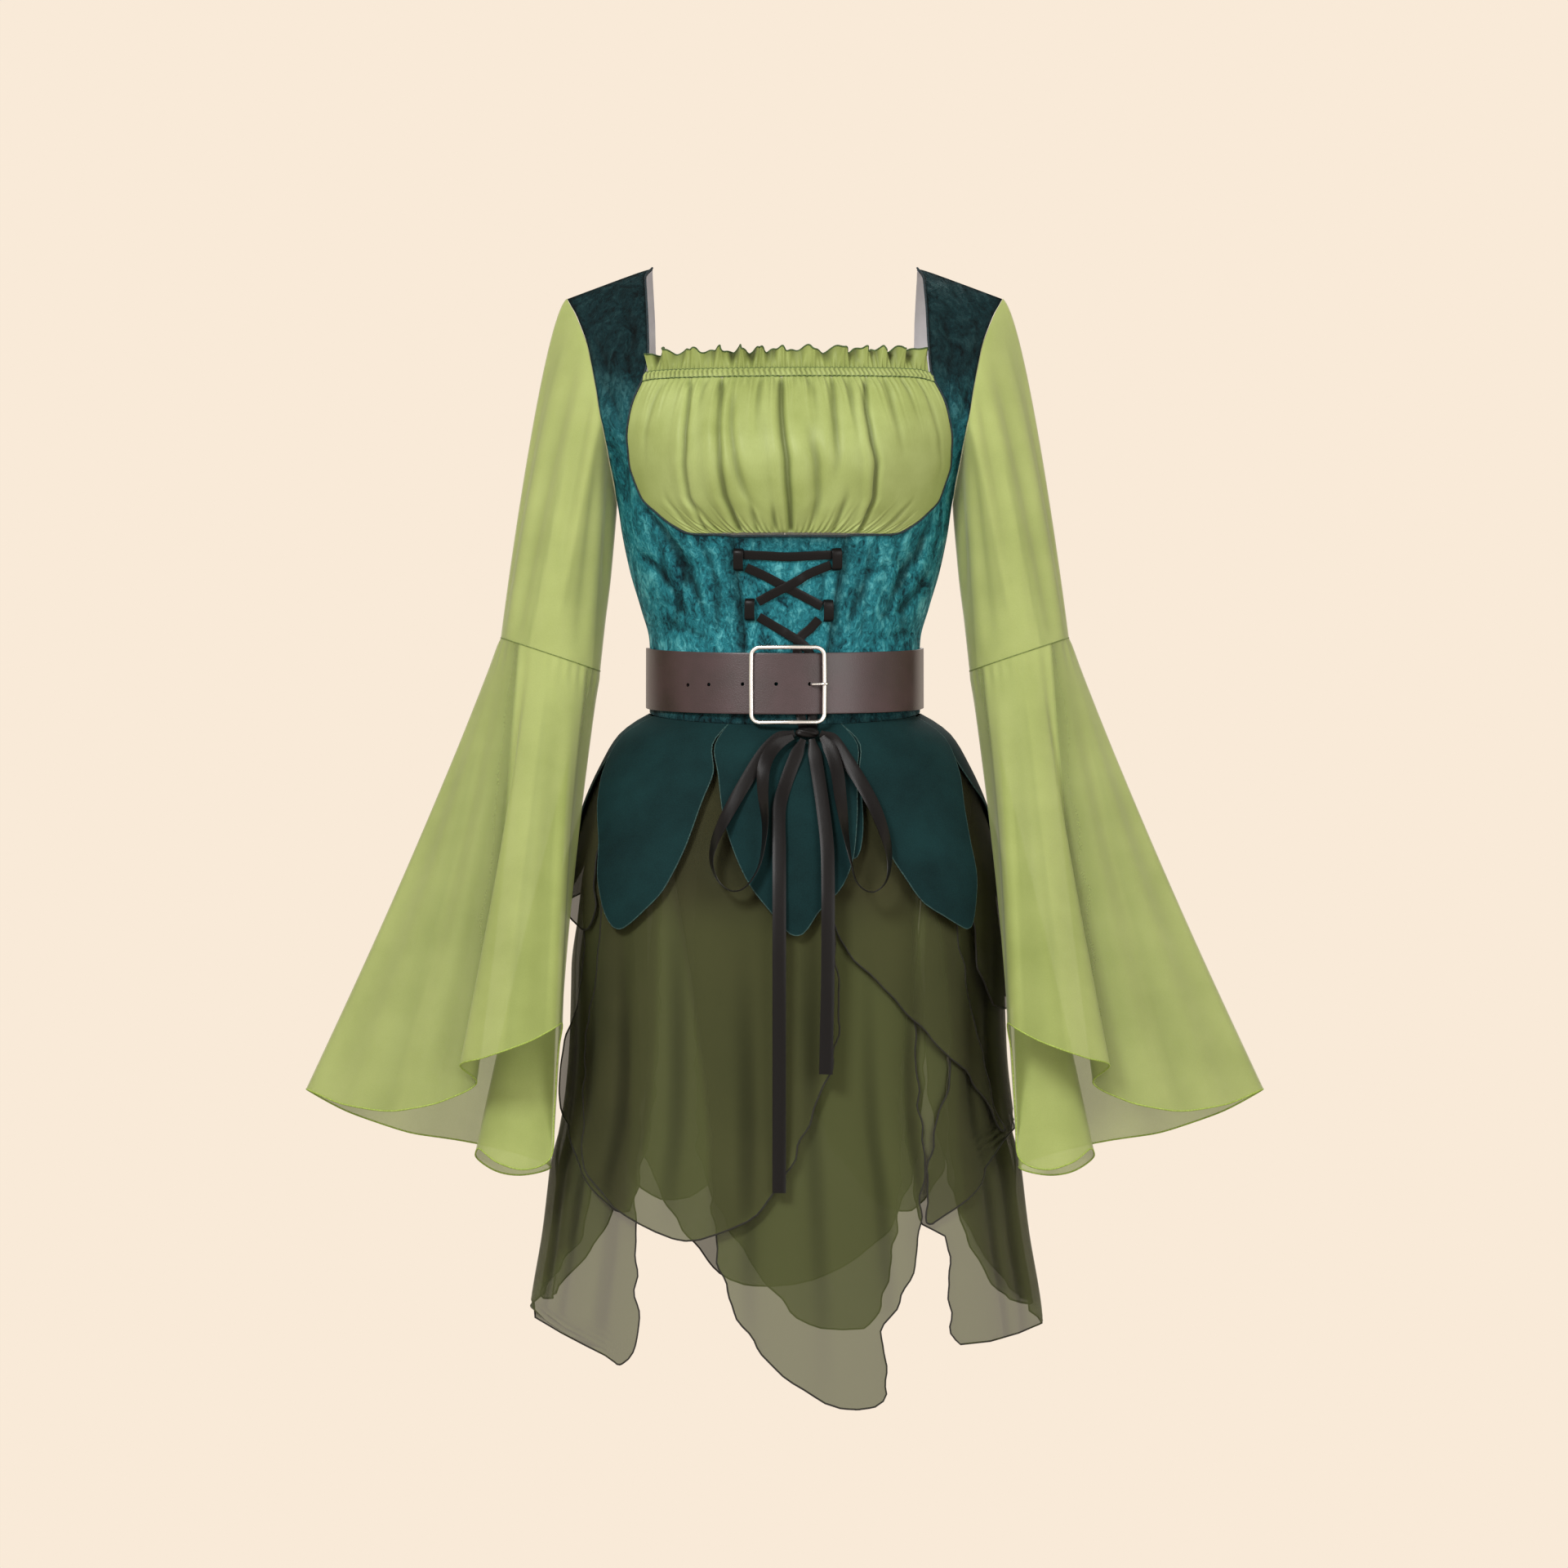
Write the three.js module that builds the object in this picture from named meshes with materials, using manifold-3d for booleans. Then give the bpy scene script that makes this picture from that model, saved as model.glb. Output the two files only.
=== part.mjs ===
// Elf costume in its worn form: velvet bodice with a gathered bust panel, sleeves with long bells,
// a wide leather belt, ribbon lacing with a bow, a leaf peplum and a layered chiffon skirt.
// Millimetres, +Z up, -Y to the front. Left and right are as seen from the front.
// The origin is the middle of the shoulder line, where a wearer's shoulders would carry the garment.

import * as THREE from "three";
import { mergeVertices } from "three/addons/utils/BufferGeometryUtils.js";
import Module from "manifold-3d";

const wasm = await Module();
wasm.setup();

// Walls and seams
const VELVET_WALL = 1.6;
const SATIN_WALL = 1.1;
const PETAL_WALL = 1.1;
const LEATHER_WALL = 2.6;
const SEAM = 0.34;

// Fineness: passes to find a spot on the body, distance within which corners are joined, sides of a
// wire, and half steps over which the slopes of the body and of the skirt are taken
const FIT_PASSES = 12;
const WELD = 1e-4;
const WIRE_SIDES = 8;
const TORSO_STEP = { turn: 0.5, rise: 0.5 };
const SKIRT_STEP = { turn: 1, drop: 2 };

// Torso sections: level is the height before the shoulders slope away
const SHOULDER_RIDGE = 13.5;
const RIDGE_REACH = 0.1;
const TORSO = [
  { level: -430, side: 125, front: 93.5, back: 90 },
  { level: -400, side: 124.6, front: 92.6, back: 89 },
  { level: -365, side: 123.4, front: 89.3, back: 84 },
  { level: -330, side: 124.6, front: 88.5, back: 82.5 },
  { level: -300, side: 132.5, front: 93, back: 84 },
  { level: -266, side: 142.5, front: 100, back: 87 },
  { level: -232, side: 149.5, front: 110, back: 91 },
  { level: -206, side: 153.5, front: 120, back: 94 },
  { level: -170, side: 164, front: 127, back: 97 },
  { level: -116, side: 195, front: 110, back: 96 },
  { level: -82, side: 207, front: 89, back: 88 },
  { level: -60, side: 215, front: 75, back: 78 },
  { level: -30, side: 225, front: 52, back: 54 },
  { level: -15, side: 230, front: 37, back: 38 },
  { level: 0, side: 235, front: 19, back: 19 },
  { level: SHOULDER_RIDGE, side: 240, front: 0, back: 0 },
];
const CUP = { fullness: 8, angle: 27, spreadAngle: 15, level: -172, spreadLevel: 46 };
const SLOPE = { fall: 0.375, from: 123, softness: 8, fadeTop: -60, fadeBottom: -206 };
const WAIST = { side: -395, frontDip: 13 };

// Side fronts, a row for each station: neck or bust edge on either side, then armhole or side seam
const SIDE_FRONT = [
  { edgeLeft: 121.5, edgeRight: 121.5, edgeZ: 12.3, outerX: 200, outerZ: -15 },
  { edgeLeft: 127.5, edgeRight: 126.5, edgeZ: 4, outerX: 197, outerZ: -21 },
  { edgeLeft: 126.5, edgeRight: 128, edgeZ: -13, outerX: 192.5, outerZ: -29 },
  { edgeLeft: 125, edgeRight: 129, edgeZ: -33, outerX: 187, outerZ: -42 },
  { edgeLeft: 124, edgeRight: 129.5, edgeZ: -52, outerX: 180.5, outerZ: -60 },
  { edgeLeft: 123.5, edgeRight: 130.5, edgeZ: -71, outerX: 176, outerZ: -80 },
  { edgeLeft: 126.5, edgeRight: 132.5, edgeZ: -90, outerX: 172.5, outerZ: -98 },
  { edgeLeft: 129.5, edgeRight: 136, edgeZ: -98.5, outerX: 169.5, outerZ: -116 },
  { edgeLeft: 135.5, edgeRight: 143, edgeZ: -112, outerX: 166, outerZ: -134 },
  { edgeLeft: 140.6, edgeRight: 148.5, edgeZ: -131, outerX: 162.5, outerZ: -152 },
  { edgeLeft: 142, edgeRight: 151, edgeZ: -155, outerX: 159.5, outerZ: -170 },
  { edgeLeft: 139, edgeRight: 149, edgeZ: -178, outerX: 156, outerZ: -189 },
  { edgeLeft: 130, edgeRight: 141, edgeZ: -201, outerX: 153.5, outerZ: -206 },
  { edgeLeft: 116, edgeRight: 129, edgeZ: -216, outerX: 151, outerZ: -218 },
  { edgeLeft: 101, edgeRight: 115, edgeZ: -228, outerX: 149, outerZ: -230 },
  { edgeLeft: 84, edgeRight: 98, edgeZ: -236, outerX: 147, outerZ: -242 },
  { edgeLeft: 46.7, edgeRight: 54.5, edgeZ: -238.6, outerX: 145, outerZ: -254 },
  { edgeLeft: 44, edgeRight: 51, edgeZ: -263, outerX: 140, outerZ: -275 },
  { edgeLeft: 40.2, edgeRight: 46, edgeZ: -293, outerX: 133, outerZ: -300 },
  { edgeLeft: 36.8, edgeRight: 41, edgeZ: -326, outerX: 125, outerZ: -330 },
  { edgeLeft: 36, edgeRight: 38, edgeZ: -363, outerX: 123.4, outerZ: -363 },
  { edgeLeft: 36, edgeRight: 38, edgeZ: -408, outerX: 124.6, outerZ: -395 },
];
const STATION = { casingTop: 6, casingFoot: 7, underarm: 12, underbust: 15, seamTop: 16, waist: 21 };
const SIDE_FRONT_COLUMNS = 6;
const BACK_COLUMNS = 5;
const CENTER_COLUMNS = 6;

// Back neckline and centre-back seam, at the same stations
const BACK_EDGE = [
  { x: 121.5, z: 12.3 },
  { x: 121.5, z: 3 },
  { x: 121, z: -14 },
  { x: 120.5, z: -32 },
  { x: 120.5, z: -50 },
  { x: 120, z: -69 },
  { x: 118, z: -86 },
  { x: 106, z: -102 },
  { x: 64, z: -111 },
  { x: 0, z: -114 },
  { x: 0, z: -131 },
  { x: 0, z: -153 },
  { x: 0, z: -178 },
  { x: 0, z: -200 },
  { x: 0, z: -217 },
  { x: 0, z: -234 },
  { x: 0, z: -252 },
  { x: 0, z: -275 },
  { x: 0, z: -300 },
  { x: 0, z: -330 },
  { x: 0, z: -363 },
  { x: 0, z: -395 },
];

// Bust panel, casing and ruffle
const BUST = { gathers: 19, depthTop: 2, depthMiddle: 1.5, depthFoot: 1.9, puff: 5, edgeEase: 0.5 };
const GATHER_WANDER = { share: 0.3, rate: 1.7, shift: 0.6 };
const GATHER_HEIGHT = { mean: 0.7, change: 0.3, rate: 2.3, shift: 0.4 };
const CASING = { puckers: 34, relief: 0.9 };
const RUFFLE = { waves: 17, perWave: 3, height: 18, depth: 4.5, scallop: 2.2, lean: 3, setBack: 0.2 };
const RUFFLE_ENDS = 0.012;
const RUFFLE_RISES = [1, 0.5, 0];
const RUFFLE_WAVE = { shift: 0.5, lag: 1, mean: 0.75, change: 0.25, rate: 0.9 };

// Upper sleeve
const ARMHOLE_CENTER = new THREE.Vector3(180, 0, -110);
const ELBOW = { x: 214, y: -25, z: -343, halfWidth: 45.4, halfDepth: 40, tilt: 15.2 };
const ELBOW_WAY = new THREE.Vector3(0.1, -0.08, -1).normalize();
const UPPER_SLEEVE = { rings: 5, startPull: 60, shoulderPull: 78, endPull: 95 };

// Way out of the armhole: how far it leans out, forward and down, from the underarm to the shoulder
const SLEEVE_HEAD = { outLow: 0.04, outGain: 0.76, forward: 0.35, downGain: 0.42, ease: 1.5, ridgeGap: 1.4 };

// Bell hem, round the arm from its outer tip (angle 0) by the front (90) to the body (180)
const BELL_HEM = [
  { angle: 0, x: 434, y: -45, z: -739 },
  { angle: 16, x: 398, y: -80, z: -750 },
  { angle: 34, x: 346, y: -102, z: -754 },
  { angle: 50, x: 301, y: -108, z: -743 },
  { angle: 62, x: 277, y: -101, z: -730 },
  { angle: 74, x: 290, y: -130, z: -712 },
  { angle: 86, x: 268, y: -156, z: -704 },
  { angle: 100, x: 240, y: -168, z: -694 },
  { angle: 118, x: 210, y: -158, z: -681 },
  { angle: 134, x: 199, y: -132, z: -675 },
  { angle: 148, x: 203, y: -112, z: -705 },
  { angle: 162, x: 207, y: -100, z: -760 },
  { angle: 176, x: 211, y: -98, z: -798 },
  { angle: 187, x: 233, y: -106, z: -807 },
  { angle: 196, x: 256, y: -99, z: -802 },
  { angle: 205, x: 276, y: -81, z: -790 },
  { angle: 213, x: 280, y: -67, z: -798 },
  { angle: 222, x: 262, y: -57, z: -812 },
  { angle: 232, x: 240, y: -54, z: -816 },
  { angle: 242, x: 214, y: -47, z: -811 },
  { angle: 252, x: 218, y: -31, z: -807 },
  { angle: 265, x: 240, y: -8, z: -801 },
  { angle: 285, x: 278, y: 2, z: -792 },
  { angle: 315, x: 346, y: 8, z: -781 },
  { angle: 340, x: 398, y: -12, z: -762 },
];
const BELL = { rings: 4, longestSpan: 36, hollow: 5 };

// Belt, buckle and prong
const BELT = { top: -336, height: 55.5, frontDip: 7.5, start: 15.5, steps: 44, tipSteps: 4 };
const BELT_LIFT = { seat: 0.65, front: 3.4, frontUntil: 18, flatFrom: 54, lapUntil: 62, lapGone: 82 };
const BELT_HOLES = { radius: 1.7, punch: 30, sides: 8, z: -372, x: [-85, -66, -36.5, -7.5, 21.5] };
const BUCKLE = { left: -28.6, right: 33, top: -338.5, bottom: -406.6, corner: 7.5, wire: 2, steps: 28 };
const BELT_DOUBLE_FROM = BUCKLE.right - 22;
const PRONG_RADIUS = 1.25;
const PRONG = [
  { x: 34.9, lift: 6.3 },
  { x: 32.2, lift: 6.3 },
  { x: 27.6, lift: 3 },
  { x: 22.2, lift: PRONG_RADIUS + SEAM - 3 },
];

// Ribbon lacing over the centre front
const LACE = { width: 8.2, wall: 1 };
const LACE_BAR = [
  { x: -37, z: -255, lift: 1 },
  { x: -18, z: -256, lift: 1 },
  { x: 3, z: -257, lift: 1 },
  { x: 24, z: -256, lift: 1 },
  { x: 42, z: -255, lift: 1 },
];
const LACE_UNDER = [
  { x: -34.4, z: -266.4, lift: 1 },
  { x: -18, z: -274, lift: 1 },
  { x: 0.7, z: -284, lift: 1 },
  { x: 18, z: -293, lift: 1 },
  { x: 33, z: -301, lift: 1 },
];
const LACE_OVER = [
  { x: 41, z: -264, lift: 1 },
  { x: 20, z: -273, lift: 1 },
  { x: 11, z: -278.5, lift: 2.4 },
  { x: 0.7, z: -284, lift: 2.6 },
  { x: -9, z: -289, lift: 2.4 },
  { x: -18, z: -294, lift: 1 },
  { x: -24, z: -297.4, lift: 1 },
];
const LACE_TIE_LEFT = [
  { x: -23.4, z: -310.4, lift: 1 },
  { x: -6, z: -321, lift: 1 },
  { x: 3, z: -326.5, lift: 2.4 },
  { x: 12.5, z: -333, lift: 2.6 },
  { x: 20, z: -340, lift: 2.4 },
  { x: 24.5, z: -352, lift: 1 },
  { x: 25.5, z: -375, lift: 1 },
  { x: 25, z: -398, lift: 1 },
  { x: 24.5, z: -408, lift: 3.4 },
  { x: 24, z: -413, lift: 10 },
];
const LACE_TIE_RIGHT = [
  { x: 30.5, z: -312.5, lift: 1 },
  { x: 23, z: -321, lift: 1 },
  { x: 12.5, z: -332, lift: 1 },
  { x: 10.5, z: -352, lift: 1 },
  { x: 12, z: -375, lift: 1 },
  { x: 14, z: -398, lift: 1 },
  { x: 15.5, z: -408, lift: 3.4 },
  { x: 16, z: -413, lift: 8.8 },
];
const LACE_LOOP = { width: 9, reach: 9.5, shoulder: 0.8, seat: 1, arch: 4.6, wall: 1 };
const LACE_LOOPS = [
  { name: "lace_loop_upper_left", x: -41, z: -259.5 },
  { name: "lace_loop_upper_right", x: 46, z: -259 },
  { name: "lace_loop_lower_left", x: -31, z: -304 },
  { name: "lace_loop_lower_right", x: 38.5, z: -305 },
];

// Bow: routes of the flat ribbon, with the turn of its width out of the front plane at each point
const RIBBON = { width: 12, wall: 1.2, pinch: 0.5, edgeShare: 0.5, edgeWidth: 0.4 };
const BOW_KNOT = { x: 20, y: -106.6, z: -415.5, radius: 4.4, length: 13, capRings: 3, sides: 8 };
const BOW_LOOP_LEFT = [
  { x: 8.6, y: -106.4, z: -415.6, turn: 0 },
  { x: -6, y: -108.5, z: -421, turn: 0 },
  { x: -20.5, y: -114, z: -436, turn: 5 },
  { x: -39.5, y: -125, z: -467, turn: 12 },
  { x: -52.6, y: -134, z: -491, turn: 30 },
  { x: -62, y: -142, z: -512, turn: 55 },
  { x: -65, y: -148, z: -531, turn: 75 },
  { x: -58.4, y: -154, z: -548, turn: 85 },
  { x: -46, y: -158, z: -556, turn: 90 },
  { x: -33.6, y: -159, z: -551, turn: 92 },
  { x: -22, y: -155, z: -531, turn: 98 },
  { x: -17.5, y: -145.5, z: -499, turn: 115 },
  { x: -19.5, y: -134, z: -467, turn: 145 },
  { x: -18, y: -124.5, z: -444, turn: 168 },
  { x: -8.5, y: -116, z: -427, turn: 178 },
  { x: 7.2, y: -109.6, z: -418.6, turn: 180 },
];
const BOW_LOOP_RIGHT = [
  { x: 31.8, y: -106.4, z: -415.6, turn: 0 },
  { x: 43, y: -106.5, z: -422, turn: 0 },
  { x: 53, y: -111, z: -436, turn: 0 },
  { x: 67, y: -119, z: -458, turn: -8 },
  { x: 80.5, y: -127, z: -483, turn: -22 },
  { x: 90, y: -136, z: -510, turn: -48 },
  { x: 93, y: -143, z: -531, turn: -70 },
  { x: 89, y: -149, z: -549, turn: -84 },
  { x: 77, y: -154, z: -557, turn: -90 },
  { x: 64.5, y: -155, z: -549, turn: -92 },
  { x: 59, y: -152, z: -531, turn: -98 },
  { x: 54, y: -143, z: -505, turn: -118 },
  { x: 50, y: -132, z: -476, turn: -150 },
  { x: 46.5, y: -121.5, z: -449, turn: -170 },
  { x: 40.5, y: -114, z: -430, turn: -178 },
  { x: 33.4, y: -109.6, z: -418.8, turn: -180 },
];
const BOW_TAIL_LEFT = [
  { x: 16.5, y: -108, z: -421.2, turn: 0 },
  { x: 10, y: -113.5, z: -436, turn: 0 },
  { x: 1, y: -122, z: -460, turn: 0 },
  { x: -5, y: -133, z: -484, turn: 0 },
  { x: -5, y: -147.5, z: -520, turn: 0 },
  { x: -5, y: -157, z: -552, turn: 0 },
  { x: -5, y: -164, z: -594, turn: 0 },
  { x: -5, y: -168, z: -640, turn: 3 },
  { x: -5, y: -171, z: -690, turn: 6 },
  { x: -5, y: -174, z: -740, turn: 6 },
  { x: -5, y: -177, z: -785, turn: 3 },
  { x: -5, y: -180, z: -822, turn: 0 },
];
const BOW_TAIL_RIGHT = [
  { x: 24, y: -107, z: -421, turn: 0 },
  { x: 27, y: -111.5, z: -436, turn: 0 },
  { x: 30, y: -120, z: -455, turn: 0 },
  { x: 34, y: -132, z: -483, turn: 0 },
  { x: 37.5, y: -144.5, z: -515, turn: -2 },
  { x: 38.3, y: -154, z: -546, turn: -4 },
  { x: 38.3, y: -160.5, z: -577, turn: -4 },
  { x: 38, y: -164.5, z: -633, turn: -2 },
  { x: 37, y: -167, z: -680, turn: 2 },
  { x: 36.2, y: -169, z: -718, turn: 4 },
];

// Skirt sections by the drop below the waist seam; outermost is the layer that this outline belongs to
const SKIRT = [
  { drop: 0, side: 125, front: 93, back: 90, outermost: 0 },
  { drop: 9, side: 141, front: 99, back: 100, outermost: 0 },
  { drop: 19, side: 154, front: 105, back: 110, outermost: 0 },
  { drop: 36, side: 167, front: 113, back: 123, outermost: 0 },
  { drop: 59, side: 179, front: 122, back: 136, outermost: 0.2 },
  { drop: 86, side: 188.5, front: 130, back: 146, outermost: 0.5 },
  { drop: 108, side: 193, front: 135, back: 152, outermost: 1 },
  { drop: 150, side: 200, front: 143, back: 160, outermost: 2 },
  { drop: 200, side: 203, front: 149, back: 166, outermost: 2 },
  { drop: 300, side: 204, front: 156, back: 172, outermost: 2.4 },
  { drop: 360, side: 207, front: 159, back: 175, outermost: 3 },
  { drop: 420, side: 219, front: 165, back: 182, outermost: 4 },
  { drop: 470, side: 226, front: 171, back: 187, outermost: 4 },
  { drop: 550, side: 236, front: 180, back: 194, outermost: 4.5 },
  { drop: 640, side: 240, front: 186, back: 198, outermost: 5 },
];
const LAYERS = { seamPitch: 1.45, spread: 3.4, spreadDrop: 60, facet: 12, facetedUntil: 16 };
const FOLDS = [
  { around: 9, share: 0.6, shift: 0.7 },
  { around: 13, share: 0.4, shift: 2.1 },
];
const FOLD_DEPTH = [
  { drop: 0, depth: 0 },
  { drop: 60, depth: 0.3 },
  { drop: 150, depth: 1.2 },
  { drop: 300, depth: 2.6 },
  { drop: 450, depth: 3.3 },
  { drop: 640, depth: 4.2 },
];
const SHARED_DROPS = [0, 8, 20, 44, 92, 145, 200];
const OWN_DROPS_FROM = 53;
const LONGEST_STEP = 90;
const SHORTEST_STEP = 9;

// Leaves of the peplum: edges by angle round the waist (0 front, 90 right) at each drop
const LEAVES = [
  {
    name: "leaf_front_left", layer: 0,
    rows: [
      { drop: 0, left: -72, right: -24 },
      { drop: 16, left: -75, right: -25.2 },
      { drop: 44, left: -72, right: -22 },
      { drop: 68, left: -67, right: -23.6 },
      { drop: 114, left: -58, right: -27 },
      { drop: 150, left: -54, right: -31.5 },
      { drop: 173, left: -51, right: -38 },
      { drop: 186, left: -47.5, right: -43.5 },
    ],
  },
  {
    name: "leaf_front_center", layer: 0,
    rows: [
      { drop: 0, left: -24, right: 24 },
      { drop: 16, left: -24.2, right: 25.2 },
      { drop: 45, left: -20.3, right: 22 },
      { drop: 89, left: -16.3, right: 19.7 },
      { drop: 118, left: -12.8, right: 18 },
      { drop: 145, left: -8.6, right: 14.5 },
      { drop: 168, left: -3.4, right: 8.3 },
      { drop: 187, left: 1.2, right: 4.4 },
    ],
  },
  {
    name: "leaf_front_right", layer: 0,
    rows: [
      { drop: 0, left: 24, right: 72 },
      { drop: 16, left: 26.2, right: 71 },
      { drop: 45, left: 23, right: 66 },
      { drop: 83, left: 26, right: 59.4 },
      { drop: 116, left: 28, right: 57.6 },
      { drop: 142, left: 32, right: 56.7 },
      { drop: 162, left: 36.6, right: 55.5 },
      { drop: 178, left: 44, right: 54 },
      { drop: 187, left: 49, right: 52.5 },
    ],
  },
  {
    name: "leaf_hip_left", layer: 1,
    rows: [
      { drop: 0, left: -120, right: -72 },
      { drop: 27, left: -122, right: -76 },
      { drop: 50, left: -122, right: -82 },
      { drop: 102, left: -119, right: -83.5 },
      { drop: 140, left: -114, right: -87 },
      { drop: 165, left: -108, right: -92 },
      { drop: 182, left: -102, right: -97.5 },
    ],
  },
  {
    name: "leaf_hip_right", layer: 1,
    rows: [
      { drop: 0, left: 72, right: 120 },
      { drop: 31, left: 71, right: 122 },
      { drop: 59, left: 75, right: 122 },
      { drop: 86, left: 84, right: 121 },
      { drop: 110, left: 90, right: 119 },
      { drop: 140, left: 95, right: 115 },
      { drop: 165, left: 99.5, right: 110.5 },
      { drop: 180, left: 103, right: 107 },
    ],
  },
  {
    name: "leaf_front_under", layer: 1,
    rows: [
      { drop: 0, left: 12, right: 36 },
      { drop: 16, left: 12.5, right: 31.5 },
      { drop: 41, left: 12, right: 23.4 },
      { drop: 70, left: 13, right: 22.5 },
      { drop: 92, left: 14, right: 21.8 },
      { drop: 111, left: 15, right: 20.5 },
      { drop: 119, left: 16.6, right: 19.2 },
    ],
  },
  {
    name: "leaf_back_right", layer: 0,
    rows: [
      { drop: 0, left: 108, right: 156 },
      { drop: 16, left: 107, right: 155.6 },
      { drop: 45, left: 107, right: 155 },
      { drop: 83, left: 111, right: 154 },
      { drop: 116, left: 115, right: 152 },
      { drop: 142, left: 119, right: 149 },
      { drop: 165, left: 124, right: 144 },
      { drop: 186, left: 131, right: 135.5 },
    ],
  },
  {
    name: "leaf_back_center", layer: 0,
    rows: [
      { drop: 0, left: 156, right: 204 },
      { drop: 16, left: 156.6, right: 203.4 },
      { drop: 45, left: 157.5, right: 202.5 },
      { drop: 89, left: 160, right: 200 },
      { drop: 118, left: 163, right: 197 },
      { drop: 145, left: 168, right: 193 },
      { drop: 168, left: 173, right: 188 },
      { drop: 188, left: 178.5, right: 182 },
    ],
  },
  {
    name: "leaf_back_left", layer: 0,
    rows: [
      { drop: 0, left: 204, right: 252 },
      { drop: 16, left: 204.4, right: 253 },
      { drop: 45, left: 205, right: 253 },
      { drop: 83, left: 206, right: 249 },
      { drop: 116, left: 208, right: 245 },
      { drop: 142, left: 211, right: 241 },
      { drop: 165, left: 216, right: 236 },
      { drop: 184, left: 224, right: 228.5 },
    ],
  },
];

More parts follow.
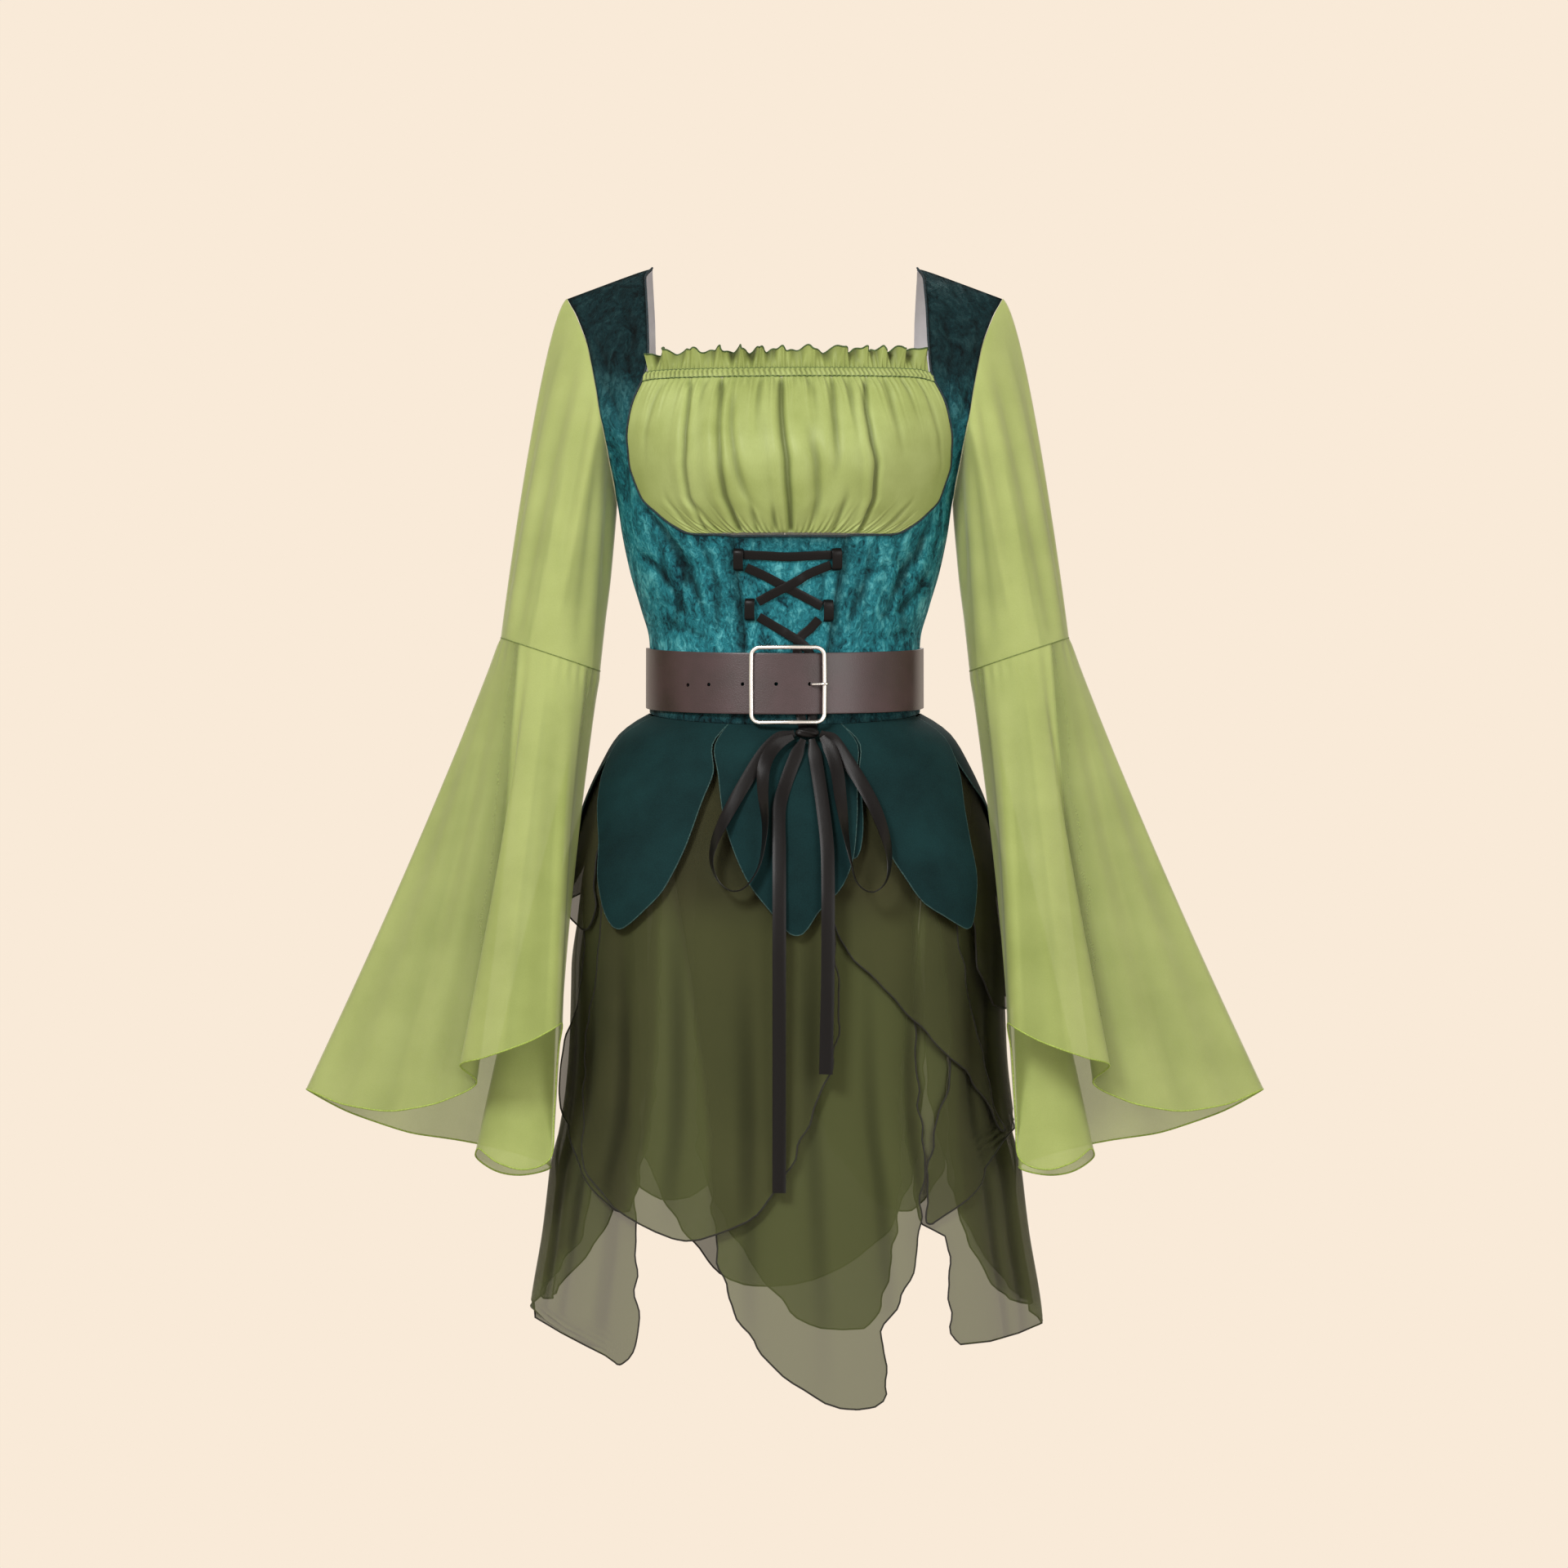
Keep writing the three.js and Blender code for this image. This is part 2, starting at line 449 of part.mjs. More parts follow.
// Chiffon petals of the skirt, in the same way
const PETALS = [
  {
    name: "petal_hip_left", layer: 2,
    rows: [
      { drop: 0, left: -120, right: -72 },
      { drop: 32, left: -121, right: -70 },
      { drop: 105, left: -122, right: -62.5 },
      { drop: 146, left: -119, right: -60.5 },
      { drop: 168, left: -113, right: -59 },
      { drop: 174, left: -100, right: -59.2 },
      { drop: 180, left: -87, right: -59.5 },
      { drop: 191, left: -67, right: -62 },
    ],
  },
  {
    name: "petal_front_left", layer: 2,
    rows: [
      { drop: 0, left: -72, right: 12 },
      { drop: 32, left: -67, right: 12 },
      { drop: 105, left: -58, right: 12 },
      { drop: 170, left: -55.5, right: 12.4 },
      { drop: 206, left: -56.4, right: 12.8 },
      { drop: 247, left: -59.5, right: 13.8 },
      { drop: 288, left: -62.9, right: 12.8 },
      { drop: 343, left: -62.5, right: 7.1 },
      { drop: 402, left: -55, right: -0.2 },
      { drop: 428, left: -45, right: -4.9 },
      { drop: 443, left: -37, right: -9.5 },
      { drop: 458, left: -26, right: -19 },
    ],
  },
  {
    name: "petal_hip_right", layer: 2,
    rows: [
      { drop: 0, left: 60, right: 120 },
      { drop: 105, left: 55, right: 122 },
      { drop: 150, left: 54, right: 125 },
      { drop: 190, left: 58, right: 127 },
      { drop: 226, left: 60, right: 126 },
      { drop: 240, left: 62.8, right: 122 },
      { drop: 258, left: 69.7, right: 112 },
      { drop: 268, left: 77, right: 100 },
    ],
  },
  {
    name: "petal_back_right", layer: 2,
    rows: [
      { drop: 0, left: 120, right: 180 },
      { drop: 105, left: 124, right: 179.2 },
      { drop: 190, left: 129.5, right: 178 },
      { drop: 300, left: 131, right: 176 },
      { drop: 400, left: 136, right: 170 },
      { drop: 450, left: 142, right: 162 },
      { drop: 472, left: 148, right: 155 },
    ],
  },
  {
    name: "petal_back_left", layer: 2,
    rows: [
      { drop: 0, left: 180, right: 240 },
      { drop: 105, left: 180.8, right: 236 },
      { drop: 190, left: 182, right: 232 },
      { drop: 300, left: 184, right: 230 },
      { drop: 400, left: 189, right: 225 },
      { drop: 440, left: 196, right: 219 },
      { drop: 462, left: 203, right: 211 },
    ],
  },
  {
    name: "petal_under_left", layer: 3,
    rows: [
      { drop: 0, left: -96, right: -36 },
      { drop: 100, left: -74, right: -34 },
      { drop: 217, left: -66.4, right: -34 },
      { drop: 268, left: -74, right: -34 },
      { drop: 321, left: -85, right: -34.5 },
      { drop: 358, left: -79.6, right: -35 },
      { drop: 385, left: -66, right: -35.5 },
      { drop: 411, left: -56, right: -36 },
      { drop: 437, left: -43.5, right: -37.5 },
    ],
  },
  {
    name: "petal_front_right", layer: 3,
    rows: [
      { drop: 0, left: 12, right: 84 },
      { drop: 60, left: 12, right: 84 },
      { drop: 100, left: 11, right: 66 },
      { drop: 150, left: 11, right: 52 },
      { drop: 187, left: 13.6, right: 51 },
      { drop: 223, left: 22, right: 54 },
      { drop: 245, left: 29, right: 56.3 },
      { drop: 270, left: 36.7, right: 59.5 },
      { drop: 297, left: 45, right: 63 },
      { drop: 322, left: 55.5, right: 66.5 },
      { drop: 350, left: 65.5, right: 70.5 },
      { drop: 376, left: 73, right: 75 },
    ],
  },
  {
    name: "petal_back_center", layer: 3,
    rows: [
      { drop: 0, left: 144, right: 216 },
      { drop: 150, left: 142, right: 218 },
      { drop: 300, left: 139, right: 221 },
      { drop: 400, left: 143, right: 218 },
      { drop: 470, left: 151, right: 209 },
      { drop: 505, left: 158, right: 201.5 },
      { drop: 518, left: 162.5, right: 199 },
      { drop: 532, left: 168, right: 196 },
      { drop: 546, left: 178, right: 189 },
    ],
  },
  {
    name: "petal_center_long", layer: 4,
    rows: [
      { drop: 0, left: -48, right: 36 },
      { drop: 100, left: -34, right: 36 },
      { drop: 250, left: -24, right: 37 },
      { drop: 377, left: -18.5, right: 37.6 },
      { drop: 428, left: -17, right: 34.2 },
      { drop: 456, left: -16.1, right: 33 },
      { drop: 480, left: -14.9, right: 31 },
      { drop: 513, left: -11.8, right: 26.5 },
      { drop: 540, left: -8, right: 21.5 },
      { drop: 575, left: -0.2, right: 22.3 },
      { drop: 590, left: 4.5, right: 22.5 },
      { drop: 604, left: 12, right: 19 },
    ],
  },
  {
    name: "petal_under_right", layer: 4,
    rows: [
      { drop: 0, left: 36, right: 108 },
      { drop: 60, left: 36, right: 108 },
      { drop: 200, left: 46, right: 110 },
      { drop: 311, left: 48.5, right: 112 },
      { drop: 338, left: 45.2, right: 111 },
      { drop: 369, left: 40.7, right: 106 },
      { drop: 377, left: 39.8, right: 91 },
      { drop: 385, left: 39, right: 76 },
      { drop: 399, left: 37.5, right: 63 },
      { drop: 412, left: 36.5, right: 56 },
      { drop: 428, left: 35.8, right: 48.5 },
      { drop: 446, left: 35.4, right: 37.6 },
    ],
  },
  {
    name: "petal_back_long", layer: 4,
    rows: [
      { drop: 0, left: 132, right: 204 },
      { drop: 250, left: 142, right: 206 },
      { drop: 400, left: 148, right: 203 },
      { drop: 470, left: 151, right: 196.5 },
      { drop: 505, left: 153, right: 191 },
      { drop: 518, left: 154, right: 189 },
      { drop: 532, left: 155, right: 186.5 },
      { drop: 560, left: 157, right: 181 },
      { drop: 588, left: 162, right: 172 },
    ],
  },
  {
    name: "petal_side_left", layer: 5,
    rows: [
      { drop: 0, left: -120, right: -48 },
      { drop: 200, left: -118, right: -46 },
      { drop: 330, left: -116, right: -42 },
      { drop: 451, left: -114, right: -37 },
      { drop: 510, left: -109, right: -35 },
      { drop: 538, left: -100, right: -33.6 },
      { drop: 545, left: -84, right: -33.6 },
      { drop: 552, left: -68, right: -33.6 },
      { drop: 558, left: -54, right: -34 },
      { drop: 571, left: -40, right: -37.5 },
    ],
  },
  {
    name: "petal_side_right", layer: 5,
    rows: [
      { drop: 0, left: 48, right: 120 },
      { drop: 200, left: 39, right: 118 },
      { drop: 330, left: 33.5, right: 116 },
      { drop: 430, left: 33.5, right: 114 },
      { drop: 446, left: 34.5, right: 113 },
      { drop: 463, left: 41.3, right: 112 },
      { drop: 508, left: 40.1, right: 109 },
      { drop: 540, left: 39.4, right: 102 },
      { drop: 556, left: 42, right: 92 },
    ],
  },
  {
    name: "petal_rear_left", layer: 6.5,
    rows: [
      { drop: 0, left: -132, right: -72 },
      { drop: 200, left: -134, right: -66 },
      { drop: 330, left: -134, right: -60 },
      { drop: 424, left: -132, right: -58 },
      { drop: 466, left: -130, right: -61 },
      { drop: 485, left: -127, right: -66 },
      { drop: 505, left: -123, right: -73 },
      { drop: 523, left: -117, right: -81 },
      { drop: 538, left: -107, right: -92 },
    ],
  },
  {
    name: "petal_rear_right", layer: 6.5,
    rows: [
      { drop: 0, left: 72, right: 132 },
      { drop: 200, left: 62, right: 134 },
      { drop: 330, left: 51, right: 134 },
      { drop: 436, left: 46.6, right: 132 },
      { drop: 463, left: 49, right: 130 },
      { drop: 483, left: 52, right: 127 },
      { drop: 503, left: 58, right: 123 },
      { drop: 521, left: 66, right: 116 },
      { drop: 538, left: 80, right: 103 },
    ],
  },
];

// Finishes
const VELVET = { color: 0x12404a, roughness: 0.62, metalness: 0 };
const LEAF_GREEN = { color: 0xa9bc6c, roughness: 0.7, metalness: 0 };
const PANEL_SATIN = { color: 0xaebb6f, roughness: 0.45, metalness: 0 };
const LEATHER = { color: 0x54393d, roughness: 0.48, metalness: 0 };
const SILVER = { color: 0xe2dcd2, roughness: 0.25, metalness: 1 };
const CREPE = { color: 0x1d3836, roughness: 0.75, metalness: 0 };
const CHIFFON = { color: 0x45442f, roughness: 0.8, metalness: 0 };
const RIBBON_SATIN = { color: 0x2c2427, roughness: 0.4, metalness: 0 };

const RADIANS = Math.PI / 180;
const group = new THREE.Group();

function addPiece(name, geometry, finish) {
  const mesh = new THREE.Mesh(geometry, new THREE.MeshStandardMaterial(finish));
  mesh.name = name;
  group.add(mesh);
}

// Slope of a table's column at a row, for a curve that never overshoots its rows
function slopeAt(table, key, column, row) {
  const low = Math.max(row - 1, 0);
  const high = Math.min(row + 1, table.length - 1);
  const rise = (a, b) => (table[b][column] - table[a][column]) / (table[b][key] - table[a][key]);
  if (low === row || high === row) {
    return rise(low, high);
  }
  const before = rise(low, row);
  const after = rise(row, high);
  return before * after > 0 ? (2 * before * after) / (before + after) : 0;
}

// Smooth value of a column between a table's rows, which go up by their key
function read(table, key, column, at) {
  let row = 0;
  while (row < table.length - 2 && at > table[row + 1][key]) {
    row += 1;
  }
  const span = table[row + 1][key] - table[row][key];
  const t = THREE.MathUtils.clamp((at - table[row][key]) / span, 0, 1);
  const startSlope = slopeAt(table, key, column, row) * span;
  const endSlope = slopeAt(table, key, column, row + 1) * span;
  const start = table[row][column];
  const end = table[row + 1][column];
  const along = t * t * (3 - 2 * t);
  return start + (end - start) * along + startSlope * t * (1 - t) ** 2 - endSlope * t * t * (1 - t);
}

function bellCurve(distance, spread) {
  return Math.exp(-((distance / spread) ** 2));
}

function shoulderFall(x, level) {
  const beyond = Math.abs(x) - SLOPE.from;
  const soft = (beyond + Math.hypot(beyond, SLOPE.softness)) / 2;
  return SLOPE.fall * soft * THREE.MathUtils.smoothstep(level, SLOPE.fadeBottom, SLOPE.fadeTop);
}

// Point of the torso at an angle round the body (0 front, 90 right) and a level
function torsoPoint(angle, level) {
  const across = Math.sin(angle * RADIANS);
  const forward = Math.cos(angle * RADIANS);
  const x = read(TORSO, "level", "side", level) * across;
  const cupAngle = bellCurve(Math.abs(angle) - CUP.angle, CUP.spreadAngle);
  const cup = CUP.fullness * cupAngle * bellCurve(level - CUP.level, CUP.spreadLevel);
  const depth = forward > 0
    ? read(TORSO, "level", "front", level) + cup
    : read(TORSO, "level", "back", level);
  return new THREE.Vector3(x, -depth * forward, level - shoulderFall(x, level));
}

function torsoNormal(angle, level) {
  const { turn, rise } = TORSO_STEP;
  const along = torsoPoint(angle + turn, level).sub(torsoPoint(angle - turn, level));
  const up = torsoPoint(angle, level + rise).sub(torsoPoint(angle, level - rise));
  const normal = along.cross(up);
  if (level > SHOULDER_RIDGE - RIDGE_REACH) {
    normal.y = 0;
  }
  return normal.normalize();
}

// Angle and level of the torso's front at a width and a height
function torsoSpot(x, z) {
  let level = z;
  let angle = 0;
  for (let pass = 0; pass < FIT_PASSES; pass += 1) {
    const side = read(TORSO, "level", "side", level);
    angle = Math.asin(THREE.MathUtils.clamp(x / side, -1, 1)) / RADIANS;
    level = Math.min(z + shoulderFall(x, level), SHOULDER_RIDGE);
  }
  return { angle, level };
}

function waistSeam(angle) {
  return WAIST.side - WAIST.frontDip * Math.max(0, Math.cos(angle * RADIANS));
}

// Closed wall between an outer and an inner sheet, both given as rows of points from the top down
// and from left to right as seen from outside; a ring joins its last column to its first
function wallGeometry(outer, inner, ring = false) {
  const rows = outer.length;
  const columns = outer[0].length;
  const positions = [...outer, ...inner].flat().flatMap((point) => [point.x, point.y, point.z]);
  const at = (sheet, row, column) => (sheet * rows + row) * columns + (column % columns);
  const index = [];
  const quad = (a, b, c, d) => index.push(a, b, c, a, c, d);
  const spans = ring ? columns : columns - 1;
  for (let row = 0; row < rows - 1; row += 1) {
    for (let column = 0; column < spans; column += 1) {
      const next = column + 1;
      quad(at(0, row, column), at(0, row + 1, column), at(0, row + 1, next), at(0, row, next));
      quad(at(1, row, column), at(1, row, next), at(1, row + 1, next), at(1, row + 1, column));
    }
  }
  const foot = rows - 1;
  for (let column = 0; column < spans; column += 1) {
    const next = column + 1;
    quad(at(0, 0, column), at(0, 0, next), at(1, 0, next), at(1, 0, column));
    quad(at(0, foot, column), at(1, foot, column), at(1, foot, next), at(0, foot, next));
  }
  if (!ring) {
    const last = columns - 1;
    for (let row = 0; row < foot; row += 1) {
      quad(at(0, row, 0), at(1, row, 0), at(1, row + 1, 0), at(0, row + 1, 0));
      quad(at(0, row, last), at(0, row + 1, last), at(1, row + 1, last), at(1, row, last));
    }
  }
  const geometry = new THREE.BufferGeometry();
  geometry.setAttribute("position", new THREE.Float32BufferAttribute(positions, 3));
  geometry.setIndex(index);
  geometry.computeVertexNormals();
  return geometry;
}

// Draws the borders of a wall back by half a seam, square to each border and within the cloth
function drawBack(outer, inner) {
  const rows = outer.length;
  const columns = outer[0].length;
  const shifts = outer.map((line) => line.map(() => new THREE.Vector3()));
  const pull = (row, column, innerRow, innerColumn, alongRows) => {
    const point = outer[row][column];
    const before = alongRows ? outer[Math.max(row - 1, 0)][column] : outer[row][Math.max(column - 1, 0)];
    const after = alongRows
      ? outer[Math.min(row + 1, rows - 1)][column]
      : outer[row][Math.min(column + 1, columns - 1)];
    const border = after.clone().sub(before).normalize();
    const inward = outer[innerRow][innerColumn].clone().sub(point);
    inward.addScaledVector(border, -inward.dot(border)).normalize();
    shifts[row][column].addScaledVector(inward, SEAM / 2);
  };
  for (let column = 0; column < columns; column += 1) {
    pull(0, column, 1, column, false);
    pull(rows - 1, column, rows - 2, column, false);
  }
  for (let row = 0; row < rows; row += 1) {
    pull(row, 0, row, 1, true);
    pull(row, columns - 1, row, columns - 2, true);
  }
  for (const sheet of [outer, inner]) {
    sheet.forEach((line, row) => line.forEach((point, column) => point.add(shifts[row][column])));
  }
}

function mirrored(sheet) {
  return sheet.map((line) => line.map((point) => new THREE.Vector3(-point.x, point.y, point.z)).reverse());
}

// Panel of the torso: spots are rows of angle, level and lift off the body
function torsoPanel(spots, wall) {
  const outer = spots.map((line) => line.map((spot) => torsoPoint(spot.angle, spot.level)
    .addScaledVector(torsoNormal(spot.angle, spot.level), spot.lift)));
  const inner = spots.map((line) => line.map((spot) => torsoPoint(spot.angle, spot.level)
    .addScaledVector(torsoNormal(spot.angle, spot.level), (spot.under ?? spot.lift) - wall)));
  drawBack(outer, inner);
  return wallGeometry(outer, inner);
}

function spotsBetween(start, end, columns) {
  return Array.from({ length: columns + 1 }, (_, column) => ({
    angle: THREE.MathUtils.lerp(start.angle, end.angle, column / columns),
    level: THREE.MathUtils.lerp(start.level, end.level, column / columns),
    lift: 0,
  }));
}

// Stations of the bodice's seams: bust edge, armhole or side seam, and back edge
function bustEdge(station, side) {
  const row = SIDE_FRONT[station];
  const x = side > 0 ? row.edgeRight : -row.edgeLeft;
  const spot = torsoSpot(x, row.edgeZ);
  if (station === 0) {
    spot.level = SHOULDER_RIDGE;
  }
  if (station === STATION.waist) {
    spot.level = waistSeam(spot.angle);
  }
  return spot;
}

function outerEdge(station) {
  const row = SIDE_FRONT[station];
  if (station >= STATION.underarm) {
    return { angle: 90, level: row.outerZ };
  }
  const spot = torsoSpot(row.outerX, row.outerZ);
  if (station === 0) {
    spot.level = SHOULDER_RIDGE;
  }
  return spot;
}

function backEdge(station) {
  const spot = torsoSpot(BACK_EDGE[station].x, BACK_EDGE[station].z);
  return { angle: 180 - spot.angle, level: station === 0 ? SHOULDER_RIDGE : spot.level };
}

function waistRow(line) {
  return line.map((spot) => ({ ...spot, level: waistSeam(spot.angle) }));
}

// Velvet side fronts, each with its shoulder strap
for (const side of [-1, 1]) {
  const rows = SIDE_FRONT.map((_, station) => {
    const outer = outerEdge(station);
    const seam = { angle: outer.angle * side, level: outer.level };
    const edge = bustEdge(station, side);
    const line = side > 0
      ? spotsBetween(edge, seam, SIDE_FRONT_COLUMNS)
      : spotsBetween(seam, edge, SIDE_FRONT_COLUMNS);
    return station === STATION.waist ? waistRow(line) : line;
  });
  addPiece(side > 0 ? "bodice_side_right" : "bodice_side_left", torsoPanel(rows, VELVET_WALL), VELVET);
}

// Velvet backs, from the armhole and side seam to the neckline and centre-back seam
for (const side of [-1, 1]) {
  const rows = SIDE_FRONT.map((_, station) => {
    const front = outerEdge(station);
    const seam = { angle: 180 - front.angle, level: front.level };
    const line = spotsBetween(seam, backEdge(station), BACK_COLUMNS);
    return station === STATION.waist ? waistRow(line) : line;
  });
  const turned = side > 0
    ? rows
    : rows.map((line) => line.map((spot) => ({ ...spot, angle: 360 - spot.angle })).reverse());
  addPiece(side > 0 ? "bodice_back_right" : "bodice_back_left", torsoPanel(turned, VELVET_WALL), VELVET);
}

// Velvet centre front behind the lacing
const centerRows = [];
for (let station = STATION.seamTop; station <= STATION.waist; station += 1) {
  const line = spotsBetween(bustEdge(station, -1), bustEdge(station, 1), CENTER_COLUMNS);
  centerRows.push(station === STATION.waist ? waistRow(line) : line);
}
addPiece("bodice_center_front", torsoPanel(centerRows, VELVET_WALL), VELVET);

// Gathered bust panel: columns on the crests and in the valleys of its uneven gathers
const gatherColumns = BUST.gathers * 2;
const bustRows = [];
for (let station = STATION.casingFoot; station <= STATION.underbust; station += 1) {
  const start = bustEdge(station, -1);
  const end = bustEdge(station, 1);
  const down = (station - STATION.casingFoot) / (STATION.underbust - STATION.casingFoot);
  const depth = down < 0.5
    ? THREE.MathUtils.lerp(BUST.depthTop, BUST.depthMiddle, down * 2)
    : THREE.MathUtils.lerp(BUST.depthMiddle, BUST.depthFoot, down * 2 - 1);
  const line = [];
  for (let column = 0; column <= gatherColumns; column += 1) {
    const wandering = Math.sin(GATHER_WANDER.rate * column + GATHER_WANDER.shift);
    const inside = Math.sin((Math.PI * column) / gatherColumns);
    const across = (column + GATHER_WANDER.share * wandering * inside) / gatherColumns;
    const edgeFade = Math.sin(Math.PI * across) ** BUST.edgeEase || 0;
    const changing = Math.sin(GATHER_HEIGHT.rate * column + GATHER_HEIGHT.shift);
    const height = (column % 2 ? 1 : -1) * (GATHER_HEIGHT.mean + GATHER_HEIGHT.change * changing);
    const puff = BUST.puff * Math.sin(Math.PI * down) * edgeFade;
    line.push({
      angle: THREE.MathUtils.lerp(start.angle, end.angle, across),
      level: THREE.MathUtils.lerp(start.level, end.level, across),
      lift: puff + depth * height * edgeFade,
    });
  }
  bustRows.push(line);
}
addPiece("bust_panel", torsoPanel(bustRows, SATIN_WALL), PANEL_SATIN);

// Elastic casing: its puckers are raised over a plain inside
const puckerColumns = CASING.puckers * 2;
const casingRows = [STATION.casingTop, STATION.casingFoot].map((station) => {
  const line = spotsBetween(bustEdge(station, -1), bustEdge(station, 1), puckerColumns);
  return line.map((spot, column) => ({ ...spot, lift: (column % 2) * CASING.relief, under: 0 }));
});
addPiece("neck_casing", torsoPanel(casingRows, SATIN_WALL), PANEL_SATIN);

// Ruffle standing on the casing, waved more and more towards its scalloped top
const ruffleColumns = RUFFLE.waves * RUFFLE.perWave;
const ruffleOuter = [];
const ruffleInner = [];
for (const rise of RUFFLE_RISES) {
  const start = bustEdge(STATION.casingTop, -1);
  const end = bustEdge(STATION.casingTop, 1);
  const outerLine = [];
  const innerLine = [];
  for (let column = 0; column <= ruffleColumns; column += 1) {
    const across = RUFFLE_ENDS + (1 - 2 * RUFFLE_ENDS) * (column / ruffleColumns);
    const angle = THREE.MathUtils.lerp(start.angle, end.angle, across);
    const foot = torsoPoint(angle, THREE.MathUtils.lerp(start.level, end.level, across));
    const outward = new THREE.Vector3(Math.sin(angle * RADIANS), -Math.cos(angle * RADIANS), 0);
    const phase = (2 * Math.PI * column) / RUFFLE.perWave + RUFFLE_WAVE.shift;
    const uneven = RUFFLE_WAVE.mean + RUFFLE_WAVE.change * Math.sin(RUFFLE_WAVE.rate * column);
    const wave = RUFFLE.depth * Math.sin(phase) * uneven * rise;
    const scallop = RUFFLE.scallop * Math.sin(phase + RUFFLE_WAVE.lag) * uneven;
    const height = (RUFFLE.height + scallop) * rise;
    const point = foot.addScaledVector(outward, wave - RUFFLE.lean * rise - RUFFLE.setBack);
    point.z += SEAM + height;
    outerLine.push(point);
    innerLine.push(point.clone().addScaledVector(outward, -SATIN_WALL));
  }
  ruffleOuter.push(outerLine);
  ruffleInner.push(innerLine);
}
addPiece("neck_ruffle", wallGeometry(ruffleOuter, ruffleInner), PANEL_SATIN);

// Stations round the right armhole, from the underarm up the front and down the back
function armholeSpot(column) {
  const station = Math.abs(column - STATION.underarm);
  const front = outerEdge(station);
  return { angle: column <= STATION.underarm ? front.angle : 180 - front.angle, level: front.level };
}

const SLEEVE_COLUMNS = STATION.underarm * 2;

function elbowPoint(angle) {
  const turn = angle * RADIANS;
  return new THREE.Vector3(
    ELBOW.x + ELBOW.halfWidth * Math.cos(turn),
    ELBOW.y - ELBOW.halfDepth * Math.sin(turn),
    ELBOW.z + ELBOW.tilt * Math.cos(turn),
  );
}

function elbowNormal(angle) {
  const turn = angle * RADIANS;
  return new THREE.Vector3(Math.cos(turn), -Math.sin(turn), 0);
}

// Where the sleeve leaves the armhole: its way out, and its outer and inner edge points
function sleeveHead(column) {
  const spot = armholeSpot(column);
  const point = torsoPoint(spot.angle, spot.level);
  const bodiceNormal = torsoNormal(spot.angle, spot.level);
  const around = (column / SLEEVE_COLUMNS) * 2 * Math.PI;
  const overShoulder = 1 - ((1 + Math.cos(around)) / 2) ** SLEEVE_HEAD.ease;
  const outward = new THREE.Vector3(
    SLEEVE_HEAD.outLow + SLEEVE_HEAD.outGain * overShoulder,
    -SLEEVE_HEAD.forward * Math.sin(around),
    -1 + SLEEVE_HEAD.downGain * overShoulder,
  ).normalize();
  const previous = armholeSpot((column + SLEEVE_COLUMNS - 1) % SLEEVE_COLUMNS);
  const next = armholeSpot((column + 1) % SLEEVE_COLUMNS);
  const border = torsoPoint(next.angle, next.level).sub(torsoPoint(previous.angle, previous.level));
  border.normalize();
  const away = bodiceNormal.clone().cross(border).normalize();
  if (away.dot(ARMHOLE_CENTER.clone().sub(point)) < 0) {
    away.negate();
  }
  const leaving = outward.clone().addScaledVector(border, -outward.dot(border)).normalize();
  const bend = Math.max(0, Math.atan2(leaving.dot(bodiceNormal), leaving.dot(away)));
  const outer = point.clone()
    .addScaledVector(away, SEAM * Math.cos(bend / 2))
    .addScaledVector(bodiceNormal, SLEEVE_HEAD.ridgeGap * SEAM * Math.sin(bend / 2));
  const inner = outer.clone()
    .addScaledVector(bodiceNormal, -SATIN_WALL * Math.cos(bend))
    .addScaledVector(away, SATIN_WALL * Math.sin(bend));
  return { outer, inner, outward };
}

// Unit normals of a ring sheet from its neighbouring points
function ringNormals(sheet) {
  const columns = sheet[0].length;
  return sheet.map((line, row) => line.map((_, column) => {
    const along = line[(column + 1) % columns].clone().sub(line[(column + columns - 1) % columns]);
    const above = sheet[Math.max(row - 1, 0)][column];
    const below = sheet[Math.min(row + 1, sheet.length - 1)][column];
    return along.cross(above.clone().sub(below)).normalize();
  }));
}

// Upper sleeve: a smooth loft from the armhole to the tilted elbow seam
const sleeveHeads = Array.from({ length: SLEEVE_COLUMNS }, (_, column) => sleeveHead(column));
const sleeveOuter = [];
for (let ring = 0; ring <= UPPER_SLEEVE.rings; ring += 1) {
  const t = ring / UPPER_SLEEVE.rings;
  sleeveOuter.push(sleeveHeads.map((head, column) => {
    const elbowAngle = 180 - (column * 360) / SLEEVE_COLUMNS;
    const shoulder = (1 + Math.cos(elbowAngle * RADIANS)) / 2;
    const pull = THREE.MathUtils.lerp(UPPER_SLEEVE.startPull, UPPER_SLEEVE.shoulderPull, shoulder);
    const end = elbowPoint(elbowAngle);
    end.z += SEAM / 2;
    return head.outer.clone()
      .multiplyScalar(1 - t * t * (3 - 2 * t))
      .addScaledVector(end, t * t * (3 - 2 * t))
      .addScaledVector(head.outward, pull * t * (1 - t) ** 2)
      .addScaledVector(ELBOW_WAY, -UPPER_SLEEVE.endPull * t * t * (1 - t));
  }));
}
const sleeveNormals = ringNormals(sleeveOuter);
const sleeveInner = sleeveOuter.map((line, ring) => line.map((point, column) => {
  if (ring === 0) {
    return sleeveHeads[column].inner.clone();
  }
  const elbowAngle = 180 - (column * 360) / SLEEVE_COLUMNS;
  const normal = ring === UPPER_SLEEVE.rings ? elbowNormal(elbowAngle) : sleeveNormals[ring][column];
  return point.clone().addScaledVector(normal, -SATIN_WALL);
}));
addPiece("sleeve_upper_right", wallGeometry(sleeveOuter, sleeveInner, true), LEAF_GREEN);
addPiece("sleeve_upper_left", wallGeometry(mirrored(sleeveOuter), mirrored(sleeveInner), true), LEAF_GREEN);

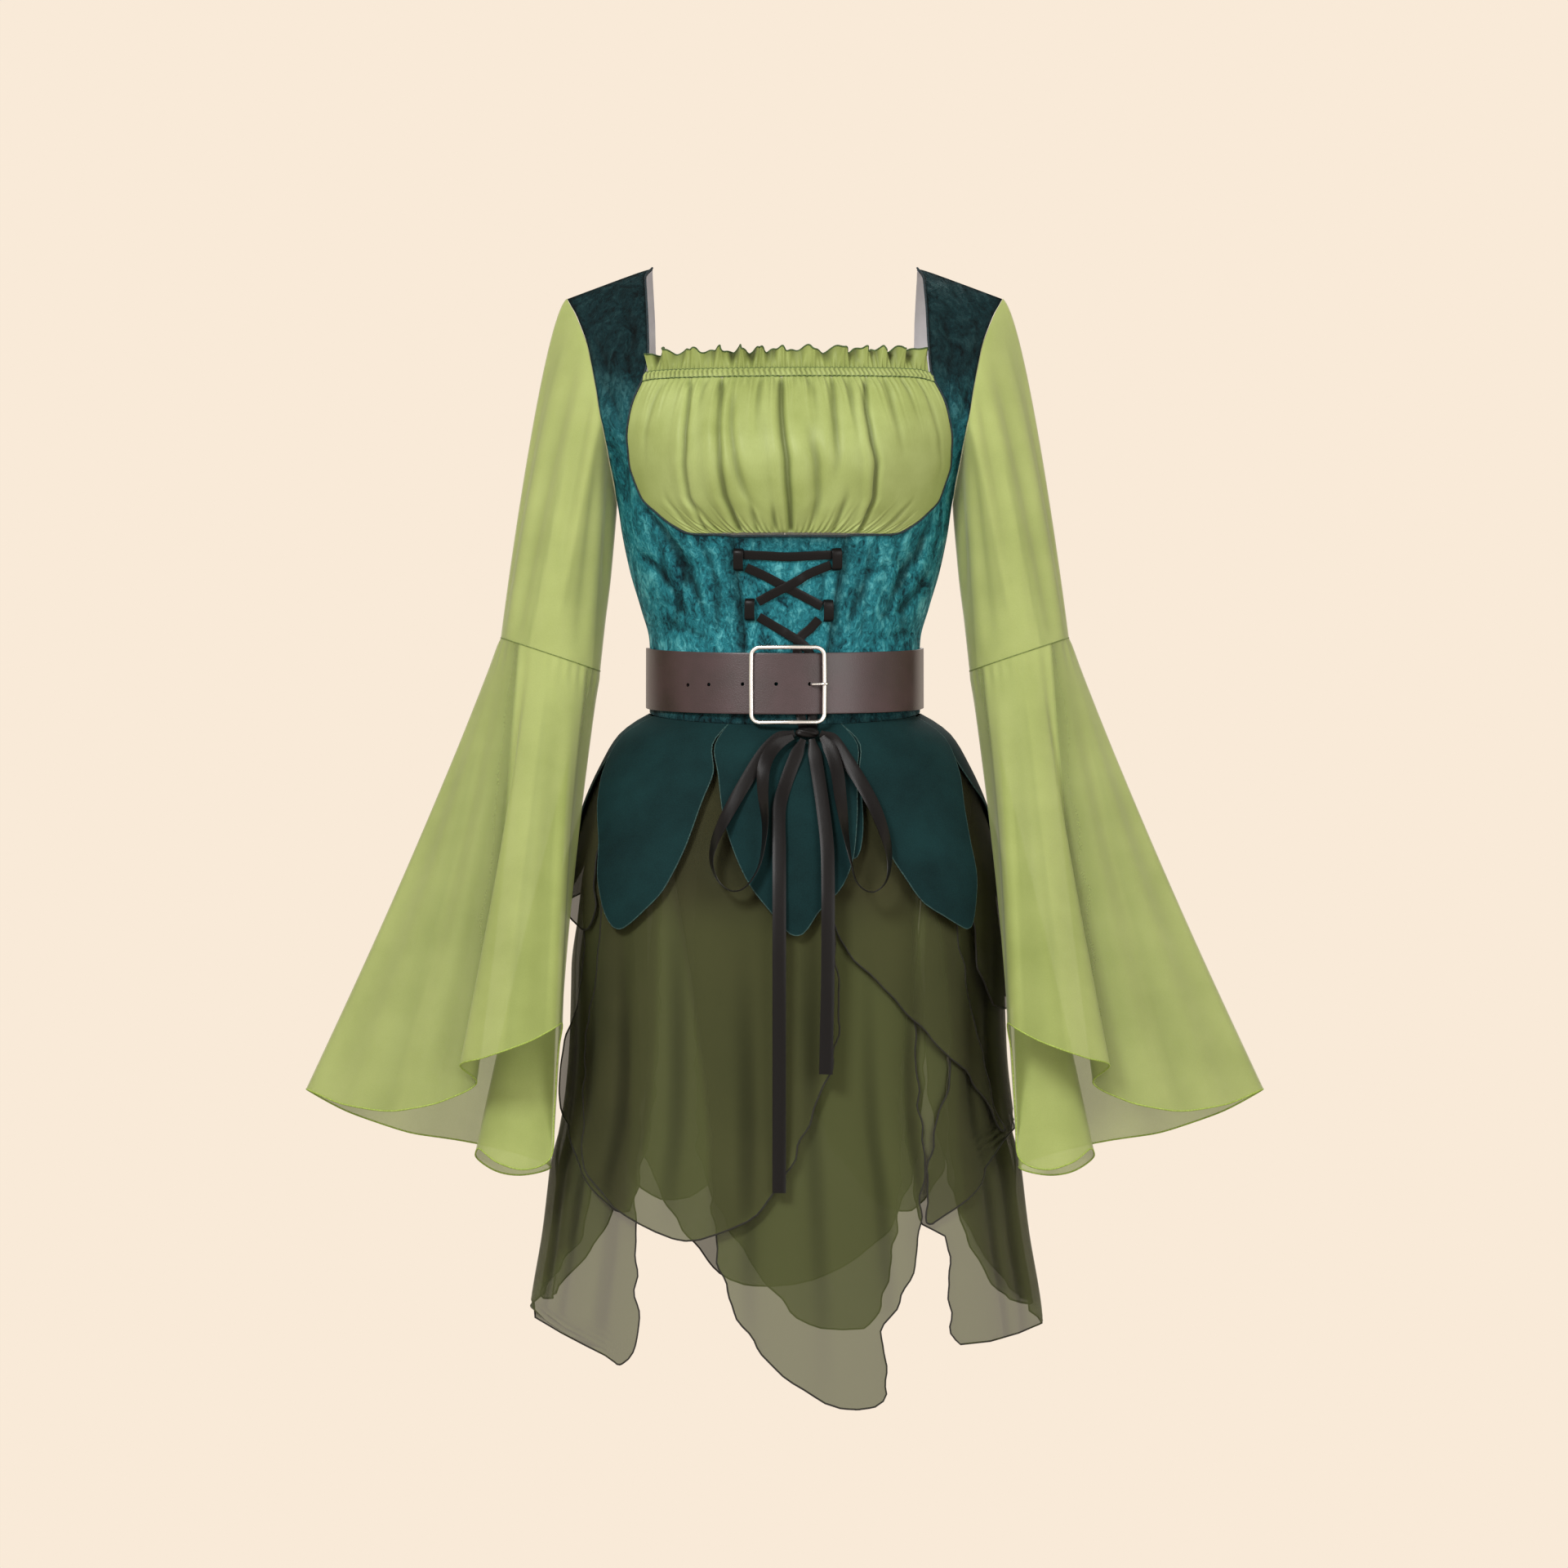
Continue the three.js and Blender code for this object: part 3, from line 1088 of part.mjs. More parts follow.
// Bell: straight lines run from the elbow seam to the folded hem
const hemPoints = BELL_HEM.map((row) => new THREE.Vector3(row.x, row.y, row.z));
const hemCurve = new THREE.CatmullRomCurve3(hemPoints, true, "centripetal");
const bellColumns = [];
BELL_HEM.forEach((row, place) => {
  const following = BELL_HEM[(place + 1) % BELL_HEM.length];
  const endAngle = following.angle > row.angle ? following.angle : following.angle + 360;
  const span = hemPoints[place].distanceTo(hemPoints[(place + 1) % BELL_HEM.length]);
  const parts = Math.ceil(span / BELL.longestSpan);
  for (let part = 0; part < parts; part += 1) {
    bellColumns.push({
      angle: THREE.MathUtils.lerp(row.angle, endAngle, part / parts),
      hem: hemCurve.getPoint((place + part / parts) / BELL_HEM.length),
    });
  }
});
bellColumns.reverse();
const bellOuter = [];
for (let ring = 0; ring <= BELL.rings; ring += 1) {
  const t = ring / BELL.rings;
  bellOuter.push(bellColumns.map(({ angle, hem }) => {
    const start = elbowPoint(angle);
    start.z -= SEAM / 2;
    const sunk = -BELL.hollow * Math.sin(Math.PI * t);
    return start.lerp(hem, t).addScaledVector(elbowNormal(angle), sunk);
  }));
}
const bellNormals = ringNormals(bellOuter);
const bellInner = bellOuter.map((line, ring) => line.map((point, column) => {
  const normal = ring === 0 ? elbowNormal(bellColumns[column].angle) : bellNormals[ring][column];
  return point.clone().addScaledVector(normal, -SATIN_WALL);
}));
addPiece("sleeve_bell_right", wallGeometry(bellOuter, bellInner, true), LEAF_GREEN);
addPiece("sleeve_bell_left", wallGeometry(mirrored(bellOuter), mirrored(bellInner), true), LEAF_GREEN);

// Manifold solids for the holes of the belt
function toSolid(geometry) {
  const bare = geometry.clone();
  bare.deleteAttribute("normal");
  bare.deleteAttribute("uv");
  const merged = mergeVertices(bare, WELD);
  const mesh = new wasm.Mesh({
    numProp: 3,
    vertProperties: new Float32Array(merged.attributes.position.array),
    triVerts: new Uint32Array(merged.index.array),
  });
  return new wasm.Manifold(mesh);
}

function fromSolid(solid) {
  const mesh = solid.getMesh();
  const geometry = new THREE.BufferGeometry();
  geometry.setAttribute("position", new THREE.Float32BufferAttribute(mesh.vertProperties, 3));
  geometry.setIndex([...mesh.triVerts]);
  geometry.computeVertexNormals();
  return geometry;
}

// How far the belt stands off the velvet, at an angle that may pass 360 where its tip lies under
function beltLift(angle) {
  const turn = Math.abs(((angle + 180) % 360) - 180);
  const flat = THREE.MathUtils.smoothstep(turn, BELT_LIFT.frontUntil, BELT_LIFT.flatFrom);
  const lap = angle < 180
    ? 1 - THREE.MathUtils.smoothstep(angle, BELT_LIFT.lapUntil, BELT_LIFT.lapGone)
    : 0;
  return BELT_LIFT.seat + BELT_LIFT.front * (1 - flat) + (LEATHER_WALL + BELT_LIFT.seat) * lap;
}

function beltPoint(angle, level, lift) {
  return torsoPoint(angle, level).addScaledVector(torsoNormal(angle, level), lift);
}

function beltTop(angle) {
  return BELT.top - BELT.frontDip * Math.max(0, Math.cos(angle * RADIANS));
}

const beltStep = 360 / BELT.steps;
const beltOuter = [[], []];
const beltInner = [[], []];
for (let step = 0; step <= BELT.steps + BELT.tipSteps; step += 1) {
  const angle = BELT.start + step * beltStep;
  const turn = angle > 180 ? angle - 360 : angle;
  const top = beltTop(turn);
  [top, top - BELT.height].forEach((level, row) => {
    beltOuter[row].push(beltPoint(turn, level, beltLift(angle) + LEATHER_WALL));
    beltInner[row].push(beltPoint(turn, level, beltLift(angle)));
  });
}
let beltSolid = toSolid(wallGeometry(beltOuter, beltInner));
for (const x of BELT_HOLES.x) {
  const spot = torsoSpot(x, BELT_HOLES.z);
  const { radius } = BELT_HOLES;
  const punch = new THREE.CylinderGeometry(radius, radius, BELT_HOLES.punch, BELT_HOLES.sides);
  const axis = torsoNormal(spot.angle, spot.level);
  punch.applyQuaternion(new THREE.Quaternion().setFromUnitVectors(new THREE.Vector3(0, 1, 0), axis));
  const middle = torsoPoint(spot.angle, spot.level);
  punch.translate(middle.x, middle.y, middle.z);
  beltSolid = beltSolid.subtract(toSolid(punch));
}
addPiece("belt_strap", fromSolid(beltSolid), LEATHER);

// Closed sweep of a round wire along points, each with an across direction; ends closed or a ring
function sweepGeometry(stations, section, ring = false) {
  const sides = section.length;
  const positions = [];
  for (const { point, across, out } of stations) {
    for (const corner of section) {
      const place = point.clone().addScaledVector(across, corner.x).addScaledVector(out, corner.y);
      positions.push(place.x, place.y, place.z);
    }
  }
  const index = [];
  const spans = ring ? stations.length : stations.length - 1;
  for (let span = 0; span < spans; span += 1) {
    const here = span * sides;
    const there = ((span + 1) % stations.length) * sides;
    for (let side = 0; side < sides; side += 1) {
      const next = (side + 1) % sides;
      if (side < sides / 2) {
        index.push(here + side, here + next, there + next, here + side, there + next, there + side);
      } else {
        index.push(here + side, here + next, there + side, here + next, there + next, there + side);
      }
    }
  }
  if (!ring) {
    const last = (stations.length - 1) * sides;
    for (let side = 1; side < sides - 1; side += 1) {
      index.push(0, side + 1, side, last, last + side, last + side + 1);
    }
  }
  const geometry = new THREE.BufferGeometry();
  geometry.setAttribute("position", new THREE.Float32BufferAttribute(positions, 3));
  geometry.setIndex(index);
  geometry.computeVertexNormals();
  return geometry;
}

function roundSection(radius, sides) {
  return Array.from({ length: sides }, (_, side) => {
    const turn = (2 * Math.PI * (side + 0.5)) / sides;
    return new THREE.Vector2(radius * Math.cos(turn), radius * Math.sin(turn));
  });
}

// Point over the belt's face, where lift is counted from the leather
function overBelt(x, z, lift) {
  const spot = torsoSpot(x, z);
  const lap = THREE.MathUtils.smoothstep(x, BUCKLE.left, BELT_DOUBLE_FROM);
  const leather = BELT_LIFT.seat + BELT_LIFT.front + LEATHER_WALL + (LEATHER_WALL + BELT_LIFT.seat) * lap;
  const top = beltTop(spot.angle);
  const high = beltPoint(spot.angle, top, leather + lift);
  return high.lerp(beltPoint(spot.angle, top - BELT.height, leather + lift), (top - z) / BELT.height);
}

// Buckle: a round wire frame with rounded corners, bent to the belt
const bucklePath = new THREE.Path();
const corner = BUCKLE.corner;
bucklePath.absarc(BUCKLE.right - corner, BUCKLE.top - corner, corner, 0, Math.PI / 2);
bucklePath.absarc(BUCKLE.left + corner, BUCKLE.top - corner, corner, Math.PI / 2, Math.PI);
bucklePath.absarc(BUCKLE.left + corner, BUCKLE.bottom + corner, corner, Math.PI, Math.PI * 1.5);
bucklePath.absarc(BUCKLE.right - corner, BUCKLE.bottom + corner, corner, Math.PI * 1.5, Math.PI * 2);
bucklePath.closePath();
const buckleLoop = bucklePath.getSpacedPoints(BUCKLE.steps).slice(0, -1);
const buckleStations = buckleLoop.map((spot, place) => {
  const point = overBelt(spot.x, spot.y, SEAM + BUCKLE.wire);
  const after = buckleLoop[(place + 1) % buckleLoop.length];
  const before = buckleLoop[(place + buckleLoop.length - 1) % buckleLoop.length];
  const along = overBelt(after.x, after.y, SEAM + BUCKLE.wire)
    .sub(overBelt(before.x, before.y, SEAM + BUCKLE.wire)).normalize();
  const out = torsoNormal(torsoSpot(spot.x, spot.y).angle, spot.y);
  const across = out.clone().cross(along).normalize();
  return { point, across, out: along.clone().cross(across) };
});
const wireSection = roundSection(BUCKLE.wire, WIRE_SIDES);
addPiece("belt_buckle", sweepGeometry(buckleStations, wireSection, true), SILVER);

// Prong: a short round bar over the right bar of the buckle, down into the hole beside it
const prongStations = PRONG.map((spot, place) => {
  const at = (index) => overBelt(PRONG[index].x, BELT_HOLES.z, PRONG[index].lift);
  const along = at(Math.min(place + 1, PRONG.length - 1)).sub(at(Math.max(place - 1, 0))).normalize();
  const across = new THREE.Vector3(0, 0, 1);
  return { point: at(place), across, out: along.clone().cross(across).normalize() };
});
addPiece("belt_prong", sweepGeometry(prongStations, roundSection(PRONG_RADIUS, WIRE_SIDES)), SILVER);

// Flat strip of ribbon or cloth on the bodice front, through spots of width, height and lift
function frontStrip(spots, width, wall) {
  const at = (spot, lift) => {
    const place = torsoSpot(spot.x, spot.z);
    return beltPoint(place.angle, place.level, lift);
  };
  const outer = [];
  const inner = [];
  spots.forEach((spot, place) => {
    const before = at(spots[Math.max(place - 1, 0)], 0);
    const after = at(spots[Math.min(place + 1, spots.length - 1)], 0);
    const body = torsoSpot(spot.x, spot.z);
    const normal = torsoNormal(body.angle, body.level);
    const across = normal.clone().cross(after.sub(before)).normalize();
    const line = (lift) => [-width / 2, width / 2]
      .map((reach) => at(spot, lift).addScaledVector(across, reach));
    outer.push(line(spot.lift + wall));
    inner.push(line(spot.lift));
  });
  return wallGeometry(outer, inner);
}

addPiece("lace_bar", frontStrip(LACE_BAR, LACE.width, LACE.wall), RIBBON_SATIN);
addPiece("lace_cross_under", frontStrip(LACE_UNDER, LACE.width, LACE.wall), RIBBON_SATIN);
addPiece("lace_cross_over", frontStrip(LACE_OVER, LACE.width, LACE.wall), RIBBON_SATIN);
addPiece("lace_tie_left", frontStrip(LACE_TIE_LEFT, LACE.width, LACE.wall), RIBBON_SATIN);
addPiece("lace_tie_right", frontStrip(LACE_TIE_RIGHT, LACE.width, LACE.wall), RIBBON_SATIN);

// Cloth loops that hold the lacing: short tabs arched over it
for (const loop of LACE_LOOPS) {
  const spots = [-1, -LACE_LOOP.shoulder, LACE_LOOP.shoulder, 1].map((place) => ({
    x: loop.x,
    z: loop.z - place * LACE_LOOP.reach,
    lift: Math.abs(place) === 1 ? LACE_LOOP.seat : LACE_LOOP.arch,
  }));
  addPiece(loop.name, frontStrip(spots, LACE_LOOP.width, LACE_LOOP.wall), RIBBON_SATIN);
}

// Knot of the bow
const knot = new THREE.CapsuleGeometry(BOW_KNOT.radius, BOW_KNOT.length, BOW_KNOT.capRings, BOW_KNOT.sides);
knot.rotateZ(Math.PI / 2);
knot.translate(BOW_KNOT.x, BOW_KNOT.y, BOW_KNOT.z);
addPiece("bow_knot", knot, RIBBON_SATIN);

// Flat ribbon along a route: its width starts in the front plane and turns out of it,
// and it is gathered narrower where the knot holds it
function ribbonGeometry(route, looped) {
  const half = RIBBON.width / 2;
  const face = half - RIBBON.edgeWidth;
  const wall = RIBBON.wall / 2;
  const edge = wall * RIBBON.edgeShare;
  const section = [
    [half, -edge], [half, edge], [face, wall], [-face, wall],
    [-half, edge], [-half, -edge], [-face, -wall], [face, -wall],
  ].map(([x, y]) => new THREE.Vector2(x, y));
  const stations = route.map((stop, place) => {
    const before = route[Math.max(place - 1, 0)];
    const after = route[Math.min(place + 1, route.length - 1)];
    const along = new THREE.Vector3(after.x - before.x, after.y - before.y, after.z - before.z);
    along.normalize();
    const flat = new THREE.Vector3(0, -1, 0).cross(along).normalize();
    const deep = along.clone().cross(flat).normalize();
    const across = flat.multiplyScalar(Math.cos(stop.turn * RADIANS))
      .addScaledVector(deep, Math.sin(stop.turn * RADIANS));
    const out = along.clone().cross(across).normalize();
    const atKnot = place === 0 || (looped && place === route.length - 1);
    return {
      point: new THREE.Vector3(stop.x, stop.y, stop.z),
      across: across.multiplyScalar(atKnot ? RIBBON.pinch : 1),
      out,
    };
  });
  return sweepGeometry(stations, section);
}

addPiece("bow_loop_left", ribbonGeometry(BOW_LOOP_LEFT, true), RIBBON_SATIN);
addPiece("bow_loop_right", ribbonGeometry(BOW_LOOP_RIGHT, true), RIBBON_SATIN);
addPiece("bow_tail_left", ribbonGeometry(BOW_TAIL_LEFT, false), RIBBON_SATIN);
addPiece("bow_tail_right", ribbonGeometry(BOW_TAIL_RIGHT, false), RIBBON_SATIN);

// Section of the skirt at an angle and a drop below the waist seam
function skirtSection(angle, drop) {
  const forward = Math.cos(angle * RADIANS);
  const depth = read(SKIRT, "drop", forward > 0 ? "front" : "back", drop);
  return new THREE.Vector3(
    read(SKIRT, "drop", "side", drop) * Math.sin(angle * RADIANS),
    -depth * forward,
    waistSeam(angle) - drop,
  );
}

// Near the waist the section is drawn with flat facets that all layers share
function skirtPoint(angle, drop) {
  const first = Math.floor(angle / LAYERS.facet) * LAYERS.facet;
  const share = (angle - first) / LAYERS.facet;
  const faceted = skirtSection(first, drop).lerp(skirtSection(first + LAYERS.facet, drop), share);
  const round = THREE.MathUtils.smoothstep(drop, LAYERS.facetedUntil, LAYERS.spreadDrop);
  return faceted.lerp(skirtSection(angle, drop), round);
}

function skirtNormal(angle, drop) {
  const { turn, drop: step } = SKIRT_STEP;
  const along = skirtSection(angle + turn, drop).sub(skirtSection(angle - turn, drop));
  const up = skirtSection(angle, Math.max(drop - step, 0)).sub(skirtSection(angle, drop + step));
  return along.cross(up).normalize();
}

function skirtLift(layer, angle, drop) {
  const pitch = LAYERS.seamPitch + LAYERS.spread * THREE.MathUtils.smoothstep(drop, 0, LAYERS.spreadDrop);
  const fold = FOLDS.reduce(
    (sum, wave) => sum + wave.share * Math.sin(wave.around * angle * RADIANS + wave.shift),
    0,
  );
  const depth = read(FOLD_DEPTH, "drop", "depth", drop);
  return (read(SKIRT, "drop", "outermost", drop) - layer) * pitch + depth * fold;
}

// Leaf or petal: a wall on the skirt's sections between its two edges, down to its tip
function petalGeometry({ layer, rows }) {
  const length = rows[rows.length - 1].drop;
  const drops = SHARED_DROPS.filter((drop) => drop < length - SHORTEST_STEP);
  const own = rows.map((row) => row.drop).filter((drop) => drop > OWN_DROPS_FROM);
  for (const drop of own.filter((stop) => drops.every((other) => Math.abs(other - stop) >= SHORTEST_STEP))) {
    drops.push(drop);
  }
  drops.sort((a, b) => a - b);
  for (let place = 1; place < drops.length; place += 1) {
    if (drops[place] - drops[place - 1] > LONGEST_STEP) {
      drops.splice(place, 0, (drops[place] + drops[place - 1]) / 2);
    }
  }
  const columns = Math.round((rows[0].right - rows[0].left) / LAYERS.facet);
  const outer = [];
  const inner = [];
  for (const drop of drops) {
    const left = read(rows, "drop", "left", drop);
    const right = read(rows, "drop", "right", drop);
    const outerLine = [];
    const innerLine = [];
    for (let column = 0; column <= columns; column += 1) {
      const angle = THREE.MathUtils.lerp(left, right, column / columns);
      const lift = skirtLift(layer, angle, drop);
      const normal = skirtNormal(angle, drop);
      outerLine.push(skirtPoint(angle, drop).addScaledVector(normal, lift));
      innerLine.push(skirtPoint(angle, drop).addScaledVector(normal, lift - PETAL_WALL));
    }
    outer.push(outerLine);
    inner.push(innerLine);
  }
  drawBack(outer, inner);
  return wallGeometry(outer, inner);
}

for (const leaf of LEAVES) {
  addPiece(leaf.name, petalGeometry(leaf), CREPE);
}
for (const petal of PETALS) {
  addPiece(petal.name, petalGeometry(petal), CHIFFON);
}

export default group;
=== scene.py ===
"""Elf costume, dressed out as if worn: crushed velvet bodice with a gathered satin bust, long
bell sleeves, ribbon lacing and bow, a wide leather belt, a leaf peplum and a petal skirt of
sheer chiffon. Shapes are worked out in millimetres and put into the meshes in metres.
Left and right are as seen from the front, which faces -Y."""

import math

import bpy
import numpy as np
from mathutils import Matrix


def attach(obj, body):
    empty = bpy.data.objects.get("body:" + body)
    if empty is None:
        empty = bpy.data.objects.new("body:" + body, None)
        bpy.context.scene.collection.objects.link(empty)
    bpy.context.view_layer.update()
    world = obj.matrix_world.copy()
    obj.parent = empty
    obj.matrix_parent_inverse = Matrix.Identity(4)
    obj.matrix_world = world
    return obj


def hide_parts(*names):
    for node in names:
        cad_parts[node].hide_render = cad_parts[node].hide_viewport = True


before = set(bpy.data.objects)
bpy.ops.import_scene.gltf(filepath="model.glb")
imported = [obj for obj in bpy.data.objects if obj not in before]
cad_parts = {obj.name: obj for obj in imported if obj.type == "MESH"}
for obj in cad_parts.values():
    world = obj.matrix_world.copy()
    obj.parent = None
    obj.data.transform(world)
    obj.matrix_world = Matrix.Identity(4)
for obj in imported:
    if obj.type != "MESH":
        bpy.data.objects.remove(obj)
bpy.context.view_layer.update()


# The photograph's view and light. A level camera stands 4.5 m in front of the dress with a long
# lens; the room is a round cove of pale beige paper, evenly lit from behind, whose floor bends up
# into its wall, with one soft light from the upper left and weaker ones opposite and behind.
MM = 0.001
SENSOR = 36.0
LENS = 112.5
CAMERA_AT = (-0.00075, -4.5, -0.46125)
BACKDROP_BEIGE = "F9EAD8"
ROOM_LIGHT = 0.48
FLOOR_LEVEL = -1.32
DRESS_MIDDLE = (0.0, 0.0, -0.5)


def linear(code, alpha=1.0):
    """Linear colour of an sRGB hex value: each channel through the sRGB decoding curve."""
    channels = np.array([int(code[place:place + 2], 16) for place in (0, 2, 4)]) / 255
    decoded = np.where(channels <= 0.04045, channels / 12.92, ((channels + 0.055) / 1.055) ** 2.4)
    return (*decoded.tolist(), alpha)


def add_node(tree, kind, links=(), sockets=(), **settings):
    """Adds a node: settings are its own properties, sockets its input values, links what feeds
    its inputs."""
    made = tree.nodes.new(kind)
    for name, value in settings.items():
        setattr(made, name, value)
    for name, value in dict(sockets).items():
        made.inputs[name].default_value = value
    for name, source in dict(links).items():
        tree.links.new(source, made.inputs[name])
    return made


camera_data = bpy.data.cameras.new("front_camera")
camera_data.sensor_width = SENSOR
camera_data.lens = LENS
camera_data.clip_end = 100
camera = bpy.data.objects.new("front_camera", camera_data)
camera.location = CAMERA_AT
camera.rotation_euler = (math.radians(90), 0, 0)
bpy.context.scene.collection.objects.link(camera)
bpy.context.scene.camera = camera
bpy.context.scene.view_settings.view_transform = "Standard"

world = bpy.data.worlds.new("pale_room")
world.use_nodes = True
world.node_tree.nodes["Background"].inputs["Color"].default_value = linear(BACKDROP_BEIGE)
world.node_tree.nodes["Background"].inputs["Strength"].default_value = ROOM_LIGHT
bpy.context.scene.world = world

SOFT_LIGHTS = (
    # name, place, size, watts
    ("key_softbox", (-1.6, -3.2, 1.7), 1.0, 108.0),
    ("fill_softbox", (2.2, -3.0, 0.3), 2.0, 50.0),
    ("rim_softbox", (0.6, 2.8, 1.8), 1.6, 40.0),
)
for light_name, light_place, light_size, light_watts in SOFT_LIGHTS:
    light_data = bpy.data.lights.new(light_name, "AREA")
    light_data.size = light_size
    light_data.energy = light_watts
    light_object = bpy.data.objects.new(light_name, light_data)
    light_object.location = light_place
    aim = np.array(DRESS_MIDDLE) - np.array(light_place)
    tilt, heading = math.atan2(math.hypot(aim[0], aim[1]), -aim[2]), math.atan2(aim[1], aim[0])
    light_object.rotation_euler = (tilt, 0, heading - math.pi / 2)
    bpy.context.scene.collection.objects.link(light_object)

COVE_RADIUS, COVE_BEND, COVE_TOP, COVE_SIDES = 9.0, 3.0, 9.0, 96
COVE_FLOOR_ROWS, COVE_BEND_ROWS = 6, 16
bend = np.linspace(0, np.pi / 2, COVE_BEND_ROWS)
cove_radius = np.concatenate([np.linspace(0.01, COVE_RADIUS - COVE_BEND, COVE_FLOOR_ROWS),
                              COVE_RADIUS - COVE_BEND + COVE_BEND * np.sin(bend), [COVE_RADIUS]])
cove_level = FLOOR_LEVEL + np.concatenate([
    np.zeros(COVE_FLOOR_ROWS), COVE_BEND * (1 - np.cos(bend)), [COVE_TOP]])
turn = 2 * np.pi * np.arange(COVE_SIDES) / COVE_SIDES
cove_points = np.stack([cove_radius[:, None] * np.cos(turn), cove_radius[:, None] * np.sin(turn),
                        cove_level[:, None] + 0 * turn], -1).reshape(-1, 3)
row, column = np.meshgrid(np.arange(len(cove_radius) - 1), np.arange(COVE_SIDES), indexing="ij")
here, beside = row * COVE_SIDES + column, row * COVE_SIDES + (column + 1) % COVE_SIDES
cove_faces = np.stack([here, here + COVE_SIDES, beside + COVE_SIDES, beside], -1).reshape(-1, 4)
cove_mesh = bpy.data.meshes.new("studio_cove")
cove_mesh.from_pydata(cove_points.tolist(), [], cove_faces.tolist())
cove_mesh.shade_smooth()
cove = bpy.data.objects.new("studio_cove", cove_mesh)
cove.visible_diffuse = False
cove.visible_shadow = False
bpy.context.scene.collection.objects.link(cove)
cove_paper = bpy.data.materials.new("backlit_cove_paper")
cove_paper.use_nodes = True
cove_shader = cove_paper.node_tree.nodes["Principled BSDF"]
for input_name, value in (("Base Color", (0, 0, 0, 1)), ("Roughness", 1.0),
                          ("Specular IOR Level", 0.0), ("Emission Strength", 1.0),
                          ("Emission Color", linear(BACKDROP_BEIGE))):
    cove_shader.inputs[input_name].default_value = value
cove_mesh.materials.append(cove_paper)


# The body that the dress is cut for. Its sections are ellipses, wider than deep, given by the
# level before the shoulders slope away; every bodice piece, the belt and the lacing lie on it.
SHOULDER_RIDGE = 13.5
TORSO = (
    # level, side, front, back
    (-430, 125, 93.5, 90),
    (-400, 124.6, 92.6, 89),
    (-365, 123.4, 89.3, 84),
    (-330, 124.6, 88.5, 82.5),
    (-300, 132.5, 93, 84),
    (-266, 142.5, 100, 87),
    (-232, 149.5, 110, 91),
    (-206, 153.5, 120, 94),
    (-170, 164, 127, 97),
    (-116, 195, 110, 96),
    (-82, 207, 89, 88),
    (-60, 215, 75, 78),
    (-30, 225, 52, 54),
    (-15, 230, 37, 38),
    (0, 235, 19, 19),
    (SHOULDER_RIDGE, 240, 0, 0),
)
WAIST_LEVEL = -395
WAIST_FRONT_DIP = 13
CUP_ANGLE, CUP_LEVEL, CUP_LIFT, CUP_SPREAD, CUP_HEIGHT = 27, -172, 8, 15, 46


def along_rows(rows, column, at):
    """Smooth value of a column at a key: a cubic between rows whose slope at each row is the
    harmonic mean of the slopes beside it, so that it never overshoots them."""
    table = np.array(rows, float)
    at = np.asarray(at, float)
    key, value = table[:, 0], table[:, column]
    rise = np.diff(value) / np.diff(key)
    product = rise[:-1] * rise[1:]
    total = np.where(product > 0, rise[:-1] + rise[1:], 1)
    slope = np.concatenate([rise[:1], np.where(product > 0, 2 * product / total, 0), rise[-1:]])
    row = np.clip(np.searchsorted(key, at) - 1, 0, len(key) - 2)
    span = key[row + 1] - key[row]
    t = np.clip((at - key[row]) / span, 0, 1)
    blend = t * t * (3 - 2 * t)
    return (value[row] * (1 - blend) + value[row + 1] * blend
            + slope[row] * span * t * (1 - t) ** 2 - slope[row + 1] * span * t * t * (1 - t))


def smooth_step(value, low, high):
    """0 below low, 1 above high, and 3t squared less 2t cubed between them."""
    t = np.clip((np.asarray(value, float) - low) / (high - low), 0, 1)
    return t * t * (3 - 2 * t)


def rise_and_fall(value, start, full, waning, end):
    """A smooth step up from start to full times a smooth step down from waning to end."""
    return smooth_step(value, start, full) * (1 - smooth_step(value, waning, end))


def bell(gap, width):
    """Bell curve: e to the minus square of the gap over the width."""
    return np.exp(-((gap / width) ** 2))


def signed_angle(angle):
    """Angle in degrees brought to between -180 and 180."""
    return (angle + 180) % 360 - 180


def shoulder_fall(x, level):
    """How far the shoulder slopes down: 0.375 of the way past 123 mm, faded out by the chest."""
    beyond = np.abs(x) - 123
    return 0.375 * (beyond + np.hypot(beyond, 8)) / 2 * smooth_step(level, -206, -60)


def torso_point(angle, level):
    """Ellipse round the body: side times sine across, depth times cosine forward, with two
    cups that stand out of the front by a bell curve round the body and one up it."""
    angle, level = np.broadcast_arrays(np.asarray(angle, float), np.asarray(level, float))
    turn = np.radians(angle)
    x = along_rows(TORSO, 1, level) * np.sin(turn)
    beside = np.abs(signed_angle(angle)) - CUP_ANGLE
    cup = CUP_LIFT * bell(beside, CUP_SPREAD) * bell(level - CUP_LEVEL, CUP_HEIGHT)
    front = along_rows(TORSO, 2, level) + cup
    depth = np.where(np.cos(turn) > 0, front, along_rows(TORSO, 3, level))
    return np.stack([x, -depth * np.cos(turn), level - shoulder_fall(x, level)], -1)


def unit(vectors):
    """Vectors brought to length 1."""
    return vectors / np.maximum(np.linalg.norm(vectors, axis=-1, keepdims=True), 1e-12)


def torso_normal(angle, level):
    """Cross product of the body's slopes round and up, a step of 0.5 each way."""
    angle, level = np.asarray(angle), np.asarray(level)
    around = torso_point(angle + 0.5, level) - torso_point(angle - 0.5, level)
    upward = torso_point(angle, level + 0.5) - torso_point(angle, level - 0.5)
    normal = np.cross(around, upward)
    normal[..., 1] = np.where(level > SHOULDER_RIDGE - 0.1, 0, normal[..., 1])
    return unit(normal)


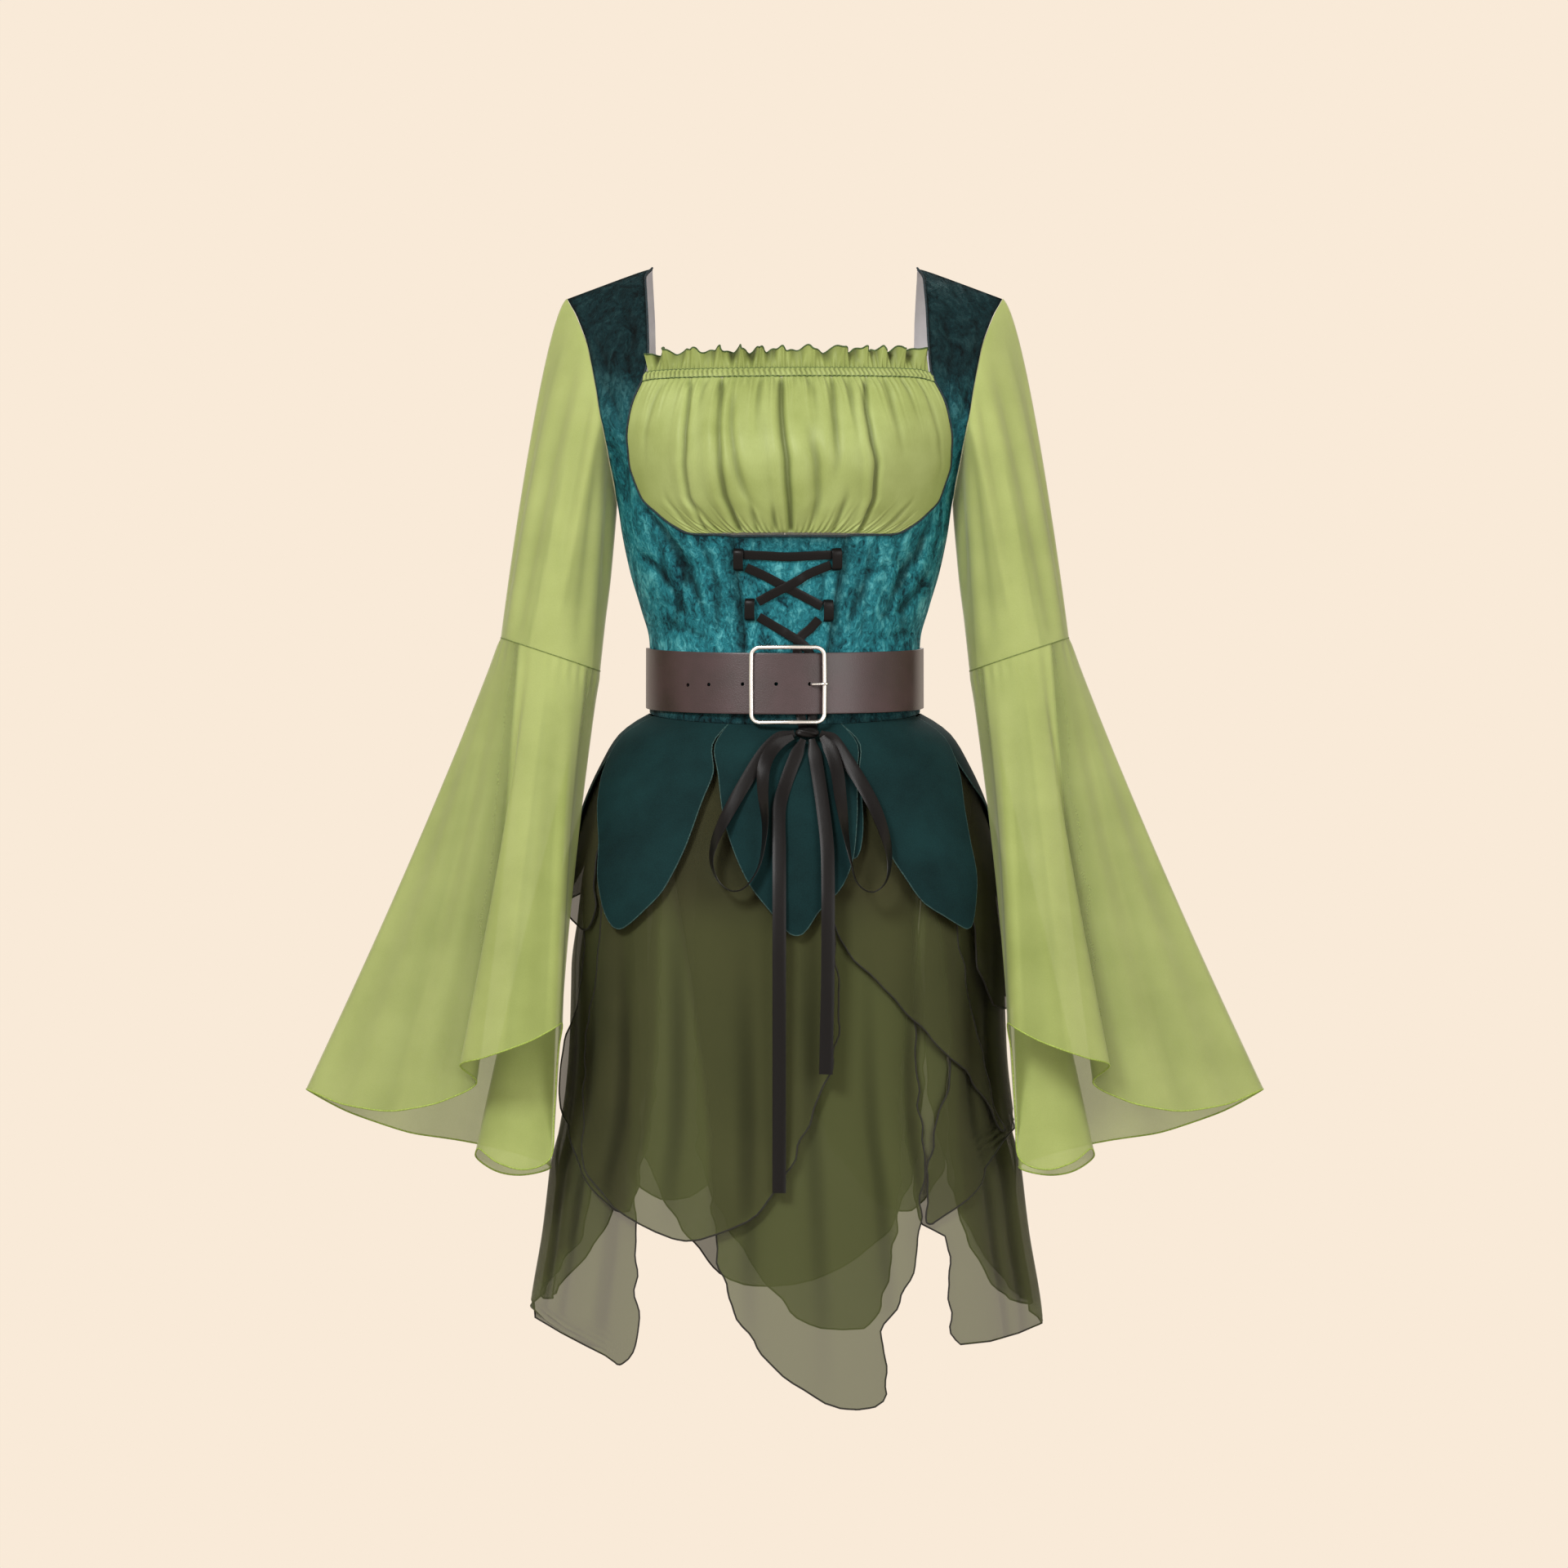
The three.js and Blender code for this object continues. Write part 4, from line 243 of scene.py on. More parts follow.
def torso_spot(x, z):
    """Angle and level of the body's front at a width and a height, by repeated correction."""
    x, z = np.broadcast_arrays(np.asarray(x, float), np.asarray(z, float))
    level = z.copy()
    for _ in range(12):
        angle = np.degrees(np.arcsin(np.clip(x / along_rows(TORSO, 1, level), -1, 1)))
        level = np.minimum(z + shoulder_fall(x, level), SHOULDER_RIDGE)
    return angle, level


def waist_seam(angle):
    """Level of the waist seam: 13 mm lower in front, by the cosine of the angle."""
    return WAIST_LEVEL - WAIST_FRONT_DIP * np.maximum(0, np.cos(np.radians(angle)))


def mesh_object(name, points, faces, materials, face_materials=None, sharp_angle=60):
    """Puts points in millimetres and quads into a new object, shaded smooth except over edges
    sharper than an angle."""
    mesh = bpy.data.meshes.new(name)
    mesh.vertices.add(len(points))
    in_metres = np.asarray(points, np.float64) * MM
    mesh.vertices.foreach_set("co", in_metres.astype(np.float32).ravel())
    mesh.loops.add(faces.size)
    mesh.loops.foreach_set("vertex_index", faces.astype(np.int32).ravel())
    mesh.polygons.add(len(faces))
    mesh.polygons.foreach_set("loop_start", np.arange(0, faces.size, 4, dtype=np.int32))
    for material in materials:
        mesh.materials.append(material)
    if face_materials is not None:
        mesh.polygons.foreach_set("material_index", face_materials.astype(np.int32))
    mesh.update(calc_edges=True)
    mesh.shade_smooth()
    mesh.set_sharp_from_angle(angle=math.radians(sharp_angle))
    made = bpy.data.objects.new(name, mesh)
    bpy.context.scene.collection.objects.link(made)
    return made


def wall_faces(rows, columns, ring):
    """Quads of a closed wall between an outer and an inner sheet of rows by columns points,
    with the sheet that each quad lies on: 0 outer, 1 inner or rim."""
    spans = columns if ring else columns - 1
    row, column = np.meshgrid(np.arange(rows - 1), np.arange(spans), indexing="ij")
    following = (column + 1) % columns

    def at(sheet, r, c):
        return ((sheet * rows + r) * columns + c).ravel()

    outer = np.stack([at(0, row, column), at(0, row + 1, column),
                      at(0, row + 1, following), at(0, row, following)], 1)
    inner = np.stack([at(1, row, column), at(1, row, following),
                      at(1, row + 1, following), at(1, row + 1, column)], 1)
    c = np.arange(spans)
    d = (c + 1) % columns
    foot = rows - 1
    rims = [np.stack([at(0, 0, c), at(0, 0, d), at(1, 0, d), at(1, 0, c)], 1),
            np.stack([at(0, foot, c), at(1, foot, c), at(1, foot, d), at(0, foot, d)], 1)]
    if not ring:
        r = np.arange(rows - 1)
        last = columns - 1
        rims += [np.stack([at(0, r, 0), at(1, r, 0), at(1, r + 1, 0), at(0, r + 1, 0)], 1),
                 np.stack([at(0, r, last), at(0, r + 1, last),
                           at(1, r + 1, last), at(1, r, last)], 1)]
    faces = np.concatenate([outer, inner, *rims])
    inside = np.concatenate([np.zeros(len(outer)), np.ones(len(inner)),
                             np.zeros(sum(len(rim) for rim in rims))])
    return faces, inside


def wall_object(name, outer, inner, materials, ring=False, painted_shade=None):
    """Closed thin wall from its outer and inner sheets; a second material goes on the inside.
    The attribute trough is 1 on open cloth and lower where a fold keeps the light out."""
    rows, columns = outer.shape[:2]
    faces, inside = wall_faces(rows, columns, ring)
    points = np.concatenate([outer.reshape(-1, 3), inner.reshape(-1, 3)])
    made = mesh_object(name, points, faces, materials, inside if len(materials) > 1 else None)
    kept = np.ones((rows, columns)) if painted_shade is None else np.broadcast_to(painted_shade, (rows, columns))
    # Painted shade: this point attribute darkens the cloth's colour wherever it is below 1.
    shading = made.data.attributes.new("painted_shade", "FLOAT", "POINT")
    shading.data.foreach_set("value", np.tile(kept.astype(np.float32).ravel(), 2))
    return made


def trough_shade(lift, reach, depth, strength, ring=False):
    """Painted shade in troughs: 1 less strength times the depth of each point below the mean of
    its neighbours within reach columns, over depth; never under 1 less strength."""
    window = np.ones(2 * reach + 1) / (2 * reach + 1)
    padded = np.pad(lift, ((0, 0), (reach, reach)), mode="wrap" if ring else "edge")
    mean = np.apply_along_axis(np.convolve, 1, padded, window, "valid")
    return 1 - strength * np.clip((mean - lift) / depth, 0, 1)


def draw_back(sheets, by):
    """Moves the four borders of a sheet in by a seam's half gap, square to each border."""
    outer = sheets[0]
    shift = np.zeros_like(outer)
    for axis in (0, 1):
        lined = np.moveaxis(outer, axis, 0)
        moved = np.moveaxis(shift, axis, 0)
        for edge, beside in ((0, 1), (-1, -2)):
            along = unit(np.gradient(lined[edge], axis=0))
            inward = lined[beside] - lined[edge]
            inward = inward - along * np.sum(inward * along, -1, keepdims=True)
            moved[edge] += unit(inward) * by
    return [sheet + shift for sheet in sheets]


def sheet_area(points):
    """Area of a grid in square metres: half the cross product of each quad's two diagonals."""
    first = points[1:, 1:] - points[:-1, :-1]
    second = points[1:, :-1] - points[:-1, 1:]
    return float(np.linalg.norm(np.cross(first, second), axis=-1).sum() / 2 * MM * MM)


def sheet_sides(points):
    """Greatest length across and down a grid, in metres, along the cloth."""
    across = np.linalg.norm(np.diff(points, axis=1), axis=-1).sum(1).max()
    down = np.linalg.norm(np.diff(points, axis=0), axis=-1).sum(0).max()
    return float(across * MM), float(down * MM)


SHORTEST_SIDE = 0.01
LEAST_SHARE = 0.31


def declare_piece(piece, node):
    """The piece rides on the dress in place of the plain solid of a node, which is hidden."""
    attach(piece, "root")
    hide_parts(node)


def declare_cloth(points):
    """Works out the cut of a cloth piece from its grid, but keeps nothing: its area, and its
    sides, which are made shorter by the same factor where the piece fills less than the least
    share of them."""
    width, length = np.maximum(sheet_sides(points), SHORTEST_SIDE).tolist()
    area = sheet_area(points)
    share = area / (width * length)
    if share < LEAST_SHARE:
        shorter = math.sqrt(share / LEAST_SHARE)
        width, length = width * shorter, length * shorter


def crease_relief(x, z, creases):
    """Soft troughs and ridges: each runs from (x0, z0) to (x1, z1), fades towards its ends, and
    falls away beside its line by a bell curve of its own width. Negative depth is a ridge."""
    relief = np.zeros(np.broadcast(x, z).shape)
    for x0, z0, x1, z1, width, depth in creases:
        run = math.hypot(x1 - x0, z1 - z0)
        ax, az = (x1 - x0) / run, (z1 - z0) / run
        along = ((x - x0) * ax + (z - z0) * az) / run
        aside = (x - x0) * az - (z - z0) * ax
        bow = aside + 0.06 * run * np.sin(np.pi * np.clip(along, 0, 1))
        relief -= depth * rise_and_fall(along, -0.1, 0.25, 0.7, 1.1) * bell(bow, width)
    return relief


# Bodice: five panels of crushed velvet over boning, lined in a pale lavender. The side fronts run
# up into the straps; seams are sewn with about 0.3 mm between the panels' edges. The velvet drags
# from the bust corners towards the waist and rucks across just above the belt.
VELVET_WALL = 1.6
SEAM_HALF = 0.16
SIDE_FRONT = (
    # left edge x, right edge x, edge z, outer x, outer z: a row for each seam station
    (121.5, 121.5, 12.3, 200, -15),
    (127.5, 126.5, 4, 197, -21),
    (126.5, 128, -13, 192.5, -29),
    (125, 129, -33, 187, -42),
    (124, 129.5, -52, 180.5, -60),
    (123.5, 130.5, -71, 176, -80),
    (126.5, 132.5, -90, 172.5, -98),
    (129.5, 136, -98.5, 169.5, -116),
    (135.5, 143, -112, 166, -134),
    (140.6, 148.5, -131, 162.5, -152),
    (142, 151, -155, 159.5, -170),
    (139, 149, -178, 156, -189),
    (130, 141, -201, 153.5, -206),
    (116, 129, -216, 151, -218),
    (101, 115, -228, 149, -230),
    (84, 98, -236, 147, -242),
    (46.7, 54.5, -238.6, 145, -254),
    (44, 51, -263, 140, -275),
    (40.2, 46, -293, 133, -300),
    (36.8, 41, -326, 125, -330),
    (36, 38, -363, 123.4, -363),
    (36, 38, -408, 124.6, -395),
)
BACK_EDGE = (
    # x, z of the back neckline, then of the centre-back seam
    (121.5, 12.3), (121.5, 3), (121, -14), (120.5, -32), (120.5, -50), (120, -69), (118, -86),
    (106, -102), (64, -111), (0, -114), (0, -131), (0, -153), (0, -178), (0, -200), (0, -217),
    (0, -234), (0, -252), (0, -275), (0, -300), (0, -330), (0, -363), (0, -395),
)
CASING_TOP, CASING_FOOT, UNDERARM, UNDERBUST, SEAM_TOP, WAIST_STATION = 6, 7, 12, 15, 16, 21
ROWS_PER_STATION = 7
# Front creases: x0, z0, x1, z1, width, depth
VELVET_FRONT_CREASES = (
    (-134, -200, -84, -300, 5, 2.6), (-114, -228, -70, -322, 4, 2.2),
    (-96, -240, -104, -328, 5, 2.0), (-132, -250, -92, -306, 4, 2.2),
    (-76, -244, -58, -316, 4.5, 1.8), (-120, -318, -66, -330, 3.5, 2.0),
    (-118, -300, -78, -312, 3, 1.8), (-104, -262, -64, -276, 4, 1.4),
    (-60, -250, -50, -330, 4, 1.4),
    (-126, -226, -108, -286, 3, 1.6), (-88, -252, -82, -300, 3, 1.3),
    (-70, -282, -62, -330, 3, 1.4),
    (136, -212, 92, -296, 5, 2.5), (118, -236, 84, -318, 4.5, 2.2), (100, -242, 108, -330, 5, 1.9),
    (134, -262, 98, -312, 4, 2.1), (78, -246, 60, -312, 4, 1.7), (122, -320, 66, -331, 3.5, 2.0),
    (120, -296, 84, -310, 3, 1.5), (110, -258, 70, -270, 4, 1.3), (64, -252, 54, -328, 4, 1.4),
    (126, -232, 112, -284, 3, 1.5), (92, -262, 86, -304, 3, 1.4), (74, -286, 66, -331, 3, 1.3),
    (-152, -60, -132, -118, 5, 1.6), (-168, -92, -146, -150, 4.5, 1.8),
    (-146, -20, -138, -78, 5, 1.2),
    (-176, -50, -158, -98, 4, 1.3), (-140, -100, -148, -160, 3.5, 1.4),
    (-134, -36, -150, -84, 4, 1.1),
    (154, -58, 136, -120, 5, 1.6), (170, -90, 150, -152, 4.5, 1.8), (148, -22, 140, -80, 5, 1.2),
    (178, -46, 162, -92, 4, 1.3), (144, -104, 156, -160, 3.5, 1.4), (138, -30, 154, -76, 4, 1.1),
    (-158, -150, -142, -212, 4, 1.8), (160, -150, 146, -214, 4, 1.8),
    (-30, -250, -34, -292, 3.5, 1.0),
    (34, -262, 30, -300, 3.5, 1.0),
)
VELVET_BACK_CREASES = (
    (-120, -120, -60, -190, 6, 1.8), (120, -124, 66, -196, 6, 1.8),
    (-130, -220, -70, -300, 5, 2.0),
    (132, -226, 76, -306, 5, 2.0), (-60, -150, -20, -260, 6, 1.5), (58, -158, 24, -268, 6, 1.5),
    (-116, -318, -40, -330, 4, 1.9), (110, -316, 44, -329, 4, 1.9),
    (-100, -290, -50, -306, 4, 1.5),
    (98, -292, 48, -309, 4, 1.5), (-150, -50, -124, -120, 6, 1.4), (150, -54, 126, -124, 6, 1.4),
    (-90, -210, -44, -282, 4, 1.5), (94, -206, 40, -290, 4, 1.5), (-140, -180, -110, -250, 4, 1.6),
    (138, -176, 112, -246, 4, 1.6), (-30, -200, -16, -316, 4, 1.3), (28, -212, 14, -322, 4, 1.3),
)
CHANNEL_STITCHES = (
    # x at the underbust and at the waist, of the boning channels beside the lacing
    (-50.5, -39.5), (-55.5, -43.5), (58.5, 42.5), (63.5, 46.5),
)
STITCHES_FROM, STITCHES_TO, STITCH_GROOVE = -238, -330, 0.6


def new_material(name, inputs):
    """New material, its node tree, its shader with the given inputs, and the output that gives
    the place on the dress."""
    material = bpy.data.materials.new(name)
    material.use_nodes = True
    tree = material.node_tree
    shader = tree.nodes["Principled BSDF"]
    for input_name, value in inputs.items():
        shader.inputs[input_name].default_value = value
    return material, tree, shader, add_node(tree, "ShaderNodeTexCoord").outputs["Object"]


def crushed_velvet():
    """Polyester velvet, pressed wet so that its pile leans all ways in patches 3 to 30 mm wide:
    it mottles between deep and bright teal. On the straps and under the belt the colour is
    darkened as painted shade, and its creases and edges get painted shade too."""
    material, tree, shader, place = new_material("crushed_velvet", {
        "Sheen Weight": 0.1, "Sheen Roughness": 0.3, "Sheen Tint": linear("3FA9B5"),
        "Specular IOR Level": 0.12,
    })
    drawn = add_node(tree, "ShaderNodeMapping", {"Vector": place}, {"Scale": (1.0, 1.0, 0.6)})
    patches = add_node(tree, "ShaderNodeTexNoise", {"Vector": drawn.outputs[0]},
                       {"Scale": 44, "Detail": 5, "Roughness": 0.62, "Distortion": 1.4})
    crush = add_node(tree, "ShaderNodeTexNoise", {"Vector": drawn.outputs[0]},
                     {"Scale": 210, "Detail": 5, "Roughness": 0.66, "Distortion": 1.2})
    pile = add_node(tree, "ShaderNodeTexNoise", {"Vector": place}, {"Scale": 1100, "Detail": 2})
    broad = add_node(tree, "ShaderNodeMath", {0: patches.outputs[0]}, {1: 0.55},
                     operation="MULTIPLY")
    height = add_node(tree, "ShaderNodeMath", {0: crush.outputs[0], 2: broad.outputs[0]},
                      {1: 0.45}, operation="MULTIPLY_ADD")
    shade = add_node(tree, "ShaderNodeValToRGB", {"Fac": height.outputs[0]})
    shade.color_ramp.elements[0].position = 0.38
    shade.color_ramp.elements[0].color = linear("08303A")
    shade.color_ramp.elements[1].position = 0.64
    shade.color_ramp.elements[1].color = linear("5FB9C2")
    shade.color_ramp.elements.new(0.52).color = linear("25808D")
    # Painted shade by height: the colour darkens up the straps and towards the belt's lower edge.
    level = add_node(tree, "ShaderNodeSeparateXYZ", {0: place}).outputs["Z"]
    strap = add_node(tree, "ShaderNodeMapRange", {"Value": level},
                     {"From Min": -0.21, "From Max": -0.07, "To Min": 1.0, "To Max": 0.09},
                     interpolation_type="SMOOTHSTEP")
    under = add_node(tree, "ShaderNodeMapRange", {"Value": level},
                     {"From Min": -0.40, "From Max": -0.36, "To Min": 0.35, "To Max": 1.0},
                     interpolation_type="SMOOTHSTEP")
    painted_height_shade = add_node(tree, "ShaderNodeMath", {0: strap.outputs[0], 1: under.outputs[0]},
                    operation="MULTIPLY")
    # Painted shade of the creases and panel edges multiplies in as well.
    fold = add_node(tree, "ShaderNodeAttribute", attribute_name="painted_shade")
    kept = add_node(tree, "ShaderNodeMath", {0: painted_height_shade.outputs[0], 1: fold.outputs["Fac"]},
                    operation="MULTIPLY")
    tinted = add_node(tree, "ShaderNodeVectorMath", {0: shade.outputs["Color"]}, operation="SCALE")
    tree.links.new(kept.outputs[0], tinted.inputs["Scale"])
    tree.links.new(tinted.outputs[0], shader.inputs["Base Color"])
    rough = add_node(tree, "ShaderNodeMapRange", {"Value": height.outputs[0]},
                     {"From Min": 0.4, "From Max": 0.62, "To Min": 0.8, "To Max": 0.45})
    tree.links.new(rough.outputs[0], shader.inputs["Roughness"])
    relief = add_node(tree, "ShaderNodeMath", {0: pile.outputs[0], 2: height.outputs[0]},
                      {1: 0.04}, operation="MULTIPLY_ADD")
    bump = add_node(tree, "ShaderNodeBump", {"Height": relief.outputs[0]},
                    {"Strength": 0.8, "Distance": 0.008})
    tree.links.new(bump.outputs[0], shader.inputs["Normal"])
    return material


def plain_lining():
    """Thin polyester lining, plain woven, pale lavender and slightly shiny."""
    material, tree, shader, place = new_material("lavender_lining", {
        "Roughness": 0.5, "Sheen Weight": 0.2,
    })
    cloud = add_node(tree, "ShaderNodeTexNoise", {"Vector": place}, {"Scale": 60, "Detail": 3})
    shade = add_node(tree, "ShaderNodeValToRGB", {"Fac": cloud.outputs[0]})
    shade.color_ramp.elements[0].color = linear("CFCBD6")
    shade.color_ramp.elements[1].color = linear("ECE8F1")
    tree.links.new(shade.outputs["Color"], shader.inputs["Base Color"])
    return material


VELVET = crushed_velvet()
LINING = plain_lining()


def finer_rows(values, first, last, per_station=ROWS_PER_STATION):
    """Values at the seam stations, read smoothly at several rows between each two of them."""
    stations = np.column_stack([np.arange(len(values)), values])
    return along_rows(stations, 1, np.linspace(first, last, (last - first) * per_station + 1))


def bust_edge(side):
    """Angle and level of the neck, bust and lacing-side edge of a side front, at each station."""
    table = np.array(SIDE_FRONT, float)
    x = table[:, 1] if side > 0 else -table[:, 0]
    angle, level = torso_spot(x, table[:, 2])
    level[0] = SHOULDER_RIDGE
    level[WAIST_STATION] = waist_seam(angle[WAIST_STATION])
    return angle, level


def outer_edge():
    """Angle and level of the armhole and side seam of a right side front, at each station."""
    table = np.array(SIDE_FRONT, float)
    angle, level = torso_spot(table[:, 3], table[:, 4])
    angle[UNDERARM:] = 90
    level[UNDERARM:] = table[UNDERARM:, 4]
    level[0] = SHOULDER_RIDGE
    return angle, level


def back_edge():
    """Angle and level of the back neckline and centre-back seam, at each station."""
    table = np.array(BACK_EDGE, float)
    angle, level = torso_spot(table[:, 0], table[:, 1])
    level[0] = SHOULDER_RIDGE
    return 180 - angle, level


def between_edges(left, right, first, last, columns):
    """Grid of angles and levels: straight shares between the left and right edges, row by row;
    towards the waist the rows bend down to the waist seam."""
    share = np.linspace(0, 1, columns)
    ends = [finer_rows(np.asarray(part), first, last) for part in (*left, *right)]
    angle = ends[0][:, None] * (1 - share) + ends[2][:, None] * share
    level = ends[1][:, None] * (1 - share) + ends[3][:, None] * share
    if last == WAIST_STATION:
        rows = np.linspace(first, last, len(ends[0]))
        to_waist = smooth_step(rows, WAIST_STATION - 1, WAIST_STATION)[:, None]
        level = level * (1 - to_waist) + waist_seam(angle) * to_waist
    return angle, level


def torso_sheets(angle, level, lift, wall, under=None):
    """Outer and inner sheets of a panel: the body's surface moved out along its normals."""
    base, normal = torso_point(angle, level), torso_normal(angle, level)
    outer = base + normal * np.asarray(lift)[..., None]
    inner = base + normal * (np.asarray(lift if under is None else under)[..., None] - wall)
    return draw_back([outer, inner], SEAM_HALF)


def velvet_relief(angle, level):
    """Lift of the velvet: listed creases, and a shallow groove along each boning stitch."""
    place = torso_point(angle, level)
    x, z = place[..., 0], place[..., 2]
    facing = np.cos(np.radians(angle)) > 0
    lift = np.where(facing, crease_relief(x, z, VELVET_FRONT_CREASES),
                    crease_relief(x, z, VELVET_BACK_CREASES))
    for top_x, foot_x in CHANNEL_STITCHES:
        line = top_x + (foot_x - top_x) * (z - STITCHES_FROM) / (STITCHES_TO - STITCHES_FROM)
        stitch = bell(x - line, 1.1) * (1 - smooth_step(z, -240, -234))
        lift = lift - STITCH_GROOVE * stitch * facing
    return lift


def sew_velvet(name, angle, level, trims=()):
    """Makes one velvet panel with its lining, and hides the plain solid that it stands for."""
    rows, columns = angle.shape
    from_rim = np.minimum.outer(np.minimum(np.arange(rows), np.arange(rows)[::-1]) / 3.0,
                                np.minimum(np.arange(columns), np.arange(columns)[::-1]) / 2.0)
    lift = velvet_relief(angle, level) * smooth_step(from_rim, 0, 3)
    turned_under_and_shade = np.exp(-from_rim ** 2)
    sheets = torso_sheets(angle, level, lift - 0.35 * turned_under_and_shade, VELVET_WALL)
    # Painted shade in the velvet's creases and along its turned-under edges.
    painted_shade = trough_shade(lift, 5, 1.2, 0.75) * (1 - 0.7 * turned_under_and_shade)
    piece = wall_object(name, *sheets, (VELVET, LINING), painted_shade=painted_shade)
    declare_piece(piece, name.replace("velvet_", "bodice_"))
    declare_cloth(sheets[0])


def edge_thread(name, path, outward, radius, material, ring=False, sides=6):
    """Tube along a path: circles of the radius in the plane of outward and the cross of the
    path's direction with it. It rides on the dress."""
    along = np.gradient(path, axis=0)
    if ring:
        along = np.roll(path, -1, axis=0) - np.roll(path, 1, axis=0)
    along = unit(along)
    aside = unit(np.cross(along, outward))
    out = np.cross(aside, along)
    turn = 2 * np.pi * np.arange(sides) / sides
    tube = (path[:, None] + radius * (np.cos(turn)[None, :, None] * aside[:, None]
                                      + np.sin(turn)[None, :, None] * out[:, None]))
    rows = len(path)
    row, side = np.meshgrid(np.arange(rows if ring else rows - 1), np.arange(sides), indexing="ij")
    after_row, after_side = (row + 1) % rows * sides, (side + 1) % sides
    faces = np.stack([(row * sides + side).ravel(), (row * sides + after_side).ravel(),
                      (after_row + after_side).ravel(), (after_row + side).ravel()], 1)
    points = tube.reshape(-1, 3)
    if not ring:
        caps = np.stack([path[0], path[-1]])
        points = np.concatenate([points, caps])
        c = np.arange(0, sides, 2)
        first, last = len(points) - 2, len(points) - 1
        end = (rows - 1) * sides
        faces = np.concatenate([
            faces,
            np.stack([np.full(len(c), first), (c + 2) % sides, c + 1, c], 1),
            np.stack([np.full(len(c), last), end + c, end + c + 1, end + (c + 2) % sides], 1),
        ])
    piece = mesh_object(name, points, faces, (material,), sharp_angle=180)
    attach(piece, "root")
    return piece


def stitching_thread(name, dark, light):
    """Spun polyester thread in close overlock stitches, about 1.5 mm apart along the edge."""
    material, tree, shader, place = new_material(name, {
        "Roughness": 0.75,
    })
    stitches = add_node(tree, "ShaderNodeTexNoise", {"Vector": place}, {"Scale": 650, "Detail": 1})
    shade = add_node(tree, "ShaderNodeValToRGB", {"Fac": stitches.outputs[0]})
    shade.color_ramp.elements[0].position = 0.35
    shade.color_ramp.elements[0].color = linear(dark)
    shade.color_ramp.elements[1].position = 0.65
    shade.color_ramp.elements[1].color = linear(light)
    tree.links.new(shade.outputs["Color"], shader.inputs["Base Color"])
    bump = add_node(tree, "ShaderNodeBump", {"Height": stitches.outputs[0]},
                    {"Strength": 0.6, "Distance": 0.0005})
    tree.links.new(bump.outputs[0], shader.inputs["Normal"])
    return material


SIDE_COLUMNS, BACK_COLUMNS, CENTER_COLUMNS = 46, 56, 60
seam_angle, seam_level = outer_edge()
for side, side_name in ((-1, "left"), (1, "right")):
    edge = bust_edge(side)
    seam = (seam_angle * side, seam_level)
    left, right = (edge, seam) if side > 0 else (seam, edge)
    sew_velvet(f"velvet_side_{side_name}",
               *between_edges(left, right, 0, WAIST_STATION, SIDE_COLUMNS))
    back = back_edge()
    if side > 0:
        left, right = (180 - seam_angle, seam_level), back
    else:
        left, right = (360 - back[0], back[1]), (180 + seam_angle, seam_level)
    sew_velvet(f"velvet_back_{side_name}",
               *between_edges(left, right, 0, WAIST_STATION, BACK_COLUMNS))
rim = []
share = np.linspace(0, 1, CENTER_COLUMNS)[1:-1]
for part in (0, 1):
    rising, falling = (finer_rows(bust_edge(side)[part], 0, SEAM_TOP) for side in (-1, 1))
    over = rising[-1] * (1 - share) + falling[-1] * share
    rim.append(np.concatenate([rising, over, falling[::-1]]))
rim_normal = torso_normal(*rim)
# A dark tube along the velvet's edge round the bust panel: the turned edge, its near-black colour
# painted shade of the seam.
dark_edge_tube = edge_thread("velvet_dark_edge_tube", torso_point(*rim) + rim_normal * 0.5, rim_normal, 1.0,
                      stitching_thread("dark_teal_edge_shade", "06141A", "10303A"))
sew_velvet("velvet_center_front",
           *between_edges(bust_edge(-1), bust_edge(1), SEAM_TOP, WAIST_STATION, CENTER_COLUMNS),
           (dark_edge_tube,))


# Bust panel: leaf-green satin gathered into the casing above and into the underbust seam below.
# Its folds are soft and uneven, long over the middle and short beside the seams.
SATIN_WALL = 1.1
BUST_COLUMNS = 380
# Long folds: share across at the top, middle and foot, start and end down, width in mm, depth
BUST_FOLDS = (
    (0.18, 0.206, 0.10, -0.1, 1.2, 2.6, 4.2), (0.285, 0.306, 0.26, -0.1, 1.2, 3.2, 5.4),
    (0.345, 0.348, 0.43, 0.08, 0.80, 4.0, 4.0), (0.473, 0.475, 0.48, -0.1, 1.2, 3.0, 5.4),
    (0.51, 0.55, 0.56, 0.28, 1.0, 4.6, 4.2), (0.63, 0.60, 0.55, -0.1, 0.62, 3.4, 3.8),
    (0.745, 0.707, 0.79, -0.1, 1.2, 2.8, 5.0), (0.80, 0.785, 0.77, -0.1, 0.50, 3.2, 2.8),
    (0.92, 0.94, 0.93, -0.1, 0.62, 3.0, 2.6), (0.095, 0.075, 0.06, -0.1, 0.55, 3.0, 2.6),
    (0.235, 0.245, 0.25, -0.1, 0.35, 2.6, 2.4), (0.41, 0.405, 0.39, -0.1, 0.42, 2.8, 2.6),
    (0.56, 0.575, 0.58, -0.1, 0.32, 2.6, 2.4), (0.68, 0.665, 0.66, -0.1, 0.45, 2.8, 2.6),
    (0.86, 0.87, 0.86, -0.1, 0.38, 2.8, 2.2), (0.14, 0.13, 0.04, 0.55, 1.2, 3.0, 2.6),
    (0.22, 0.20, 0.17, 0.60, 1.2, 2.8, 2.6), (0.36, 0.37, 0.335, 0.62, 1.2, 3.0, 2.8),
    (0.42, 0.43, 0.41, 0.66, 1.2, 2.6, 2.4), (0.64, 0.63, 0.66, 0.55, 1.2, 3.2, 2.8),
    (0.84, 0.85, 0.88, 0.60, 1.2, 3.0, 2.6), (0.90, 0.90, 0.94, 0.68, 1.2, 2.8, 2.2),
)
BUST_WIDTH = 285
BUST_FULLNESS = 5
TOP_GATHERS, FOOT_GATHERS, GATHER_DEPTH = 50, 44, 1.25


